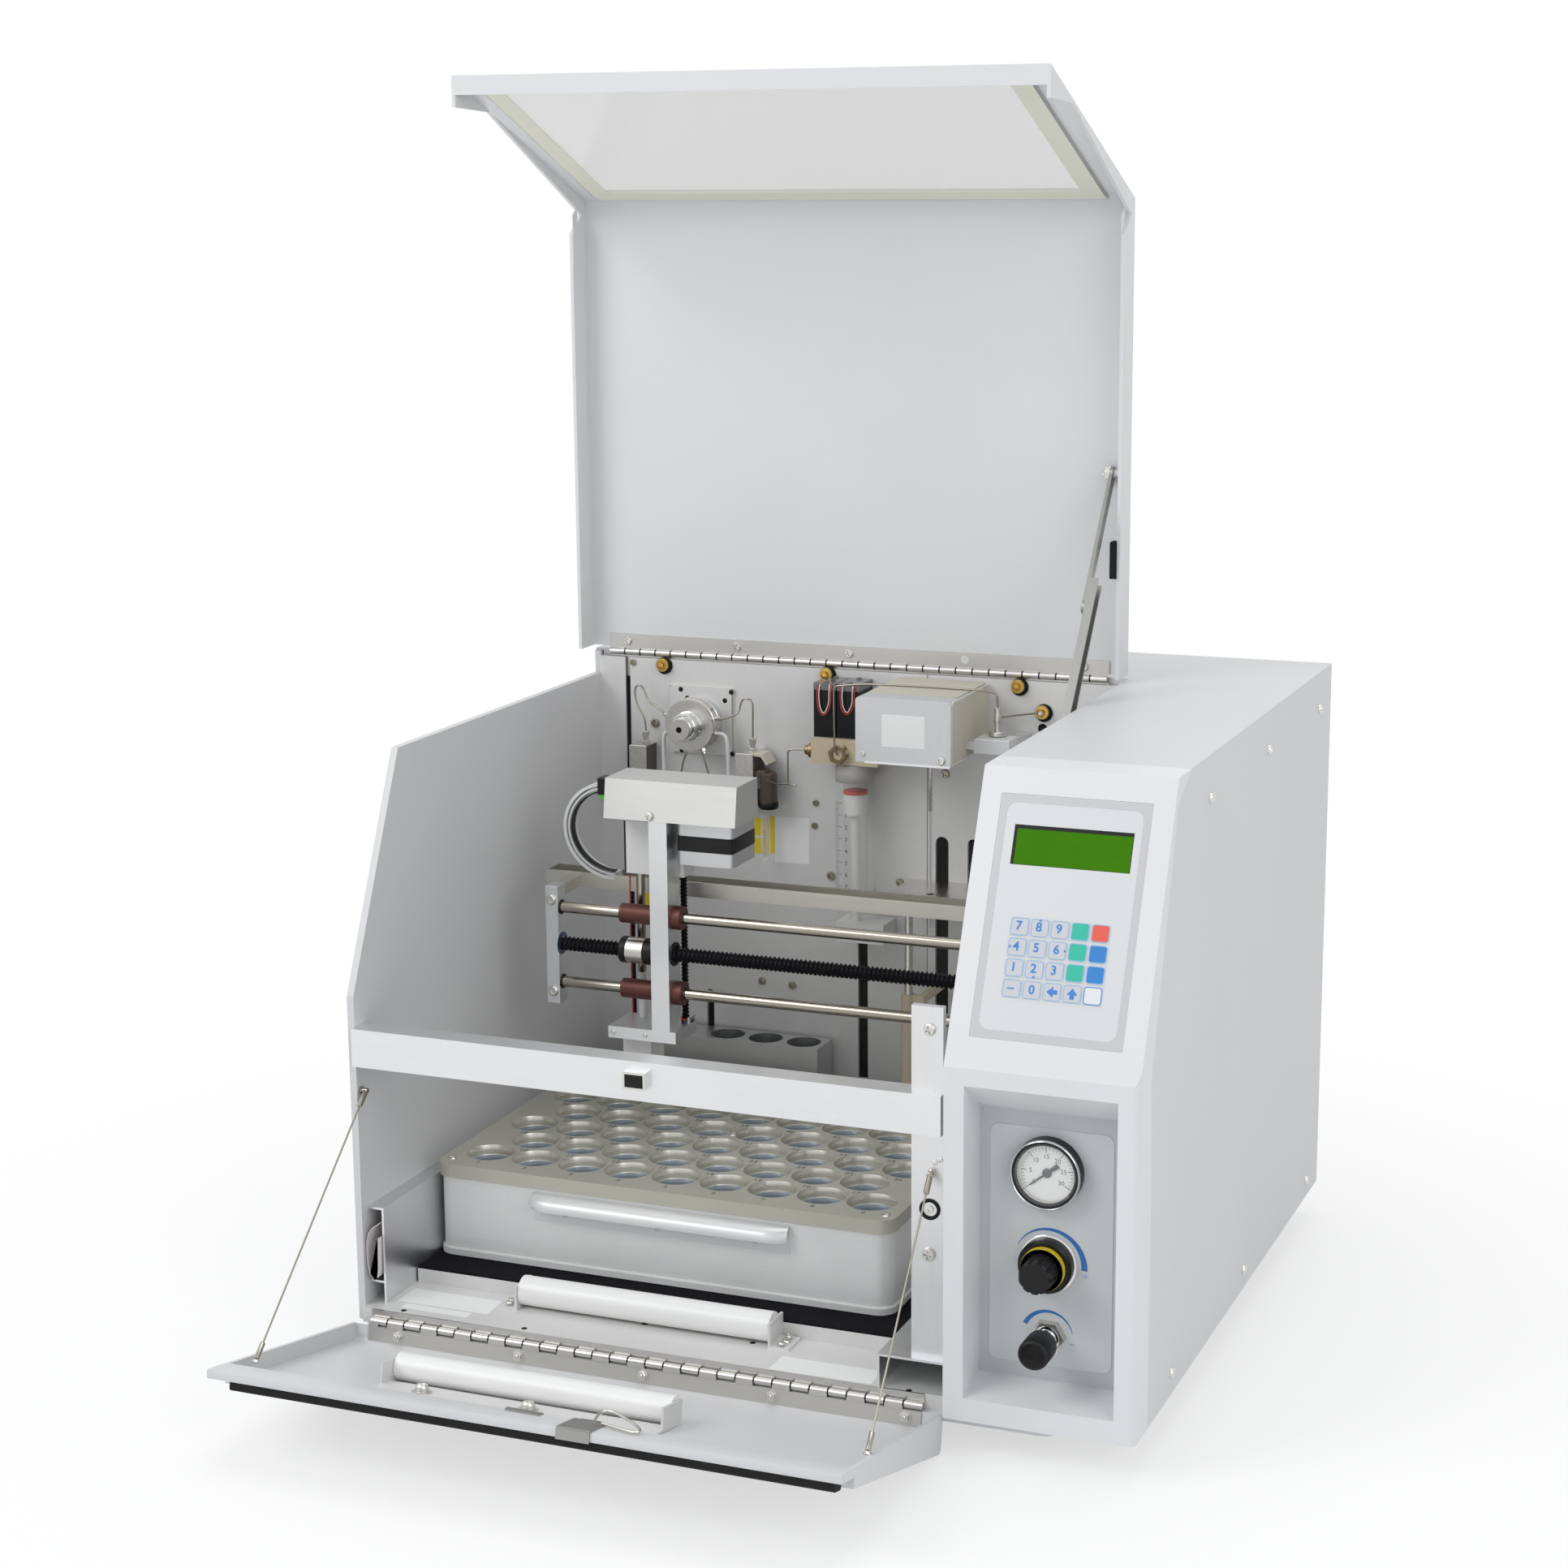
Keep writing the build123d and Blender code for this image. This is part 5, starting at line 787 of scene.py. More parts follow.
key_pitch = 12.7
first_key_u, first_key_v = 36.15, 89.7
key_top = 0.36
key_finishes = (grey_film, key_green, key_red, key_blue, key_white)
key_slots = ((0, 0, 0, 1, 2), (0, 0, 0, 1, 3), (0, 0, 0, 1, 3), (0, 0, 0, 0, 4))
key_tops = Shape()
key_rims = Shape()
for row, slots in enumerate(key_slots):
    for column, slot in enumerate(slots):
        u, v = first_key_u + key_pitch * column, first_key_v - key_pitch * row
        outer = rounded(u - 5.65, v - 5.45, u + 5.65, v + 5.45, 1.8)
        inner = rounded(u - 5.1, v - 4.9, u + 5.1, v + 4.9, 1.4)
        key_tops.plate(inner, on_slope, (0.28, key_top), slot)
        key_rims.frame(outer, inner, on_slope, (0.28, 0.4), 1 if slot == 4 else 0)
key_tops.piece("key_films", "case", *key_finishes)
key_rims.piece("key_outlines", "case", line_blue, key_blue)
digits = [(text, first_key_u + key_pitch * (index % 3) - 0.6, 90.0 - key_pitch * (index // 3))
          for index, text in enumerate("789456123")]
digits += [("0", first_key_u + key_pitch, 51.6)]
letters("key_digits", "case", digits, lambda u, v, rise: on_slope(u, v, key_top + rise), 7.8, digit_blue,
        bold=0.16)


def arrow(u, v, turn, size, tail):
    """A triangle that points to one side, with or without a shaft."""
    shape = [(-size, 0), (size * 0.2, size), (size * 0.2, size * 0.4 * tail), (size, size * 0.4 * tail),
             (size, -size * 0.4 * tail), (size * 0.2, -size * 0.4 * tail), (size * 0.2, -size)]
    cosine, sine = math.cos(turn), math.sin(turn)
    return [(u + x * cosine - y * sine, v + x * sine + y * cosine) for x, y in shape]


arrows = Shape()
for u, v, turn, size, tail in ((61.55, 51.6, 0, 3.4, 1), (74.25, 51.6, -math.pi / 2, 3.4, 1),
                               (48.85, 94.0, -math.pi / 2, 1.1, 0.01), (48.85, 59.8, math.pi / 2, 1.1, 0.01),
                               (31.9, 77.0, 0, 1.1, 0.01), (66.0, 77.0, math.pi, 1.1, 0.01)):
    arrows.plate(arrow(u, v, turn, size, tail), on_slope, (key_top, key_top + 0.1))
arrows.plate([(33.4, 51.1), (37.7, 51.1), (37.7, 52.0), (33.4, 52.0)], on_slope, (key_top, key_top + 0.1))
arrows.piece("key_arrows", "case", digit_blue)
print("keys printed:", sum(len(row) for row in key_slots))

# %% [markdown]
# Below the keypad, a pressure gauge, a regulator and a flow valve sit in a deep recess.
# The gauge's dial is drawn by angle, over the same sweep that its pointer can turn.

# %% Dress the gauge
panel_face = 17.1
gauge_x, gauge_z = 480.5, 159
gauge_front = 8.1
dial_face = gauge_front + 5
sweep_start, sweep = math.radians(218), math.radians(250)
scale_radius = 17.4


def on_dial(radius, share):
    """A place on the dial by its distance from the middle and its share of the sweep."""
    turn = sweep_start - sweep * share
    return (gauge_x + radius * math.cos(turn), gauge_z + radius * math.sin(turn))


Shape().turned((gauge_x, dial_face + 0.1, gauge_z), front, ((0, 18.1), (0.3, 18.1)),
               sides=64).piece("gauge_dial", "case", dial_white)
marks = Shape()
for step in range(61):
    middle = step / 60
    long, wide = (4.2, 0.55) if step % 10 == 0 else (2.6, 0.3) if step % 2 == 0 else (1.6, 0.22)
    half = wide / scale_radius / sweep / 2
    corners = [on_dial(scale_radius, middle - half), on_dial(scale_radius, middle + half),
               on_dial(scale_radius - long, middle + half), on_dial(scale_radius - long, middle - half)]
    marks.plate(corners, facing_front(dial_face - 0.2), (0, 0.08))
marks.piece("gauge_marks", "case", needle_black)
letters("gauge_numbers", "case", [(str(value), *on_dial(10.6, value / 30)) for value in range(0, 35, 5)],
        facing_front(dial_face - 0.2), 4.2, needle_black, lift=0.06)
pointer_turn = sweep_start - math.pi
Shape().turned((gauge_x, dial_face - 0.5, gauge_z), front,
               ((0, 2.6), (0.6, 2.6), (0.9, 2.1), (1.3, 0.8)), sides=24).plate(
    [(gauge_x + along * math.cos(pointer_turn) - side * math.sin(pointer_turn),
      gauge_z + along * math.sin(pointer_turn) + side * math.cos(pointer_turn))
     for along, side in ((1, -1.0), (9, -1.6), (9, 1.6), (1, 1.0))],
    facing_front(dial_face - 0.6), (0, 0.5)).piece("pointer_tail", "needle", needle_black)
Shape().turned((gauge_x, gauge_front, gauge_z), front,
               ((-0.2, 22.5), (0.5, 22.2), (0.9, 21.6), (0.5, 21.1), (-0.2, 20.9)),
               sides=72, wrap=True).piece("gauge_rim", "case", chrome)
Shape().turned((gauge_x, gauge_front, gauge_z), back,
               ((1.6, 19.7), (1.6, 18.2), (4.6, 17.9), (4.7, 19.7)),
               sides=72, wrap=True).piece("gauge_inner_ring", "case", machined_steel)
Shape().turned((gauge_x, gauge_front, gauge_z), front,
               ((0.05, 21.3), (0.35, 20.9), (0.3, 19.9), (0.05, 19.7)),
               sides=72, wrap=True).piece("gauge_black_ring", "case", black_plastic_and_shade)

# %% Dress the regulator and the flow valve
regulator_x, regulator_z = 480.1, 98.9
flow_x, flow_z = 481.4, 51.7


def ribbed(radius, depth, ribs, steps=4):
    """The outline of a grip with ribs round it."""
    count = ribs * steps
    reach = [radius - depth * (0.5 - 0.5 * math.cos(math.tau * step / steps)) for step in range(steps)]
    return [(reach[step % steps] * math.cos(math.tau * step / count),
             reach[step % steps] * math.sin(math.tau * step / count)) for step in range(count)]


def grip(name, body, centre, profile, ribs, depth, finish):
    """A ribbed knob, from pairs of distance out of the panel and radius."""
    x, z = centre
    rings = [[(x + u, panel_face - out, z + v) for u, v in ribbed(radius, min(depth, radius / 4), ribs)]
             for out, radius in profile]
    return Shape().skin(rings).piece(name, body, finish)


Shape().turned((regulator_x, panel_face, regulator_z), front,
               ((0, 18.6), (0.6, 18.6), (0.9, 18.2), (0.9, 17.2), (0, 17.2)), sides=64,
               wrap=True).piece("regulator_washer", "case", chrome)
Shape().turned((regulator_x, panel_face, regulator_z), front,
               ((8.3, 13.9), (12.6, 13.9), (13.3, 13.2), (13.3, 11.0), (8.3, 11.0)), sides=64,
               wrap=True).piece("regulator_yellow_ring", "regulator", yellow_plastic)
grip("regulator_grip", "regulator", (regulator_x, regulator_z),
     ((13.4, 10.9), (26.6, 10.6), (28.0, 9.6), (28.1, 8.4), (27.2, 7.4), (26.6, 2.0)), 22, 0.9, black_rubber_and_shade)
Shape().turned((flow_x, panel_face, flow_z), front,
               ((5.9, 8.6), (6.6, 8.2), (6.9, 6.7), (5.9, 6.6)), sides=40,
               wrap=True).piece("flow_nut_chamfer", "case", chrome)
Shape().turned((flow_x, panel_face, flow_z), front,
               ((6.5, 6.9), (8.0, 6.9), (8.3, 6.65), (13.0, 6.65), (13.2, 6.9), (14.0, 6.9), (14.0, 6.4),
                (6.5, 6.4)), sides=40, wrap=True).piece("flow_neck_sleeve", "case", chrome)
grip("flow_grip", "flow", (flow_x, flow_z),
     ((14.6, 9.5), (15.4, 9.9), (32.9, 9.9), (34.0, 9.0), (34.3, 8.0)), 36, 0.35, black_plastic_and_shade)


def crescent(centre, radius, begin, end, thin, thick, steps=28):
    """A flat arc that grows from thin to thick."""
    x, z = centre
    inner, outer = [], []
    for step in range(steps + 1):
        share = step / steps
        turn = math.radians(begin + (end - begin) * share)
        grow = thin + (thick - thin) * share
        inner.append((x + radius * math.cos(turn), z + radius * math.sin(turn)))
        outer.append((x + (radius + grow) * math.cos(turn), z + (radius + grow) * math.sin(turn)))
    return outer + inner[::-1]


def bar_print(x, z, half, thick):
    return [(x - half, z - thick), (x + half, z - thick), (x + half, z + thick), (x - half, z + thick)]


prints = Shape()
on_panel = facing_front(panel_face)
prints.plate(crescent((regulator_x, regulator_z), 21.6, 152, -4, 0.3, 4.0), on_panel, (0, 0.12))
prints.plate(crescent((flow_x, flow_z), 15.2, 12, 158, 0.3, 3.0), on_panel, (0, 0.12))
prints.piece("panel_arcs", "case", blue_print)
signs = Shape()
signs.plate(bar_print(504.4, 93.8, 2.0, 0.35), on_panel, (0, 0.12))
signs.plate(bar_print(504.4, 93.8, 0.35, 2.0), on_panel, (0.01, 0.13))
signs.plate(bar_print(496.4, 48.0, 1.5, 0.35), on_panel, (0, 0.12))
signs.piece("panel_signs", "case", line_blue)
Shape().frame(rounded(436, 22.2, 530.6, 195.8, 1), rounded(442.6, 32.1, 521.4, 185.9, 6),
              facing_front(17.72), (0, 0.15)).piece("control_panel_border", "case", panel_grey)
print("tower dressed")

# %% [markdown]
# The housing's own screws come next. Each list holds where a screw sits, and the whole set
# is one mesh per body.

# %% Drive the screws of the case
right_side = 544.95
side_screws = [((right_side, y, z), to_right, 3.6) for y, z in (
    (143, 372), (303, 372.8), (463, 372.9), (463, 13.5), (264.8, 14.2), (72.6, 14.7))]
wall_face = 384.9
wall_screws = [((x, wall_face, z), front, size) for x, z, size in (
    (51.2, 345.1, 3.6), (182.8, 292.2, 2.6), (181.7, 274.6, 2.6), (194.7, 236.9, 3.4), (250.1, 236.2, 3.4),
    (137.5, 149, 3.2), (162.5, 148, 3.2), (285.6, 321.7, 3.4), (33.5, 391, 2.6), (378.6, 340, 3.0))]
front_screws = [((252.5, 299.9, 351), front, 2.2), ((311.7, 299.9, 349.5), front, 3.2),
                ((409, -0.1, 246.5), front, 4.0), ((408.7, -0.1, 101.5), front, 4.6)]
deck_screws = [((x, 38, 12.2), upward, 3.2) for x in (97, 297)]
screws("case_screws", "case", side_screws + front_screws + deck_screws)
repeat("wall_screws", "case", cross_head,
       metal("old_brass_screw", (0.40, 0.37, 0.30), 0.3, grain_size=0.0006), wall_screws)

# %% [markdown]
# The back wall of the bay is crowded with small plumbing, and that crowd is what makes the
# instrument look real. It is drawn from left to right: thumbscrews, the rotary valve with
# its steel capillaries, two gas fittings, solenoid valves, syringe and heated needle.

# %% Knurled thumbscrews and slot ends
fitting_brown = metal("fitting_brown", (0.30, 0.22, 0.13), 0.42, grain_size=0.0008)
clear_tube = coated("clear_tube", (0.74, 0.75, 0.76), 0.25, peel=0.004, drift=0.02)
wall = 385
thumb_places = ((59.4, 391), (192.7, 391.4), (342.1, 391.1), (360.6, 373))
# Behind each knob a black ring, set a little down and to the right of the knob.
ring_shapes, thumbs = Shape(), Shape()
for x, z in thumb_places:
    ring_shapes.turned((x + 0.5, wall, z - 0.8), front, ((0, 6.5), (1.4, 6.5), (1.9, 6.0), (1.9, 4)), sides=36)
    rings = [[(x + u, wall - out, z + v) for u, v in ribbed(radius, 0.35, 24)]
             for out, radius in ((1.8, 5.2), (4.6, 5.2), (5.3, 4.7), (5.3, 3.7), (4.3, 3.3), (4.3, 2.5),
                                 (7.0, 2.4), (7.8, 1.2))]
    thumbs.skin(rings)
ring_shapes.piece("thumbscrew_washers", "case", black_rubber_and_shade)
thumbs.piece("thumbscrews", "case", brass)
slot_ends = Shape()
for x, width, high in ((94, 5.9, 138.2), (220.1, 7.8, 208.5), (283.1, 10.2, 273.9), (307.6, 9, 273.9)):
    for side in (-1, 1):
        bow = [(x + side * width / 2 * math.sin(turn), high - width / 2 * (1 - math.cos(turn)))
               for turn in [math.pi / 2 * step / 6 for step in range(7)]]
        slot_ends.plate([(x + side * width / 2, high + 0.05)] + bow, facing_front(wall), (-1.9, 0.02))
slot_ends.piece("slot_round_ends", "case", zinc_plate)

# %% Rotary valve
valve_x, valve_z = 90.5, 350
disc_front = 362


def round_place(radius, degrees):
    """A place about the valve's axis."""
    turn = math.radians(degrees)
    return (valve_x + radius * math.cos(turn), valve_z + radius * math.sin(turn))


Shape().turned((valve_x, disc_front, valve_z), front,
               ((-9.4, 20.3), (-8.6, 20.3), (-8.2, 19.9), (-1.2, 20.0), (0.1, 18.9), (0.9, 16.4),
                (2.2, 12.4), (2.6, 9.6)), sides=64).piece("valve_dome", "case", machined_steel)
Shape().turned((valve_x, disc_front, valve_z), front,
               ((2.4, 11.4), (5.2, 11.2), (5.6, 10.4), (13.6, 10.4), (14.2, 9.8), (14.2, 8.9), (18.0, 8.6),
                (18.6, 7.9), (18.6, 6.2), (18.1, 5.6), (18.1, 2.4), (14, 2.2)),
               sides=48).piece("valve_nose", "case", chrome)
Shape().turned((valve_x, 374, valve_z), back, ((0, 17.6), (0.6, 18.2), (9.6, 18.2), (10.2, 17.6)),
               sides=48).piece("valve_body_sleeve", "case", chrome)
# A black disc at the mouth of the nose's bore: painted shade inside the bore.
Shape().turned((valve_x, disc_front - 18.1, valve_z), front, ((0, 2.4), (0.25, 2.35), (0.25, 0.4)),
               sides=24).piece("valve_bore", "case", black_rubber_and_shade)
Shape().turned((valve_x + 2.6, disc_front - 18.4, valve_z - 4.4), front, ((0, 1.8), (0.5, 1.7), (0.7, 1.1)),
               sides=24).piece("valve_dot", "case", yellow_plastic)
repeat("valve_bolts", "case", socket_head, screw_steel,
       [((x, disc_front - 1.3, z), front, 2.1) for x, z in (round_place(15.4, 128), round_place(15.4, -42),
                                                            round_place(15.4, 212))])
Shape().plate(rounded(valve_x - 25.4, valve_z - 25.4, valve_x + 25.4, valve_z + 25.4, 2),
              facing_front(382.05), (0, 0.15)).piece("valve_plate_face", "case", zinc_plate)
holes = ((74.3, 373.1), (79.7, 366.7), (110.6, 366.5), (115.9, 373.2), (116.2, 325.7), (74.4, 326.0))
# Black discs on the valve plate where its holes are: painted shade inside the holes.
repeat("valve_plate_holes", "case", pin_head, black_rubber_and_shade,
       [((x, 381.9, z), front, (1.9, 1.9, 0.3)) for x, z in holes], spin=0.0)
ports = Shape()
for degrees, y in ((165, 366), (15, 366), (255, 366), (294, 366), (202, 366), (342, 366)):
    u, w = math.cos(math.radians(degrees)), math.sin(math.radians(degrees))
    ports.turned((valve_x + 19.4 * u, y, valve_z + 19.4 * w), (u, 0, w),
                 ((0, 2.3), (2.6, 2.3), (3.1, 1.8), (3.1, 1.3), (4.6, 1.2), (4.6, 0.7)), sides=6)
ports.piece("valve_port_nuts", "case", machined_steel)

# %% Capillaries of the rotary valve
capillaries = {
    "capillary_left": [(69.6, 366, 355.8), (62, 367, 361), (51.5, 371, 364.5), (50.6, 372, 368),
                       (46.5, 372, 376.5), (40.6, 372, 375.5), (40.6, 372, 366), (44.5, 372, 357),
                       (49.2, 372, 350), (49.1, 372, 340)],
    "capillary_right": [(112.3, 366, 354.8), (117, 367, 355.6), (126.5, 371, 359), (127.8, 372, 367.5),
                        (130.5, 372, 371.5), (137.6, 372, 370.5), (137.6, 372, 361), (137.4, 372, 341)],
    "capillary_low_left": [(85.2, 366, 327.6), (82, 366, 320), (79.5, 367, 306), (80, 370, 296)],
    "capillary_low_right": [(98.2, 366, 329.4), (101, 366, 321), (104.5, 367, 306), (104, 370, 296)],
    "manifold_capillary": [(185.4, 357, 338.6), (178, 357, 338.4), (171.7, 357, 337.4), (171.7, 357, 331),
                           (171.7, 357, 315), (171.9, 357, 310.6), (178.4, 357, 310.8)],
    "fitting_capillary": [(150, 366, 311.4), (158, 362, 310.2), (166, 358, 310.8), (172.4, 356.4, 312.0)],
    "needle_transfer_tube": [(214.7, 347, 338.3), (213.6, 345.6, 342), (213.2, 345.4, 352), (213, 345.4, 380),
                             (212.8, 345.4, 389.4), (219, 345, 390.6), (240, 345, 393.3), (300, 345, 393.6),
                             (331, 345, 393.4), (338.4, 345, 391.6), (338.8, 345, 386), (338.8, 345, 380)],
    "tee_branch": [(338.8, 345, 374.4), (346, 356, 374), (353, 370, 373.4), (359.5, 379, 373)],
}
capillary_steel = metal("capillary_steel", (0.34, 0.31, 0.26), 0.22, grain_size=0.0008)
for name, route in capillaries.items():
    tube(name, "case", route, 0.68, capillary_steel)
for name, route in {
        "white_tube_left": [(71.2, 366, 343.4), (68.4, 366, 342.6), (66.6, 366, 339.4), (66.4, 366, 330),
                            (66.2, 367, 300)],
        "white_tube_right": [(109.9, 366, 344.2), (114.5, 366, 344.6), (118.6, 366, 341.6), (119.4, 366, 330),
                             (119.6, 367, 300)]}.items():
    tube(name, "case", route, 1.5, clear_tube)
print("capillaries bent:", len(capillaries))

# %% Gas fittings
fittings = Shape()
for x in (49.1, 137.4):
    fittings.turned((x, 372, 330.6), upward, ((0, 3.2), (2.8, 3.2), (3.3, 2.7)), sides=6)
    fittings.turned((x, 372, 333.6), upward,
                    ((0, 2.2), (3.6, 2.2), (4.0, 3.0), (7.2, 3.0), (7.7, 2.4), (7.7, 1.0)), sides=6)
fittings.piece("gas_nuts", "case", machined_steel)
cream = coated("cream_cap", (0.66, 0.62, 0.52), 0.35, peel=0.0008)
gas_knobs = Shape()
gas_knobs.turned((149.9, 371, 288.4), upward, ((0, 6.6), (1.2, 7.6), (4.4, 7.8), (5.6, 7.0)), slot=1)
gas_knobs.turned((149.9, 371, 293.6), upward, ((0, 6.6), (0.4, 6.75), (21.6, 6.75), (22.4, 6.0)), slot=0,
                 sides=40)
gas_knobs.piece("gas_knobs", "case", coated("regulator_brown", (0.085, 0.062, 0.048), 0.4, peel=0.0008),
                black_plastic_and_shade)
shaded_side_brown = coated("shaded_side_brown", (0.095, 0.078, 0.060), 0.4, peel=0.0008)
gas_blocks = Shape()
gas_blocks.block((37.4, 366.5, 289), (51.6, 384.9, 330.6), edge=0.5)
gas_blocks.block((126.4, 363.5, 289), (140.6, 384.9, 330.6), edge=0.5)
# The thin dark brown sheets on the blocks' right faces are painted shade on the sides turned from the light;
# the small block beside the second block takes the same brown.
gas_blocks.block((51.6, 367.2, 290), (51.9, 384.4, 329.8), slot=1)
gas_blocks.block((140.6, 364.2, 290), (140.9, 384.4, 329.8), slot=1)
gas_blocks.block((140.5, 366, 304), (149, 378, 318), slot=1, edge=1.2)
gas_blocks.plate([(139.6, 330.9), (147.6, 330.9), (152.4, 323.6), (151.2, 322.6), (146.6, 328.8),
                  (139.6, 329.2)], lambda x, z, y: (x, y, z), (364.5, 381), 2)
gas_blocks = gas_blocks.piece("gas_blocks", "case", machined_steel, shaded_side_brown, cream)
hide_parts("gas_fittings")

# %% Solenoid valves and their wires
covers, caps = Shape(), Shape()
for left in (193, 211.3):
    covers.block((left - 0.25, 356.7, 348.9), (left + 17.25, 384.8, 384.4), edge=0.5)
    covers.block((left + 2.2, 356.2, 351.2), (left + 14.8, 356.9, 353.6))
    caps.block((left - 0.3, 356.6, 384.4), (left + 17.3, 384.9, 389.5), edge=0.4)
    for out in (360.6, 380.4):
        caps.turned((left + 8.5, out, 389.3), upward, ((0, 2.1), (1.1, 2.0), (1.4, 1.4)), sides=20)
covers.piece("solenoid_covers", "case", black_plastic_and_shade)
caps.piece("solenoid_caps", "case", coated("smoky_cap", (0.15, 0.15, 0.155), 0.2, peel=0.002))
red_wire = coated("red_wire", (0.55, 0.035, 0.02), 0.4, peel=0.0008)
white_wire = coated("white_wire", (0.78, 0.72, 0.70), 0.4, peel=0.0008)
for count, (left, low) in enumerate(((193, 365.2), (211.3, 366.6))):
    for strand, finish in enumerate((red_wire, white_wire)):
        shift = strand * 1.5
        tube(f"solenoid_wire_{count}_{strand}", "case",
             [(left + 3.4 + shift, 358, 389.6), (left + 3.2 + shift, 354.6, 386.6),
              (left + 3.0 + shift, 355, 376), (left + 4.6 + shift, 354.6, low + 3 + shift),
              (left + 8.6, 354.4, low + shift), (left + 12.4 - shift, 354.6, low + 4 + shift),
              (left + 14.0 - shift, 355, 376), (left + 14.2 - shift, 354.6, 386.6),
              (left + 13.8 - shift, 358, 389.6)], 0.45, finish)
ports = Shape()
ports.turned((214.7, 352.2, 338.3), front,
             ((0, 7.6), (4.8, 7.6), (5.4, 7.0), (5.4, 4.4), (3.0, 4.0), (3.0, 2.0)), sides=6)
ports.turned((192.2, 357, 338.6), to_left,
             ((0, 5.6), (2.8, 5.6), (3.3, 5.0), (3.3, 3.8), (5.8, 3.6), (6.4, 3.0), (6.4, 1.2)), sides=12)
ports.piece("manifold_fittings", "case", fitting_brown)
print("valves dressed")

# %% [markdown]
# The syringe shows how small marks carry a scale. Its graduations are short bars bent round
# the glass: each one is placed by its height and by its angle about the barrel.

# %% Syringe
syringe_x, syringe_y = 221.9, 366
glass_radius = 14.85
zero_height = 301


def round_glass(height, degrees, radius=glass_radius):
    turn = math.radians(degrees)
    return (syringe_x + radius * math.sin(turn), syringe_y - radius * math.cos(turn), height)


scale_marks = Shape()
for step in range(46):
    height = zero_height - step * 1.8
    last = -22 if step % 5 == 0 else -36
    low_row = [round_glass(height, degrees) for degrees in range(-62, last + 1, 4)]
    scale_marks.skin([[(x, y, z + rise) for x, y, z in low_row]
                      + [round_glass(z + rise, degrees, 14.7)[:2] + (z + rise,)
                         for degrees, (x, y, z) in reversed(list(zip(range(-62, last + 1, 4), low_row)))]
                      for rise in (-0.14, 0.14)])
scale_marks.piece("syringe_scale", "case", needle_black)
letters("syringe_numbers", "case", [(str(step), 0, zero_height - step * 9) for step in range(1, 9)],
        lambda u, v, rise: round_glass(v, -8 + math.degrees(u / glass_radius), 14.8 + rise), 4.4,
        needle_black)
Shape().turned((syringe_x, syringe_y, 318), upward,
               ((-1.6, 15.0), (-1.2, 15.3), (5.4, 15.3), (6.0, 14.9), (11.6, 14.7)), sides=48).piece(
    "syringe_collar", "case", coated("smoky_collar", (0.40, 0.39, 0.36), 0.3, peel=0.001))
Shape().turned((syringe_x, syringe_y, 300), upward,
               ((2.6, 9.0), (3.0, 9.1), (3.6, 8.4), (4.2, 9.1), (4.8, 8.4), (5.4, 9.1), (6.2, 9.0)),
               sides=40).piece("plunger_ribs", "plunger", white_plastic)
Shape().turned((syringe_x, syringe_y, 306.4), upward, ((0, 9.0), (0.3, 9.15), (2.0, 9.15), (2.4, 8.6)),
               sides=40).piece("plunger_red_ring", "plunger",
                               coated("red_seal", (0.62, 0.06, 0.03), 0.4, peel=0.0008))

# %% Heater, needle and tee
foam = coated("cream_insulation", (0.60, 0.575, 0.485), 0.75, peel=0.0022, depth=0.0003, drift=0.08)
Shape().frame(rounded(302, 345.4, 384.6, 391.6, 2.5), rounded(304, 347.4, 382.6, 389.6, 2.5),
              lambda y, z, rise: (318.8 + rise, y, z), (-0.3, 0.25)).plate(
    rounded(303, 346.4, 383.6, 390.6, 2.5), lambda y, z, rise: (318.8 + rise, y, z), (-0.3, 0.45), 1).piece(
    "heater_side_foam", "case", tray_sheet, foam)
Shape().plate(rounded(250, 318, 317.6, 384, 4), lying(392), (-0.4, 0.5)).piece("heater_top_foam", "case",
                                                                               foam)
Shape().block((254, 299.6, 344.2), (318.2, 300.3, 345.6)).piece("heater_lower_fold", "case", brushed_bar)
tee = Shape()
tee.turned((338.8, 345, 366.6), upward,
           ((0, 1.3), (0.3, 2.4), (4, 2.5), (5.4, 2.9), (9, 2.9), (10.4, 2.5), (14.6, 2.4), (15.2, 1.3)),
           sides=24)
tee.turned((338.8, 345, 361.2), upward,
           ((0, 6.2), (0.4, 6.6), (3.0, 6.6), (3.4, 6.2), (3.4, 2.2), (5.6, 2.0)), sides=32)
tee.turned((360.6, 377.2, 373), back, ((-1.2, 1.4), (0.2, 2.2), (1.8, 2.2)), sides=6)
tee.piece("needle_tee", "case", machined_steel)
Shape().block((326, 330, 350.4), (352.4, 350, 360.9), edge=0.8).turned((338.8, 345, 343.6), upward,
                                                                       ((0, 2.2), (6.9, 2.4)),
                                                                       sides=20).piece("needle_clear_block",
                                                                                       "case", clear_tube)
Shape().block((319.2, 332, 352.6), (327, 347, 358.4), edge=0.6).block(
    (340, 350, 351.6), (351.6, 384.9, 357.4), edge=0.6).piece("needle_arm", "case", brushed_bar)
Shape().turned((360.1, 384.9, 360.7), front, ((0, 3.4), (0.5, 3.4), (0.8, 3.0), (0.4, 1.9), (0.1, 1.8)),
               sides=28).piece("wall_grommet", "case", black_metal_and_shade)
Shape().turned((288, 345, 302), upward, ((0, 0.9), (0.8, 1.35), (42, 1.45), (43.2, 1.45)), sides=20).piece(
    "needle_sleeve", "case", machined_steel)
Shape().turned((288, 345, 240.05), upward, ((0, 2.4), (0.25, 2.3), (0.25, 1.2), (0, 1.1)), sides=28,
               wrap=True).piece("needle_plate_ring", "case", black_metal_and_shade)
tube("bulb_tube", "case", [(145.5, 374, 247), (145.5, 374, 260), (145.5, 374, 284)], 3.4,
     clear("bulb_glass", (0.88, 0.90, 0.90), 0.05, 0.22))
tube("bulb_rod", "case", [(145.5, 374, 250), (145.5, 374, 266), (145.5, 374, 288)], 0.9, machined_steel)

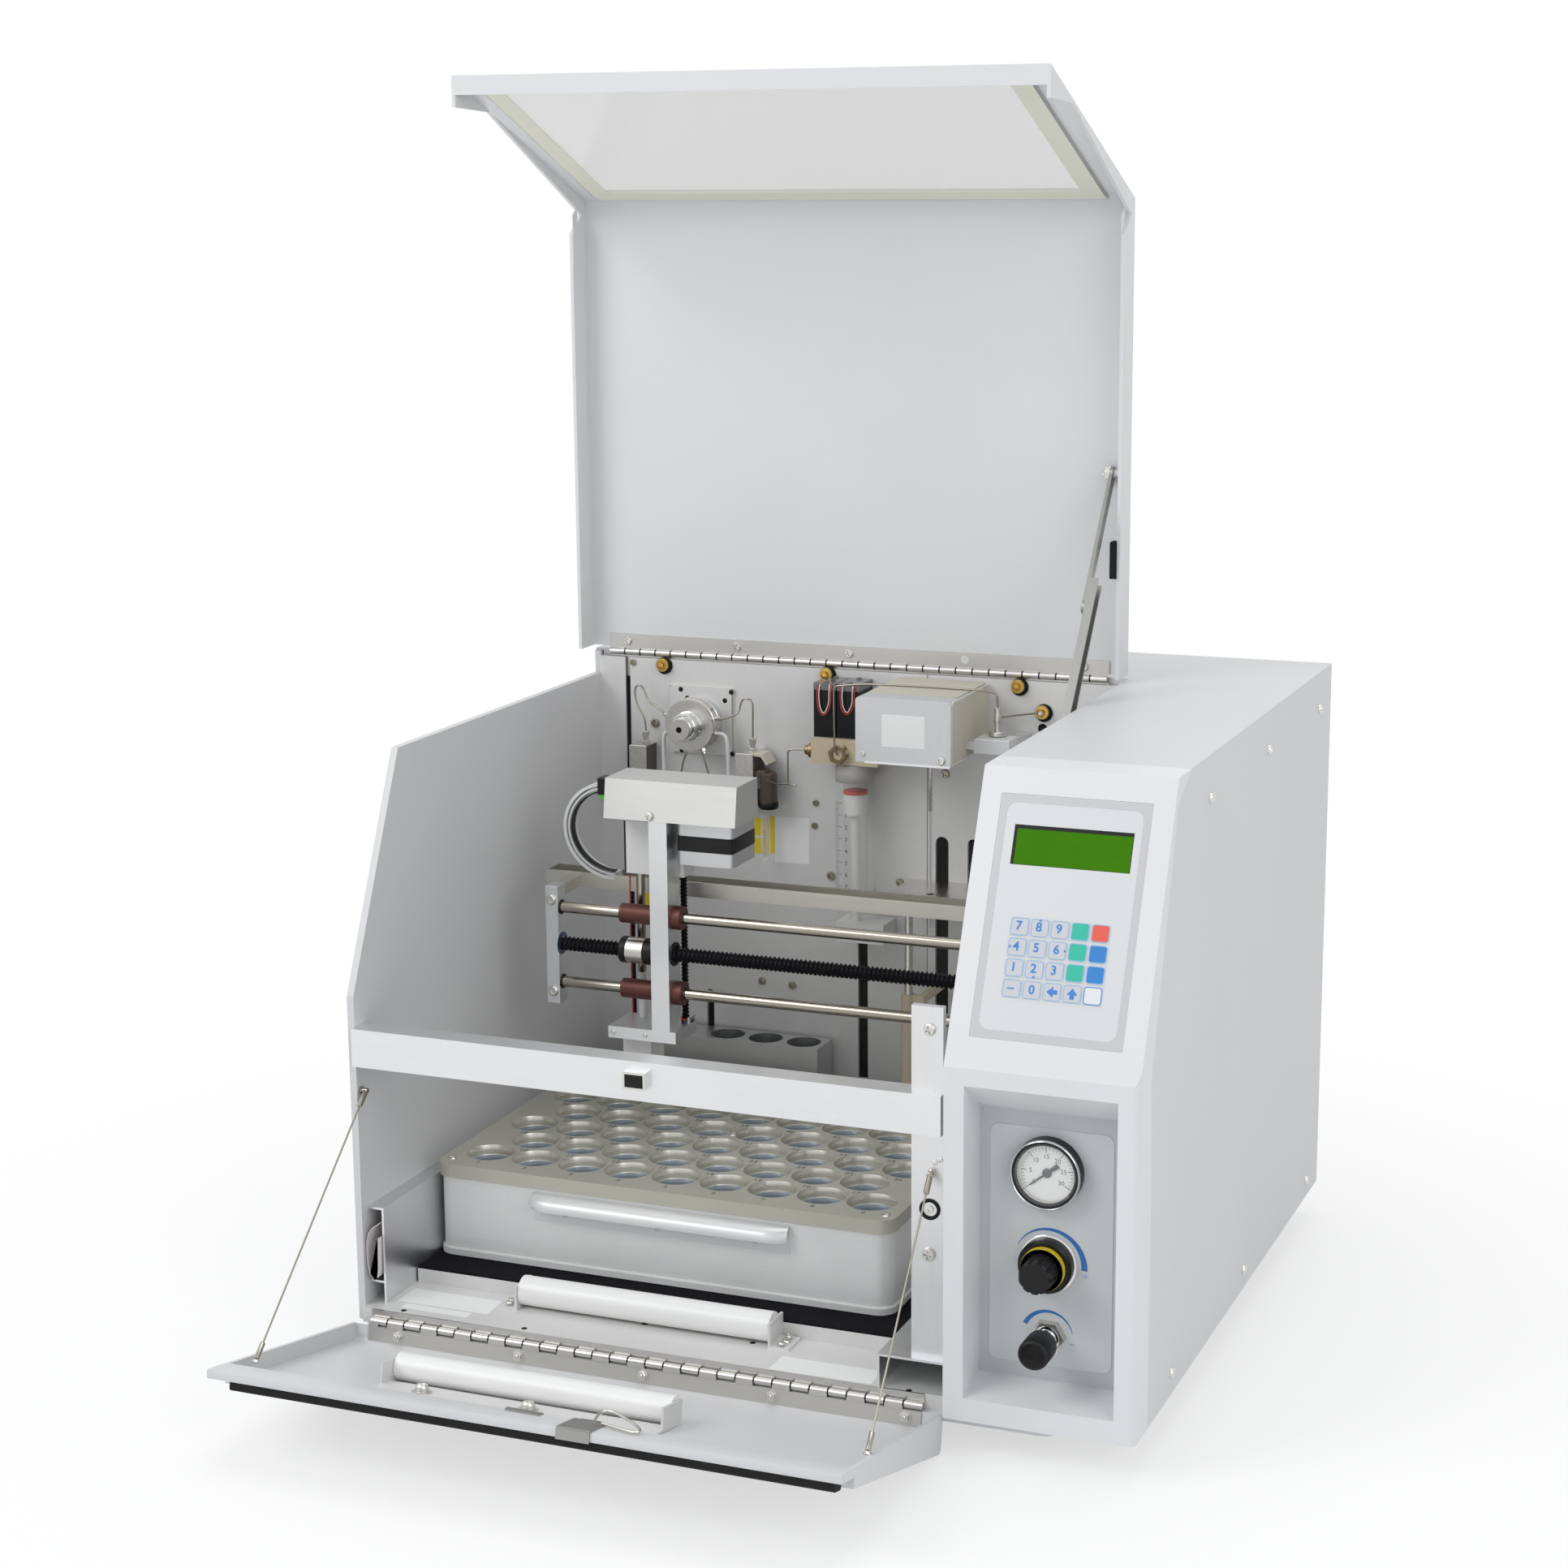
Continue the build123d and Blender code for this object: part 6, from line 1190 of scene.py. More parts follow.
# %% Blank labels on the wall and the heater
labels = Shape()
labels.plate(rounded(267, 357, 299.5, 380.4, 0.6), facing_front(300), (0, 0.15))
labels.plate(rounded(149.1, 244, 177.4, 279.6, 0.5), facing_front(wall), (0, 0.2))
labels.piece("blank_labels", "case", blank_label)
stickers = Shape()
for corners in ((126.5, 263.4, 144.3, 277), (126.5, 249.5, 144.3, 261.6), (145.4, 250.5, 149.2, 279.4)):
    stickers.plate(rounded(*corners, 0.3), facing_front(wall), (0, 0.22))
stickers.piece("yellow_stickers", "case", yellow_plastic)
print("bay wall dressed")

# %% [markdown]
# The gantry moves on two polished rods and a black lead screw. The screw's thread is one
# closed skin: each ring of points is a slice of the screw, and the thread comes from letting
# a point's radius depend on how far it is along the axis and round it at the same time.

# %% Cut the threads
def thread(start, facing, length, radius, depth, pitch, sides=18, slices=7):
    """A threaded rod, threaded over its whole length."""
    axis = Vector(facing)
    across = axis.orthogonal().normalized()
    other = axis.cross(across)
    rings = []
    for step in range(int(length / pitch * slices) + 1):
        along = min(step * pitch / slices, length)
        ring = []
        for side in range(sides):
            share = side / sides
            wave = abs(((along / pitch - share) % 1) * 2 - 1)
            reach = radius - depth * min(1, wave * 1.5)
            turn = math.tau * share
            ring.append(Vector(start) + axis * along + across * math.cos(turn) * reach
                        + other * math.sin(turn) * reach)
        rings.append(ring)
    return Shape().skin(rings)


black_screw = coated("black_screw", (0.006, 0.006, 0.008), 0.32, peel=0.0006, drift=0.2, shine=0.12)
rod_y, screw_z = 199, 218.8
lead = thread((60.8, rod_y, screw_z), to_right, 337.4, 5.4, 1.3, 3.3)
lead.turned((51, rod_y, screw_z), to_right, ((0, 3.9), (11, 3.9)), sides=24)
lead.turned((397.5, rod_y, screw_z), to_right, ((0, 3.9), (12, 3.9)), sides=24)
lead = lead.piece("x_screw_thread", "x_screw", black_screw)
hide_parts("x_leadscrew")
lift_x, lift_y = 147.7, 218
upright_screw = thread((lift_x, lift_y, 164.8), upward, 151.1, 2.8, 0.8, 2.6, sides=14)
upright_screw.turned((lift_x, lift_y, 160.6), upward, ((0, 2.1), (5, 2.1)), sides=20)
upright_screw = upright_screw.piece("z_screw_thread", "z_screw", black_screw)
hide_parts("z_screw")
print("threads cut:", len(lead.data.polygons) + len(upright_screw.data.polygons), "faces")

# %% Dress the carriage
bearing_blue = coated("bearing_blue", (0.03, 0.05, 0.11), 0.3, peel=0.0008)
nut_ends = Shape()
for start, end in ((108.2, 113.6), (126.6, 134.9)):
    nut_ends.turned((start, rod_y, screw_z), to_right,
                    ((0, 7), (0, 8.9), (0.6, 9.5), (end - start - 0.6, 9.5), (end - start, 8.9),
                     (end - start, 7)), sides=48, wrap=True)
nut_ends.turned((148.85, rod_y, screw_z), to_right, ((0, 6.3), (0, 8.6), (0.9, 8.3), (0.9, 6.3)), sides=40,
                wrap=True)
nut_ends.piece("carriage_nut_ends", "carriage", black_plastic_and_shade)
Shape().turned((113.6, rod_y, screw_z), to_right, ((0, 7), (0, 9.25), (13, 9.25), (13, 7)), sides=48,
               wrap=True).piece("carriage_nut_sleeve", "carriage", machined_steel)
motor = Shape()
for low, high in ((284.95, 294.8), (305.8, 315.95)):
    motor.plate(rounded(152.7, 195.7, 195.3, 238.3, 3.6), lying(0), (low, high), 0)
motor.plate(rounded(152.85, 195.85, 195.15, 238.15, 2.4), lying(0), (294.8, 305.8), 1)
motor.plate(rounded(152.55, 197.6, 195.45, 236.4, 5.0), lying(0), (296.2, 304.4), 1)
motor.plate(rounded(154.6, 195.5, 193.4, 238.5, 5.0), lying(0), (296.2, 304.4), 1)
motor.piece("motor_case", "carriage", metal("cast_grey", (0.60, 0.61, 0.62), 0.42, grain_size=0.0012),
            black_plastic_and_shade)
ends = [((x, y, 284.95), (0, 0, -1), 2.0) for x in (157, 191) for y in (200, 234)]
screws("carriage_screws", "carriage",
       ends + [((136.2, 186.9, 319.5), front, 3.0), ((104.5, 187.9, 160.2), front, 1.8),
               ((129.4, 187.9, 160.2), front, 1.8)])
feet = Shape()
feet.turned((lift_x, lift_y, 164.5), upward, ((0, 3.2), (0, 6.2), (1.6, 6.0), (1.6, 3.2)), slot=0, sides=36,
            wrap=True)
feet.turned((lift_x, lift_y, 166.1), upward, ((0, 3.2), (0, 5.2), (1.2, 5.0), (1.2, 3.2)), slot=1, sides=36,
            wrap=True)
feet.block((151.3, 213, 164.5), (152.9, 223.6, 168.5), slot=2)
feet.piece("z_screw_foot", "carriage", bearing_blue, red_wire, machined_steel)
Shape().turned((114.3, lift_y, 198), upward, ((0, 3.04), (0.4, 3.1), (73.2, 3.1), (73.6, 3.04)),
               sides=32).turned((114.3, lift_y, 139.6), upward,
                                ((0, 7.5), (0.5, 8), (11.6, 8), (12.4, 7), (12.6, 4)),
                                sides=40).piece("gripper_sleeve", "gripper", polished_steel)
Shape().plate([(106, 272.2), (107.3, 272.2), (107.3, 309.8), (106, 309.8)], facing_front(209.5),
              (0, 0.15)).piece("gripper_block_edge", "gripper", black_plastic_and_shade)
tube("carriage_red_wire", "carriage",
     [(104.5, 222, 165), (103.8, 222, 200), (104, 222, 240), (104.6, 221, 272)], 0.55, red_wire)
plugs = Shape()
plugs.block((88.6, 204, 328.4), (101, 216, 340.6), slot=0,
            edge=0.8).block((90, 203.6, 325.6), (101, 216, 328.4), slot=1)
plugs.piece("carriage_plug", "carriage", black_plastic_and_shade,
            coated("plug_green", (0.08, 0.42, 0.05), 0.4, peel=0.0008))

# %% Dress the gantry
repeat("gantry_plate_screws", "gantry", socket_head, screw_steel,
       [((x, 193, z), front, 3.9) for x in (55.75, 404.75) for z in (251.6, 184.4)])
Shape().turned((60.5, rod_y, screw_z), to_right, ((0, 5.0), (0, 8.2), (0.25, 8.2), (0.25, 5.0)), sides=40,
               wrap=True).piece("gantry_bearing", "gantry", bearing_blue)
collars = Shape()
for x, way in ((60.5, 1), (400, -1)):
    for z in (190.5, 245.5):
        collars.turned((x, rod_y, z), (way, 0, 0), ((0, 4.0), (0, 5.4), (0.8, 5.2), (0.8, 4.0)), sides=36,
                       wrap=True)
collars.piece("rod_collars", "gantry", black_metal_and_shade)
Shape().block((50.9, 192.85, 175.5), (60.65, 205.1, 261.7), edge=0.4).piece("gantry_left_plate", "gantry",
                                                                            brushed_upright)
Shape().block((109, 229.2, 241.5), (117.5, 230.2, 253)).piece("gantry_tag", "gantry", yellow_plastic)

# %% [markdown]
# The carriage's flat cable hangs in a loop from the head down to the channel. Both ends belong to different
# bodies; the loop is drawn once where it hangs and is given to neither of them.

# %% Loop the flat cable
start, middle, end = Vector((101, 332.5)), Vector((54.4, 298)), Vector((88, 261))


def circle_through(first, second, third):
    """The middle of the circle through three places."""
    turn = [2 * (second - first), 2 * (third - first)]
    gain = [second.length_squared - first.length_squared, third.length_squared - first.length_squared]
    area = turn[0].x * turn[1].y - turn[0].y * turn[1].x
    return Vector(((gain[0] * turn[1].y - gain[1] * turn[0].y) / area,
                   (turn[0].x * gain[1] - turn[1].x * gain[0]) / area))


hub = circle_through(start, middle, end)
loop_radius = (start - hub).length
first_turn = math.atan2(start.y - hub.y, start.x - hub.x)
last_turn = math.atan2(end.y - hub.y, end.x - hub.x) + math.tau


def loop_strip(shape, inset, thick, low, high, slot):
    """One flat layer of the loop: its inset from the outer edge, its thickness, its span in depth."""
    rings = []
    for step in range(49):
        share = step / 48
        turn = first_turn + (last_turn - first_turn) * share
        shift = 15 * share * share
        ring = []
        for reach, depth in ((inset, low), (inset, high), (inset + thick, high), (inset + thick, low)):
            far = loop_radius + 0.9 - reach
            ring.append((hub.x + far * math.cos(turn), depth + shift, hub.y + far * math.sin(turn)))
        rings.append(ring)
    shape.skin(rings, slot)


cable = Shape()
loop_strip(cable, 0.0, 2.2, 214.8, 228.6, 0)
loop_strip(cable, 3.4, 1.5, 215.4, 227.6, 1)
loop_strip(cable, 6.2, 0.9, 215.2, 220, 2)
cable = cable.object("flat_cable_loop", white_plastic, clear_tube, black_plastic_and_shade)
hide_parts("ribbon_loop")
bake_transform(cable)
print("gantry dressed")

# %% [markdown]
# The tray carries fifty-one wells. Each has a bright cut edge, a grey plastic cup below it
# and a number in front of it, and all three are laid out from the same list of places.

# %% Dress the tray
tray_top, tray_front_face = 88.3, 78.5
well_pitch, row_pitch = 35.56, 34.3
wells = [(45.4 + (place + row % 2 / 2) * well_pitch, 109.5 + row * row_pitch)
         for row in range(6) for place in range(9 - row % 2)]
edge_ring = pattern("well_edge_pattern",
                    Shape().turned((0, 0, 0), upward,
                                   ((0.02, 17.3), (0.1, 17.15), (0.05, 16.85), (-0.9, 16.4), (-6.2, 15.9),
                                    (-6.4, 15.3), (-7.0, 15.1), (-7.2, 15.4)), sides=48, wrap=True))
cup = pattern("well_cup_pattern", Shape().turned(
    (0, 0, 0), upward, ((-7.0, 15.0), (-34, 14.5), (-34, 0.3), (-33, 0.3), (-33, 13.2), (-9.4, 13.8),
                           (-7.3, 14.6)), sides=32, wrap=True))
well_edge = metal("well_edge", (0.70, 0.69, 0.63), 0.30, grain_size=0.0006, stain=0.03, metallic=0.75)
cup_grey = coated("cup_grey", (0.30, 0.35, 0.40), 0.25, peel=0.0015)
well_places = [((x, y, tray_top), upward, 1.0) for x, y in wells]
repeat("tray_well_edges", "tray", edge_ring, well_edge, well_places, spin=0.0)
repeat("tray_well_cups", "tray", cup, cup_grey, well_places, spin=0.0)
print("wells:", len(wells))
engraved = coated("engraved_digits", (0.17, 0.17, 0.15), 0.5, peel=0.0006)
letters("tray_numbers", "tray", [(str(count + 1), x + 1.5, y - 21.3) for count, (x, y) in enumerate(wells)],
        lying(tray_top), 6.4, engraved, bold=0.12, lift=0.06)
screws("tray_screws", "tray",
       [((x, y, tray_top - 0.2), upward, (3.1, 3.1, 1.6))
        for x, y in ((26, 89.7), (347.6, 89.2), (189, 205.5), (26, 307), (347.6, 307))])
screws("handle_screws", "tray",
       [((x, 77.6, 63.0), front, 2.4) for x in (117.6, 187.5, 258.5)])
Shape().frame(rounded(18.1, 77.1, 355.4, 319.9, 12.5), rounded(21, 80, 352.5, 317, 10), lying(22.3),
              (0.2, 4.6)).frame(rounded(18.7, 77.7, 354.8, 319.3, 12), rounded(21, 80, 352.5, 317, 10),
                                lying(22.3), (4.6, 5.2)).piece("tray_foot_rim", "tray", tray_sheet)
handle_curve = [(78.4, 76.4), (75.0, 76.2), (71.4, 75.2), (68.8, 73.3), (67.2, 70.8), (66.6, 68.0),
                (66.9, 66.4)]
inner_curve = [(y + 0.6 + 0.7 * (78.4 - y) / 12, z - 1.3 + 0.9 * (76.4 - z) / 10) for y, z in handle_curve]
handle = Shape()
rings = []
for step in range(25):
    share = step / 24
    from_end = min(share, 1 - share) * 189
    shrink = 1 - 0.42 * max(0, 1 - from_end / 9) ** 2
    x = 95.2 + 188.6 * share
    rings.append([(x, 78.4 - (78.4 - y) * shrink, z) for y, z in handle_curve + inner_curve[::-1]])
handle.skin(rings)
handle.plate(rounded(95.4, 56.4, 283.6, 76.4, 0.8), facing_front(tray_front_face), (-0.4, 0.9))
handle = handle.piece("tray_handle_lip", "tray", handle_sheet)
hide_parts("tray_handle")
Shape().plate(rounded(33, 66, 72, 75, 0.5), facing_front(tray_front_face), (-0.1, 0.25)).piece(
    "tray_label", "tray", blank_label)

# %% Dress the bay floor
deck = 10.5
deck_labels = Shape()
deck_labels.plate([(22, 14.5), (90, 14), (90, 38), (22, 38)], lying(deck), (0, 0.2))
deck_labels.plate([(301, -3), (371, -2), (370, 19), (302, 19)], lying(deck), (0, 0.2))
deck_labels.plate([(30, 4.6), (80, 4.2), (80, 12), (30, 12)], lying(deck), (0, 0.2))
deck_labels.piece("deck_labels", "case", blank_label)
# Black discs on the deck where its holes are: painted shade inside the holes.
repeat("deck_holes", "case", pin_head, black_rubber_and_shade,
       [((x, y, deck - 0.02), upward, (2.0, 2.0, 0.25))
        for x, y in ((34.4, 0.2), (124.6, 1.1), (275.3, 32.7), (396.5, -2.8), (195.8, 36.9))], spin=0.0)
screws("bracket_screws", "case",
       [((x, y, 13.3), upward, 2.6) for x, y in ((98.5, 31.4), (98.5, 44.2), (296.2, 31.4), (296.2, 44.2))])
Shape().block((206.6, -10.2, 189.9), (220.2, -9.6, 199.2)).piece("magnet_face", "case", black_metal_and_shade)
Shape().frame(rounded(205.5, 188.8, 221.2, 200.2, 0.4), rounded(207, 190.2, 219.8, 198.8, 0.3),
              facing_front(-9.9), (0, 0.4)).piece("magnet_frame", "case", screw_steel)
post = Shape()
post.turned((409.2, 0, 130.9), front,
            ((-0.5, 6.8), (0.8, 6.8), (1.3, 6.2), (1.3, 5.0), (-0.2, 4.4), (-0.2, 0.5)), slot=0, sides=36)
post.turned((409.2, -0.1, 130.9), front, ((0, 2.3), (1.2, 2.2), (1.3, 1.0), (0.5, 0.8)), slot=1, sides=28)
for x, z in ((412.6, 161.6), (416.3, 163.8)):
    post.turned((x, 0, z), front, ((-0.3, 1.6), (0.7, 1.5), (1.0, 1.0)), slot=1, sides=20)
post.piece("post_grommet", "case", black_rubber_and_shade, screw_steel)

# %% [markdown]
# A sheet of paper is stuck in the mouth of the left guide, rolled up by hand. Its section
# is an open curl, thickened a little and drawn out along the guide.

# %% Roll the paper in the guide
curl_points = [(14.6, 67.5), (11.0, 65.2), (7.6, 61.0), (6.0, 54.5), (5.7, 46.5), (6.2, 38), (8.0, 31.6),
               (10.6, 28.0), (12.8, 29.6), (13.6, 35.0), (13.9, 43), (14.0, 52), (14.3, 57.6)]
paper = Finish("rolled_paper", Roughness=0.7)
paper_tone = paper.noise(0.03, detail=2.0)
paper.feed(Base_Color=paper.blend(paper_tone, (0.78, 0.72, 0.72), (0.82, 0.79, 0.78)))
roll = Shape()
rings = []
for depth in range(0, 31):
    y = 2.6 + depth * 6
    sway = 0.25 * math.sin(depth * 0.5)
    rings.append([(x, y, z + sway) for x, z in curl_points] + [(x + 0.5, y, z + sway)
                                                               for x, z in curl_points[::-1]])
roll.skin(rings)
roll = roll.piece("rolled_paper", "case", paper.material)
curl_length = sum(math.dist(*pair) for pair in zip(curl_points, curl_points[1:])) / 1000
print("tray and floor dressed")

# %% [markdown]
# The front door hangs open at a slight angle. Its parts are placed in its own directions:
# along the hinge, out from it and up from it, and one function turns those into the scene.

# %% Dress the door
door_tilt = math.radians(11.5)


def on_door(x, out, rise):
    """A place on the open door, by its distance out of the hinge and above it."""
    return (x, -7.2 - out * math.cos(door_tilt) + rise * math.sin(door_tilt),
            3.2 + out * math.sin(door_tilt) + rise * math.cos(door_tilt))


door_up = (0, math.sin(door_tilt), math.cos(door_tilt))
door_out = (0, -math.cos(door_tilt), math.sin(door_tilt))


def across_door(out, rise, x):
    """Sets a section of the door, drawn as out and rise, at a place along the hinge."""
    return on_door(x, out, rise)


def standing(start):
    """Sets a flat drawing upright on the door, at a distance out of the hinge."""
    return lambda x, rise, out: on_door(x, start + out, rise)


lip_and_skin = [(178.6, -2.6), (179.7, -3.1), (180, -4.2), (180, -7.4), (179.4, -8.4), (178.2, -8.7),
                (158.6, -8.7), (158, -9.4), (158, -15.6), (3.2, -27.6), (0.3, -25.4)]
pan_section = [(0.3, -3.1), (1.5, -3.1), (1.5, -11.2), (2.0, -12.7), (3.2, -13.6), (5.0, -14.0),
               (152.0, -13.8), (154.4, -13.3), (155.4, -12.0), (155.6, -4.2), (156.4, -3.0),
               (158, -2.6)] + lip_and_skin
side_section = [(0.3, -3.1), (1.2, -2.7)] + lip_and_skin
door_pan = Shape()
door_pan.plate(pan_section, across_door, (2.4, 418.6))
for low, high in ((0.0, 2.5), (418.5, 421.0)):
    door_pan.plate(side_section, across_door, (low, high))
door_pan = door_pan.piece("door_pan", "door", housing_paint)
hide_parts("door_panel")
# Two black plates along the door's front edge, one on its front wall and one under the lip: painted shade
# below the lip.
Shape().plate([(158.1, -15.4), (158.9, -15.0), (158.9, -8.9), (158.1, -8.9)], across_door,
              (9, 412)).plate([(168, -8.6), (168, -13.2), (169.2, -14.4), (177.6, -14.0), (178.8, -12.8),
                               (178.8, -8.6)], across_door, (16, 417)).piece("door_grip_strip", "door",
                                                                             black_rubber_and_shade)

# %% Hang the leaf of the door
leaf_back = 1.55
hinge_pitch = 25.4
knuckle_count = 15
first_knuckle = 33
hinge_pin = (-7.2, 3.2)
leaf = Shape()
leaf.plate([(13, -12.9), (407.3, -12.9), (407.3, -3.2), (13, -3.2)], standing(leaf_back), (0, 1.05))
for step in range(knuckle_count):
    middle = first_knuckle + hinge_pitch * step
    leaf.plate([(middle - 6.1, -3.4), (middle + 6.1, -3.4), (middle + 6.1, 0.3), (middle - 6.1, 0.3)],
               standing(leaf_back), (0, 1.05))
    leaf.turned((middle - 6.1, *hinge_pin), to_right, ((0, 1.25), (0, 2.6), (12.2, 2.6), (12.2, 1.25)),
                sides=28, wrap=True)
leaf.plate([(13, -3.4), (20.1, -3.4), (20.1, -0.6), (13, -0.6)], standing(leaf_back), (0, 1.05))
leaf = leaf.piece("door_leaf", "door", leaf_steel)
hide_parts("door_hinge_leaf")
stud_nut = pattern("stud_nut_pattern", Shape().turned(
    (0, 0, 0), upward, ((0, 1.25), (0.2, 1.25), (0.22, 1.1)), sides=28).turned(
    (0, 0, 0.2), upward, ((0, 1.0), (0.1, 1.06), (0.75, 1.06), (0.88, 0.9)), sides=6).turned(
    (0, 0, 0.9), upward, ((0, 0.5), (0.5, 0.5), (0.62, 0.38)), sides=16))
repeat("door_leaf_nuts", "door", stud_nut, screw_steel,
       [(on_door(35.6 + 90.35 * step, 2.6, -7.4), door_out, 3.0) for step in range(5)])
ring_shapes = Shape()
for x in (116.4, 190.6):
    ring_shapes.turned(on_door(x, 116, -12.2), door_up,
                   ((0, 6.4), (1.0, 6.4), (1.2, 6.0), (1.2, 4.6), (2.2, 4.5), (2.4, 3.9)), sides=32)
ring_shapes.piece("door_roller_washers", "door", stainless)
screws("door_roller_screws", "door",
       [(on_door(x, 116, -10.0), door_up, (4.2, 4.2, 5.5)) for x in (116.4, 190.6)])

clips = Shape()
clips.plate([(196, 155.6), (221, 156.6), (219.6, 162.4), (197, 161.4)], on_door, (-2.5, -1.6))
clips.plate([(241, 156), (263, 157.4), (263, 180.2), (241, 180.2)], on_door, (-2.5, -1.5))
clips.plate([(241, -2.4), (263, -2.4), (263, -9.2), (241, -9.2)],
            standing(180.2), (-0.2, 0.9))
clips.plate([(245, -12.6), (259, -12.6), (259, -1.6), (245, -1.6)],
            standing(155.4), (-0.9, 0.0))
clips.piece("door_clip", "door", dark_stay)
tube("door_clip_wire", "door", [on_door(256, 160, -0.9), on_door(252, 146, 1.6), on_door(258, 142, 2.6),
                                on_door(270, 148, 1.4), on_door(288, 163, 0.2), on_door(289, 169, -0.7),
                                on_door(284, 170, -0.9), on_door(262, 162, -0.6)], 0.9, machined_steel)

# %% String the stay wires
stays = Shape()
for anchor, door_end in (((8.9, 4.7, 161), on_door(14, 146, -0.7)),
                         ((410.7, -3.8, 154.7), on_door(417, 126, -0.7))):
    way = Vector(door_end) - Vector(anchor)
    length = way.length
    stays.turned(anchor, way, [(0, 0.65)] + [(length * step / 30, 0.65) for step in range(1, 31)], sides=10)
    stays.turned(anchor, way, ((0, 1.4), (0.6, 1.9), (12.4, 1.9), (13, 1.4)), sides=20)
    stays.turned(Vector(door_end) - way.normalized() * 12, way,
                 ((0, 1.3), (0.6, 1.7), (11.4, 1.7), (12, 1.2)), sides=20)
stays.turned((5, 4.7, 161), to_right, ((0, 2.6), (1.6, 2.6), (2.0, 1.9), (5.4, 1.9), (5.8, 1.3)), sides=24)
stays.turned((410.7, 0, 154.7), front, ((0, 2.6), (1.4, 2.6), (1.8, 1.9), (5.6, 1.9), (6.0, 1.3)), sides=24)
stays = stays.object("door_stay_wires", polished_steel)
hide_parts("stay_wires")
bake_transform(stays)
eyes = Shape()
for x, out in ((14, 146), (417, 126)):
    eyes.turned(on_door(x, out, -2.6), door_up, ((0, 2.8), (0.8, 2.8), (1.2, 2.0), (2.2, 1.4)), sides=24)
eyes.piece("door_wire_eyes", "door", screw_steel)

# %% Painted shade in the hinge gaps
# Thin black rings at both ends of every knuckle: painted shade in the running gaps between the knuckles.
gap_shade_ring = pattern("hinge_gap_pattern",
               Shape().turned((0, 0, 0), upward, ((-0.55, 2.0), (-0.55, 2.72), (0.55, 2.72), (0.55, 2.0)),
                              sides=24, wrap=True))
for name, pin in (("door_hinge_gaps", hinge_pin), ("lid_hinge_gaps", (386.8, 399))):
    repeat(name, "case", gap_shade_ring, black_metal_and_shade,
           [((first_knuckle + hinge_pitch * (step + side / 4), *pin), to_right, 1.0)
            for step in range(knuckle_count) for side in (-1, 1)])
print("door dressed")

# %% [markdown]
# The lid's window is a clear sheet stuck to the inside of the slanted part with a pale
# tape, which shows as a border. The rest of the lid has a few folded tabs, the hinge's
# screws and the stud of the stay.

# %% Dress the lid
window_tape = coated("window_tape", (0.78, 0.77, 0.66), 0.5, peel=0.002, drift=0.04)
slant_run, slant_rise = 201, 86
slant = math.hypot(slant_run, slant_rise)


def under_slant(x, along, inward):
    """A place under the lid's slanted part, from the bend toward the front edge."""
    return (x, 391 - along * slant_run / slant - inward * slant_rise / slant,
            738 + along * slant_rise / slant - inward * slant_run / slant)


Shape().frame(rounded(14.5, 10.5, 404, 211, 1), rounded(28.5, 23.5, 389.5, 199.5, 1), under_slant,
              (4.5, 4.9)).piece("window_tape", "lid", window_tape)
Shape().frame(rounded(20.5, 16.5, 398, 205.2, 1), rounded(22.2, 18.2, 396.3, 203.4, 1), under_slant,
              (-0.02, 0.35)).piece("window_outer_edge", "lid", window_tape)
tabs = Shape()
for x, way in ((-0.5, 1), (419, -1)):
    def on_flange(y, z, rise):
        return (x + way * rise, y, z)

    tabs.plate([(366.2, 690), (374, 690), (374, 733), (366.2, 727)], on_flange, (0, 0.4))
    tabs.plate([(351, 744), (357.6, 748.6), (344.8, 762), (338.2, 757.4)], on_flange, (0, 0.4))
    tabs.plate([(191.8, 803.5), (206, 803.5), (206, 810.4), (191.8, 810.4)], on_flange, (0, 0.4))
tabs.piece("lid_tabs", "lid", lid_paint)
Shape().block((414.2, 364.6, 475), (419.1, 372, 501.5), edge=0.8).piece(
    "lid_pad", "lid", black_rubber_and_shade)
screws("lid_leaf_screws", "lid",
       [((x, 387.3, 407.4), front, 3.4) for x in (28.4, 118.8, 209.2, 390)])
Shape().turned((299.6, 387.3, 407.4), front, ((0, 3.0), (0.2, 3.0), (0.25, 1.6), (0.02, 1.5)),
               sides=28).piece("lid_leaf_hole", "lid", zinc_plate)
stud = Shape()
stud.turned((409.2, 382.6, 547.4), to_left,
            ((-0.6, 5.6), (0.6, 5.6), (0.8, 4.9), (3.6, 4.9), (4.2, 4.2), (4.2, 2.2), (6.0, 2.0)), sides=6)
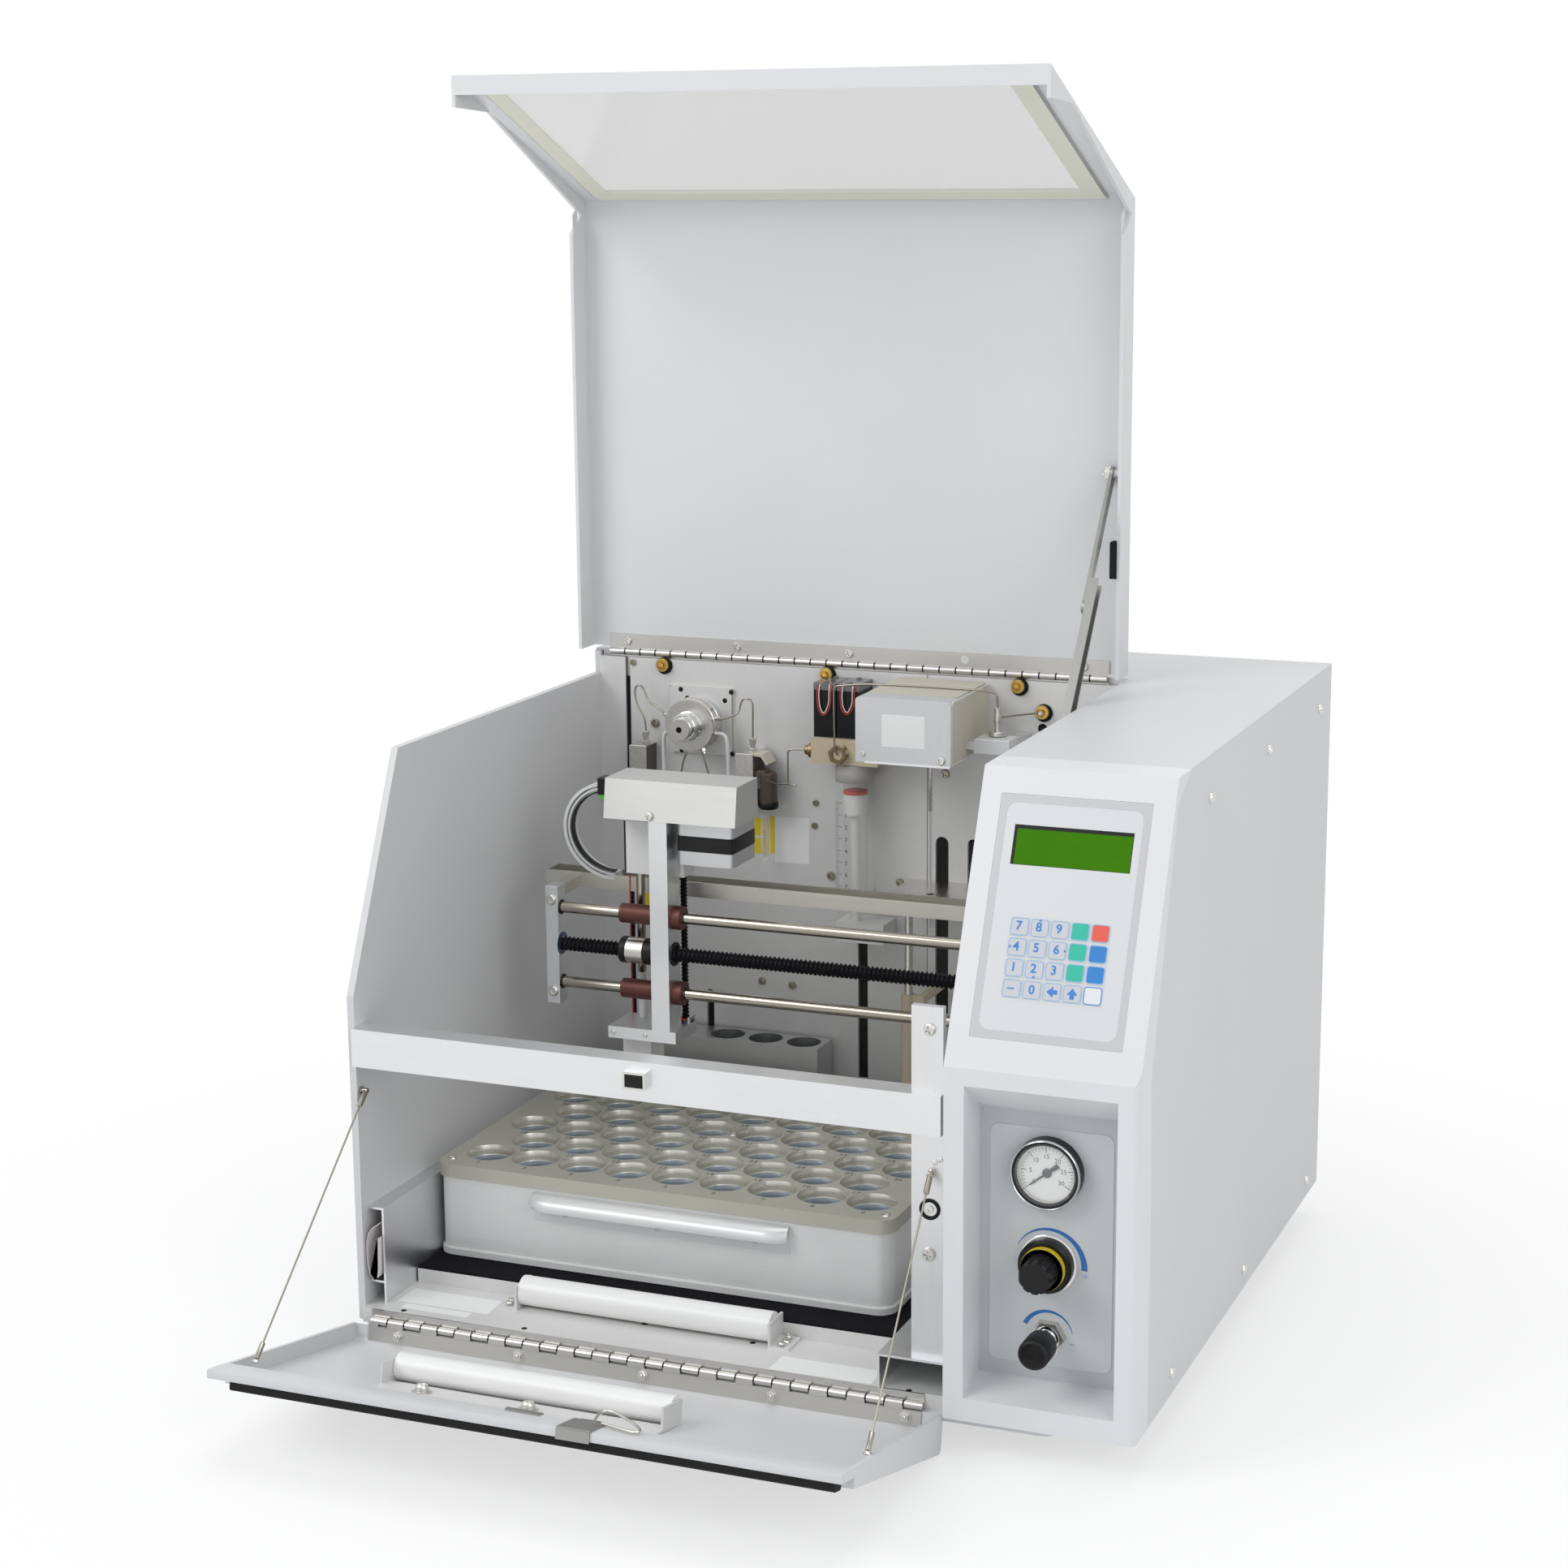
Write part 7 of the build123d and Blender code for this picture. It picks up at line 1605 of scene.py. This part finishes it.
stud.turned((418.9, 382.6, 547.4), to_left, ((0, 6.2), (1.2, 6.2), (1.4, 4.8), (3.4, 4.8)), sides=28)
stud.piece("stay_stud_nut", "lid", screw_steel)
rivets = Shape()
bar_length, bar_turn = 108, math.radians(52.56)
rivets.turned((409.3, 382.6 - bar_length * math.cos(bar_turn), 547.4 - bar_length * math.sin(bar_turn)),
              to_left, ((0, 3.6), (0.6, 3.5), (1.2, 2.6), (1.4, 1.0)), sides=28)
rivets.piece("stay_middle_rivet", "stay_bar", screw_steel)
print("lid dressed")

# %% [markdown]
# The floor is a plain pale sheet that only has to catch the object's soft shadow. Far from
# the object it turns into plain white for the eye and for mirrors, so that no horizon shows.

# %% Lay the floor
floor_finish = Finish("floor_paper", Roughness=0.9)
paper = floor_finish.noise(0.4, detail=2.0)
floor_finish.feed(Base_Color=floor_finish.blend(paper, (0.95, 0.95, 0.95), (0.97, 0.97, 0.97)))
away = floor_finish.node("ShaderNodeVectorMath", {"operation": "LENGTH"},
                         floor_finish.node("ShaderNodeTexCoord", {}).part("Object")).part("Value")
fade = floor_finish.node("ShaderNodeMapRange", {"interpolation_type": "SMOOTHSTEP"}, away, 0.32, 0.85, 0.6,
                         1.0)
rays = floor_finish.node("ShaderNodeLightPath", {})
looked_at = rays.sum("MAXIMUM", rays.part("Is Camera Ray"),
                     rays.sum("MAXIMUM", rays.part("Is Glossy Ray"), rays.part("Is Transmission Ray")))
white = floor_finish.node("ShaderNodeEmission", {}, (1, 1, 1, 1), 1.0)
mixed = floor_finish.node("ShaderNodeMixShader", {}, looked_at * fade)
floor_finish.tree.links.new(floor_finish.shader.outputs[0], mixed.output.node.inputs[1])
floor_finish.tree.links.new(white.output, mixed.output.node.inputs[2])
floor_finish.tree.links.new(mixed.output, floor_finish.tree.nodes["Material Output"].inputs["Surface"])
floor_mesh = bpy.data.meshes.new("floor")
reach = 30
floor_mesh.from_pydata([(-reach, -reach, 0), (reach, -reach, 0), (reach, reach, 0), (-reach, reach, 0)], [],
                       [(0, 1, 2, 3)])
floor_mesh.materials.append(floor_finish.material)
add_object("floor", floor_mesh)
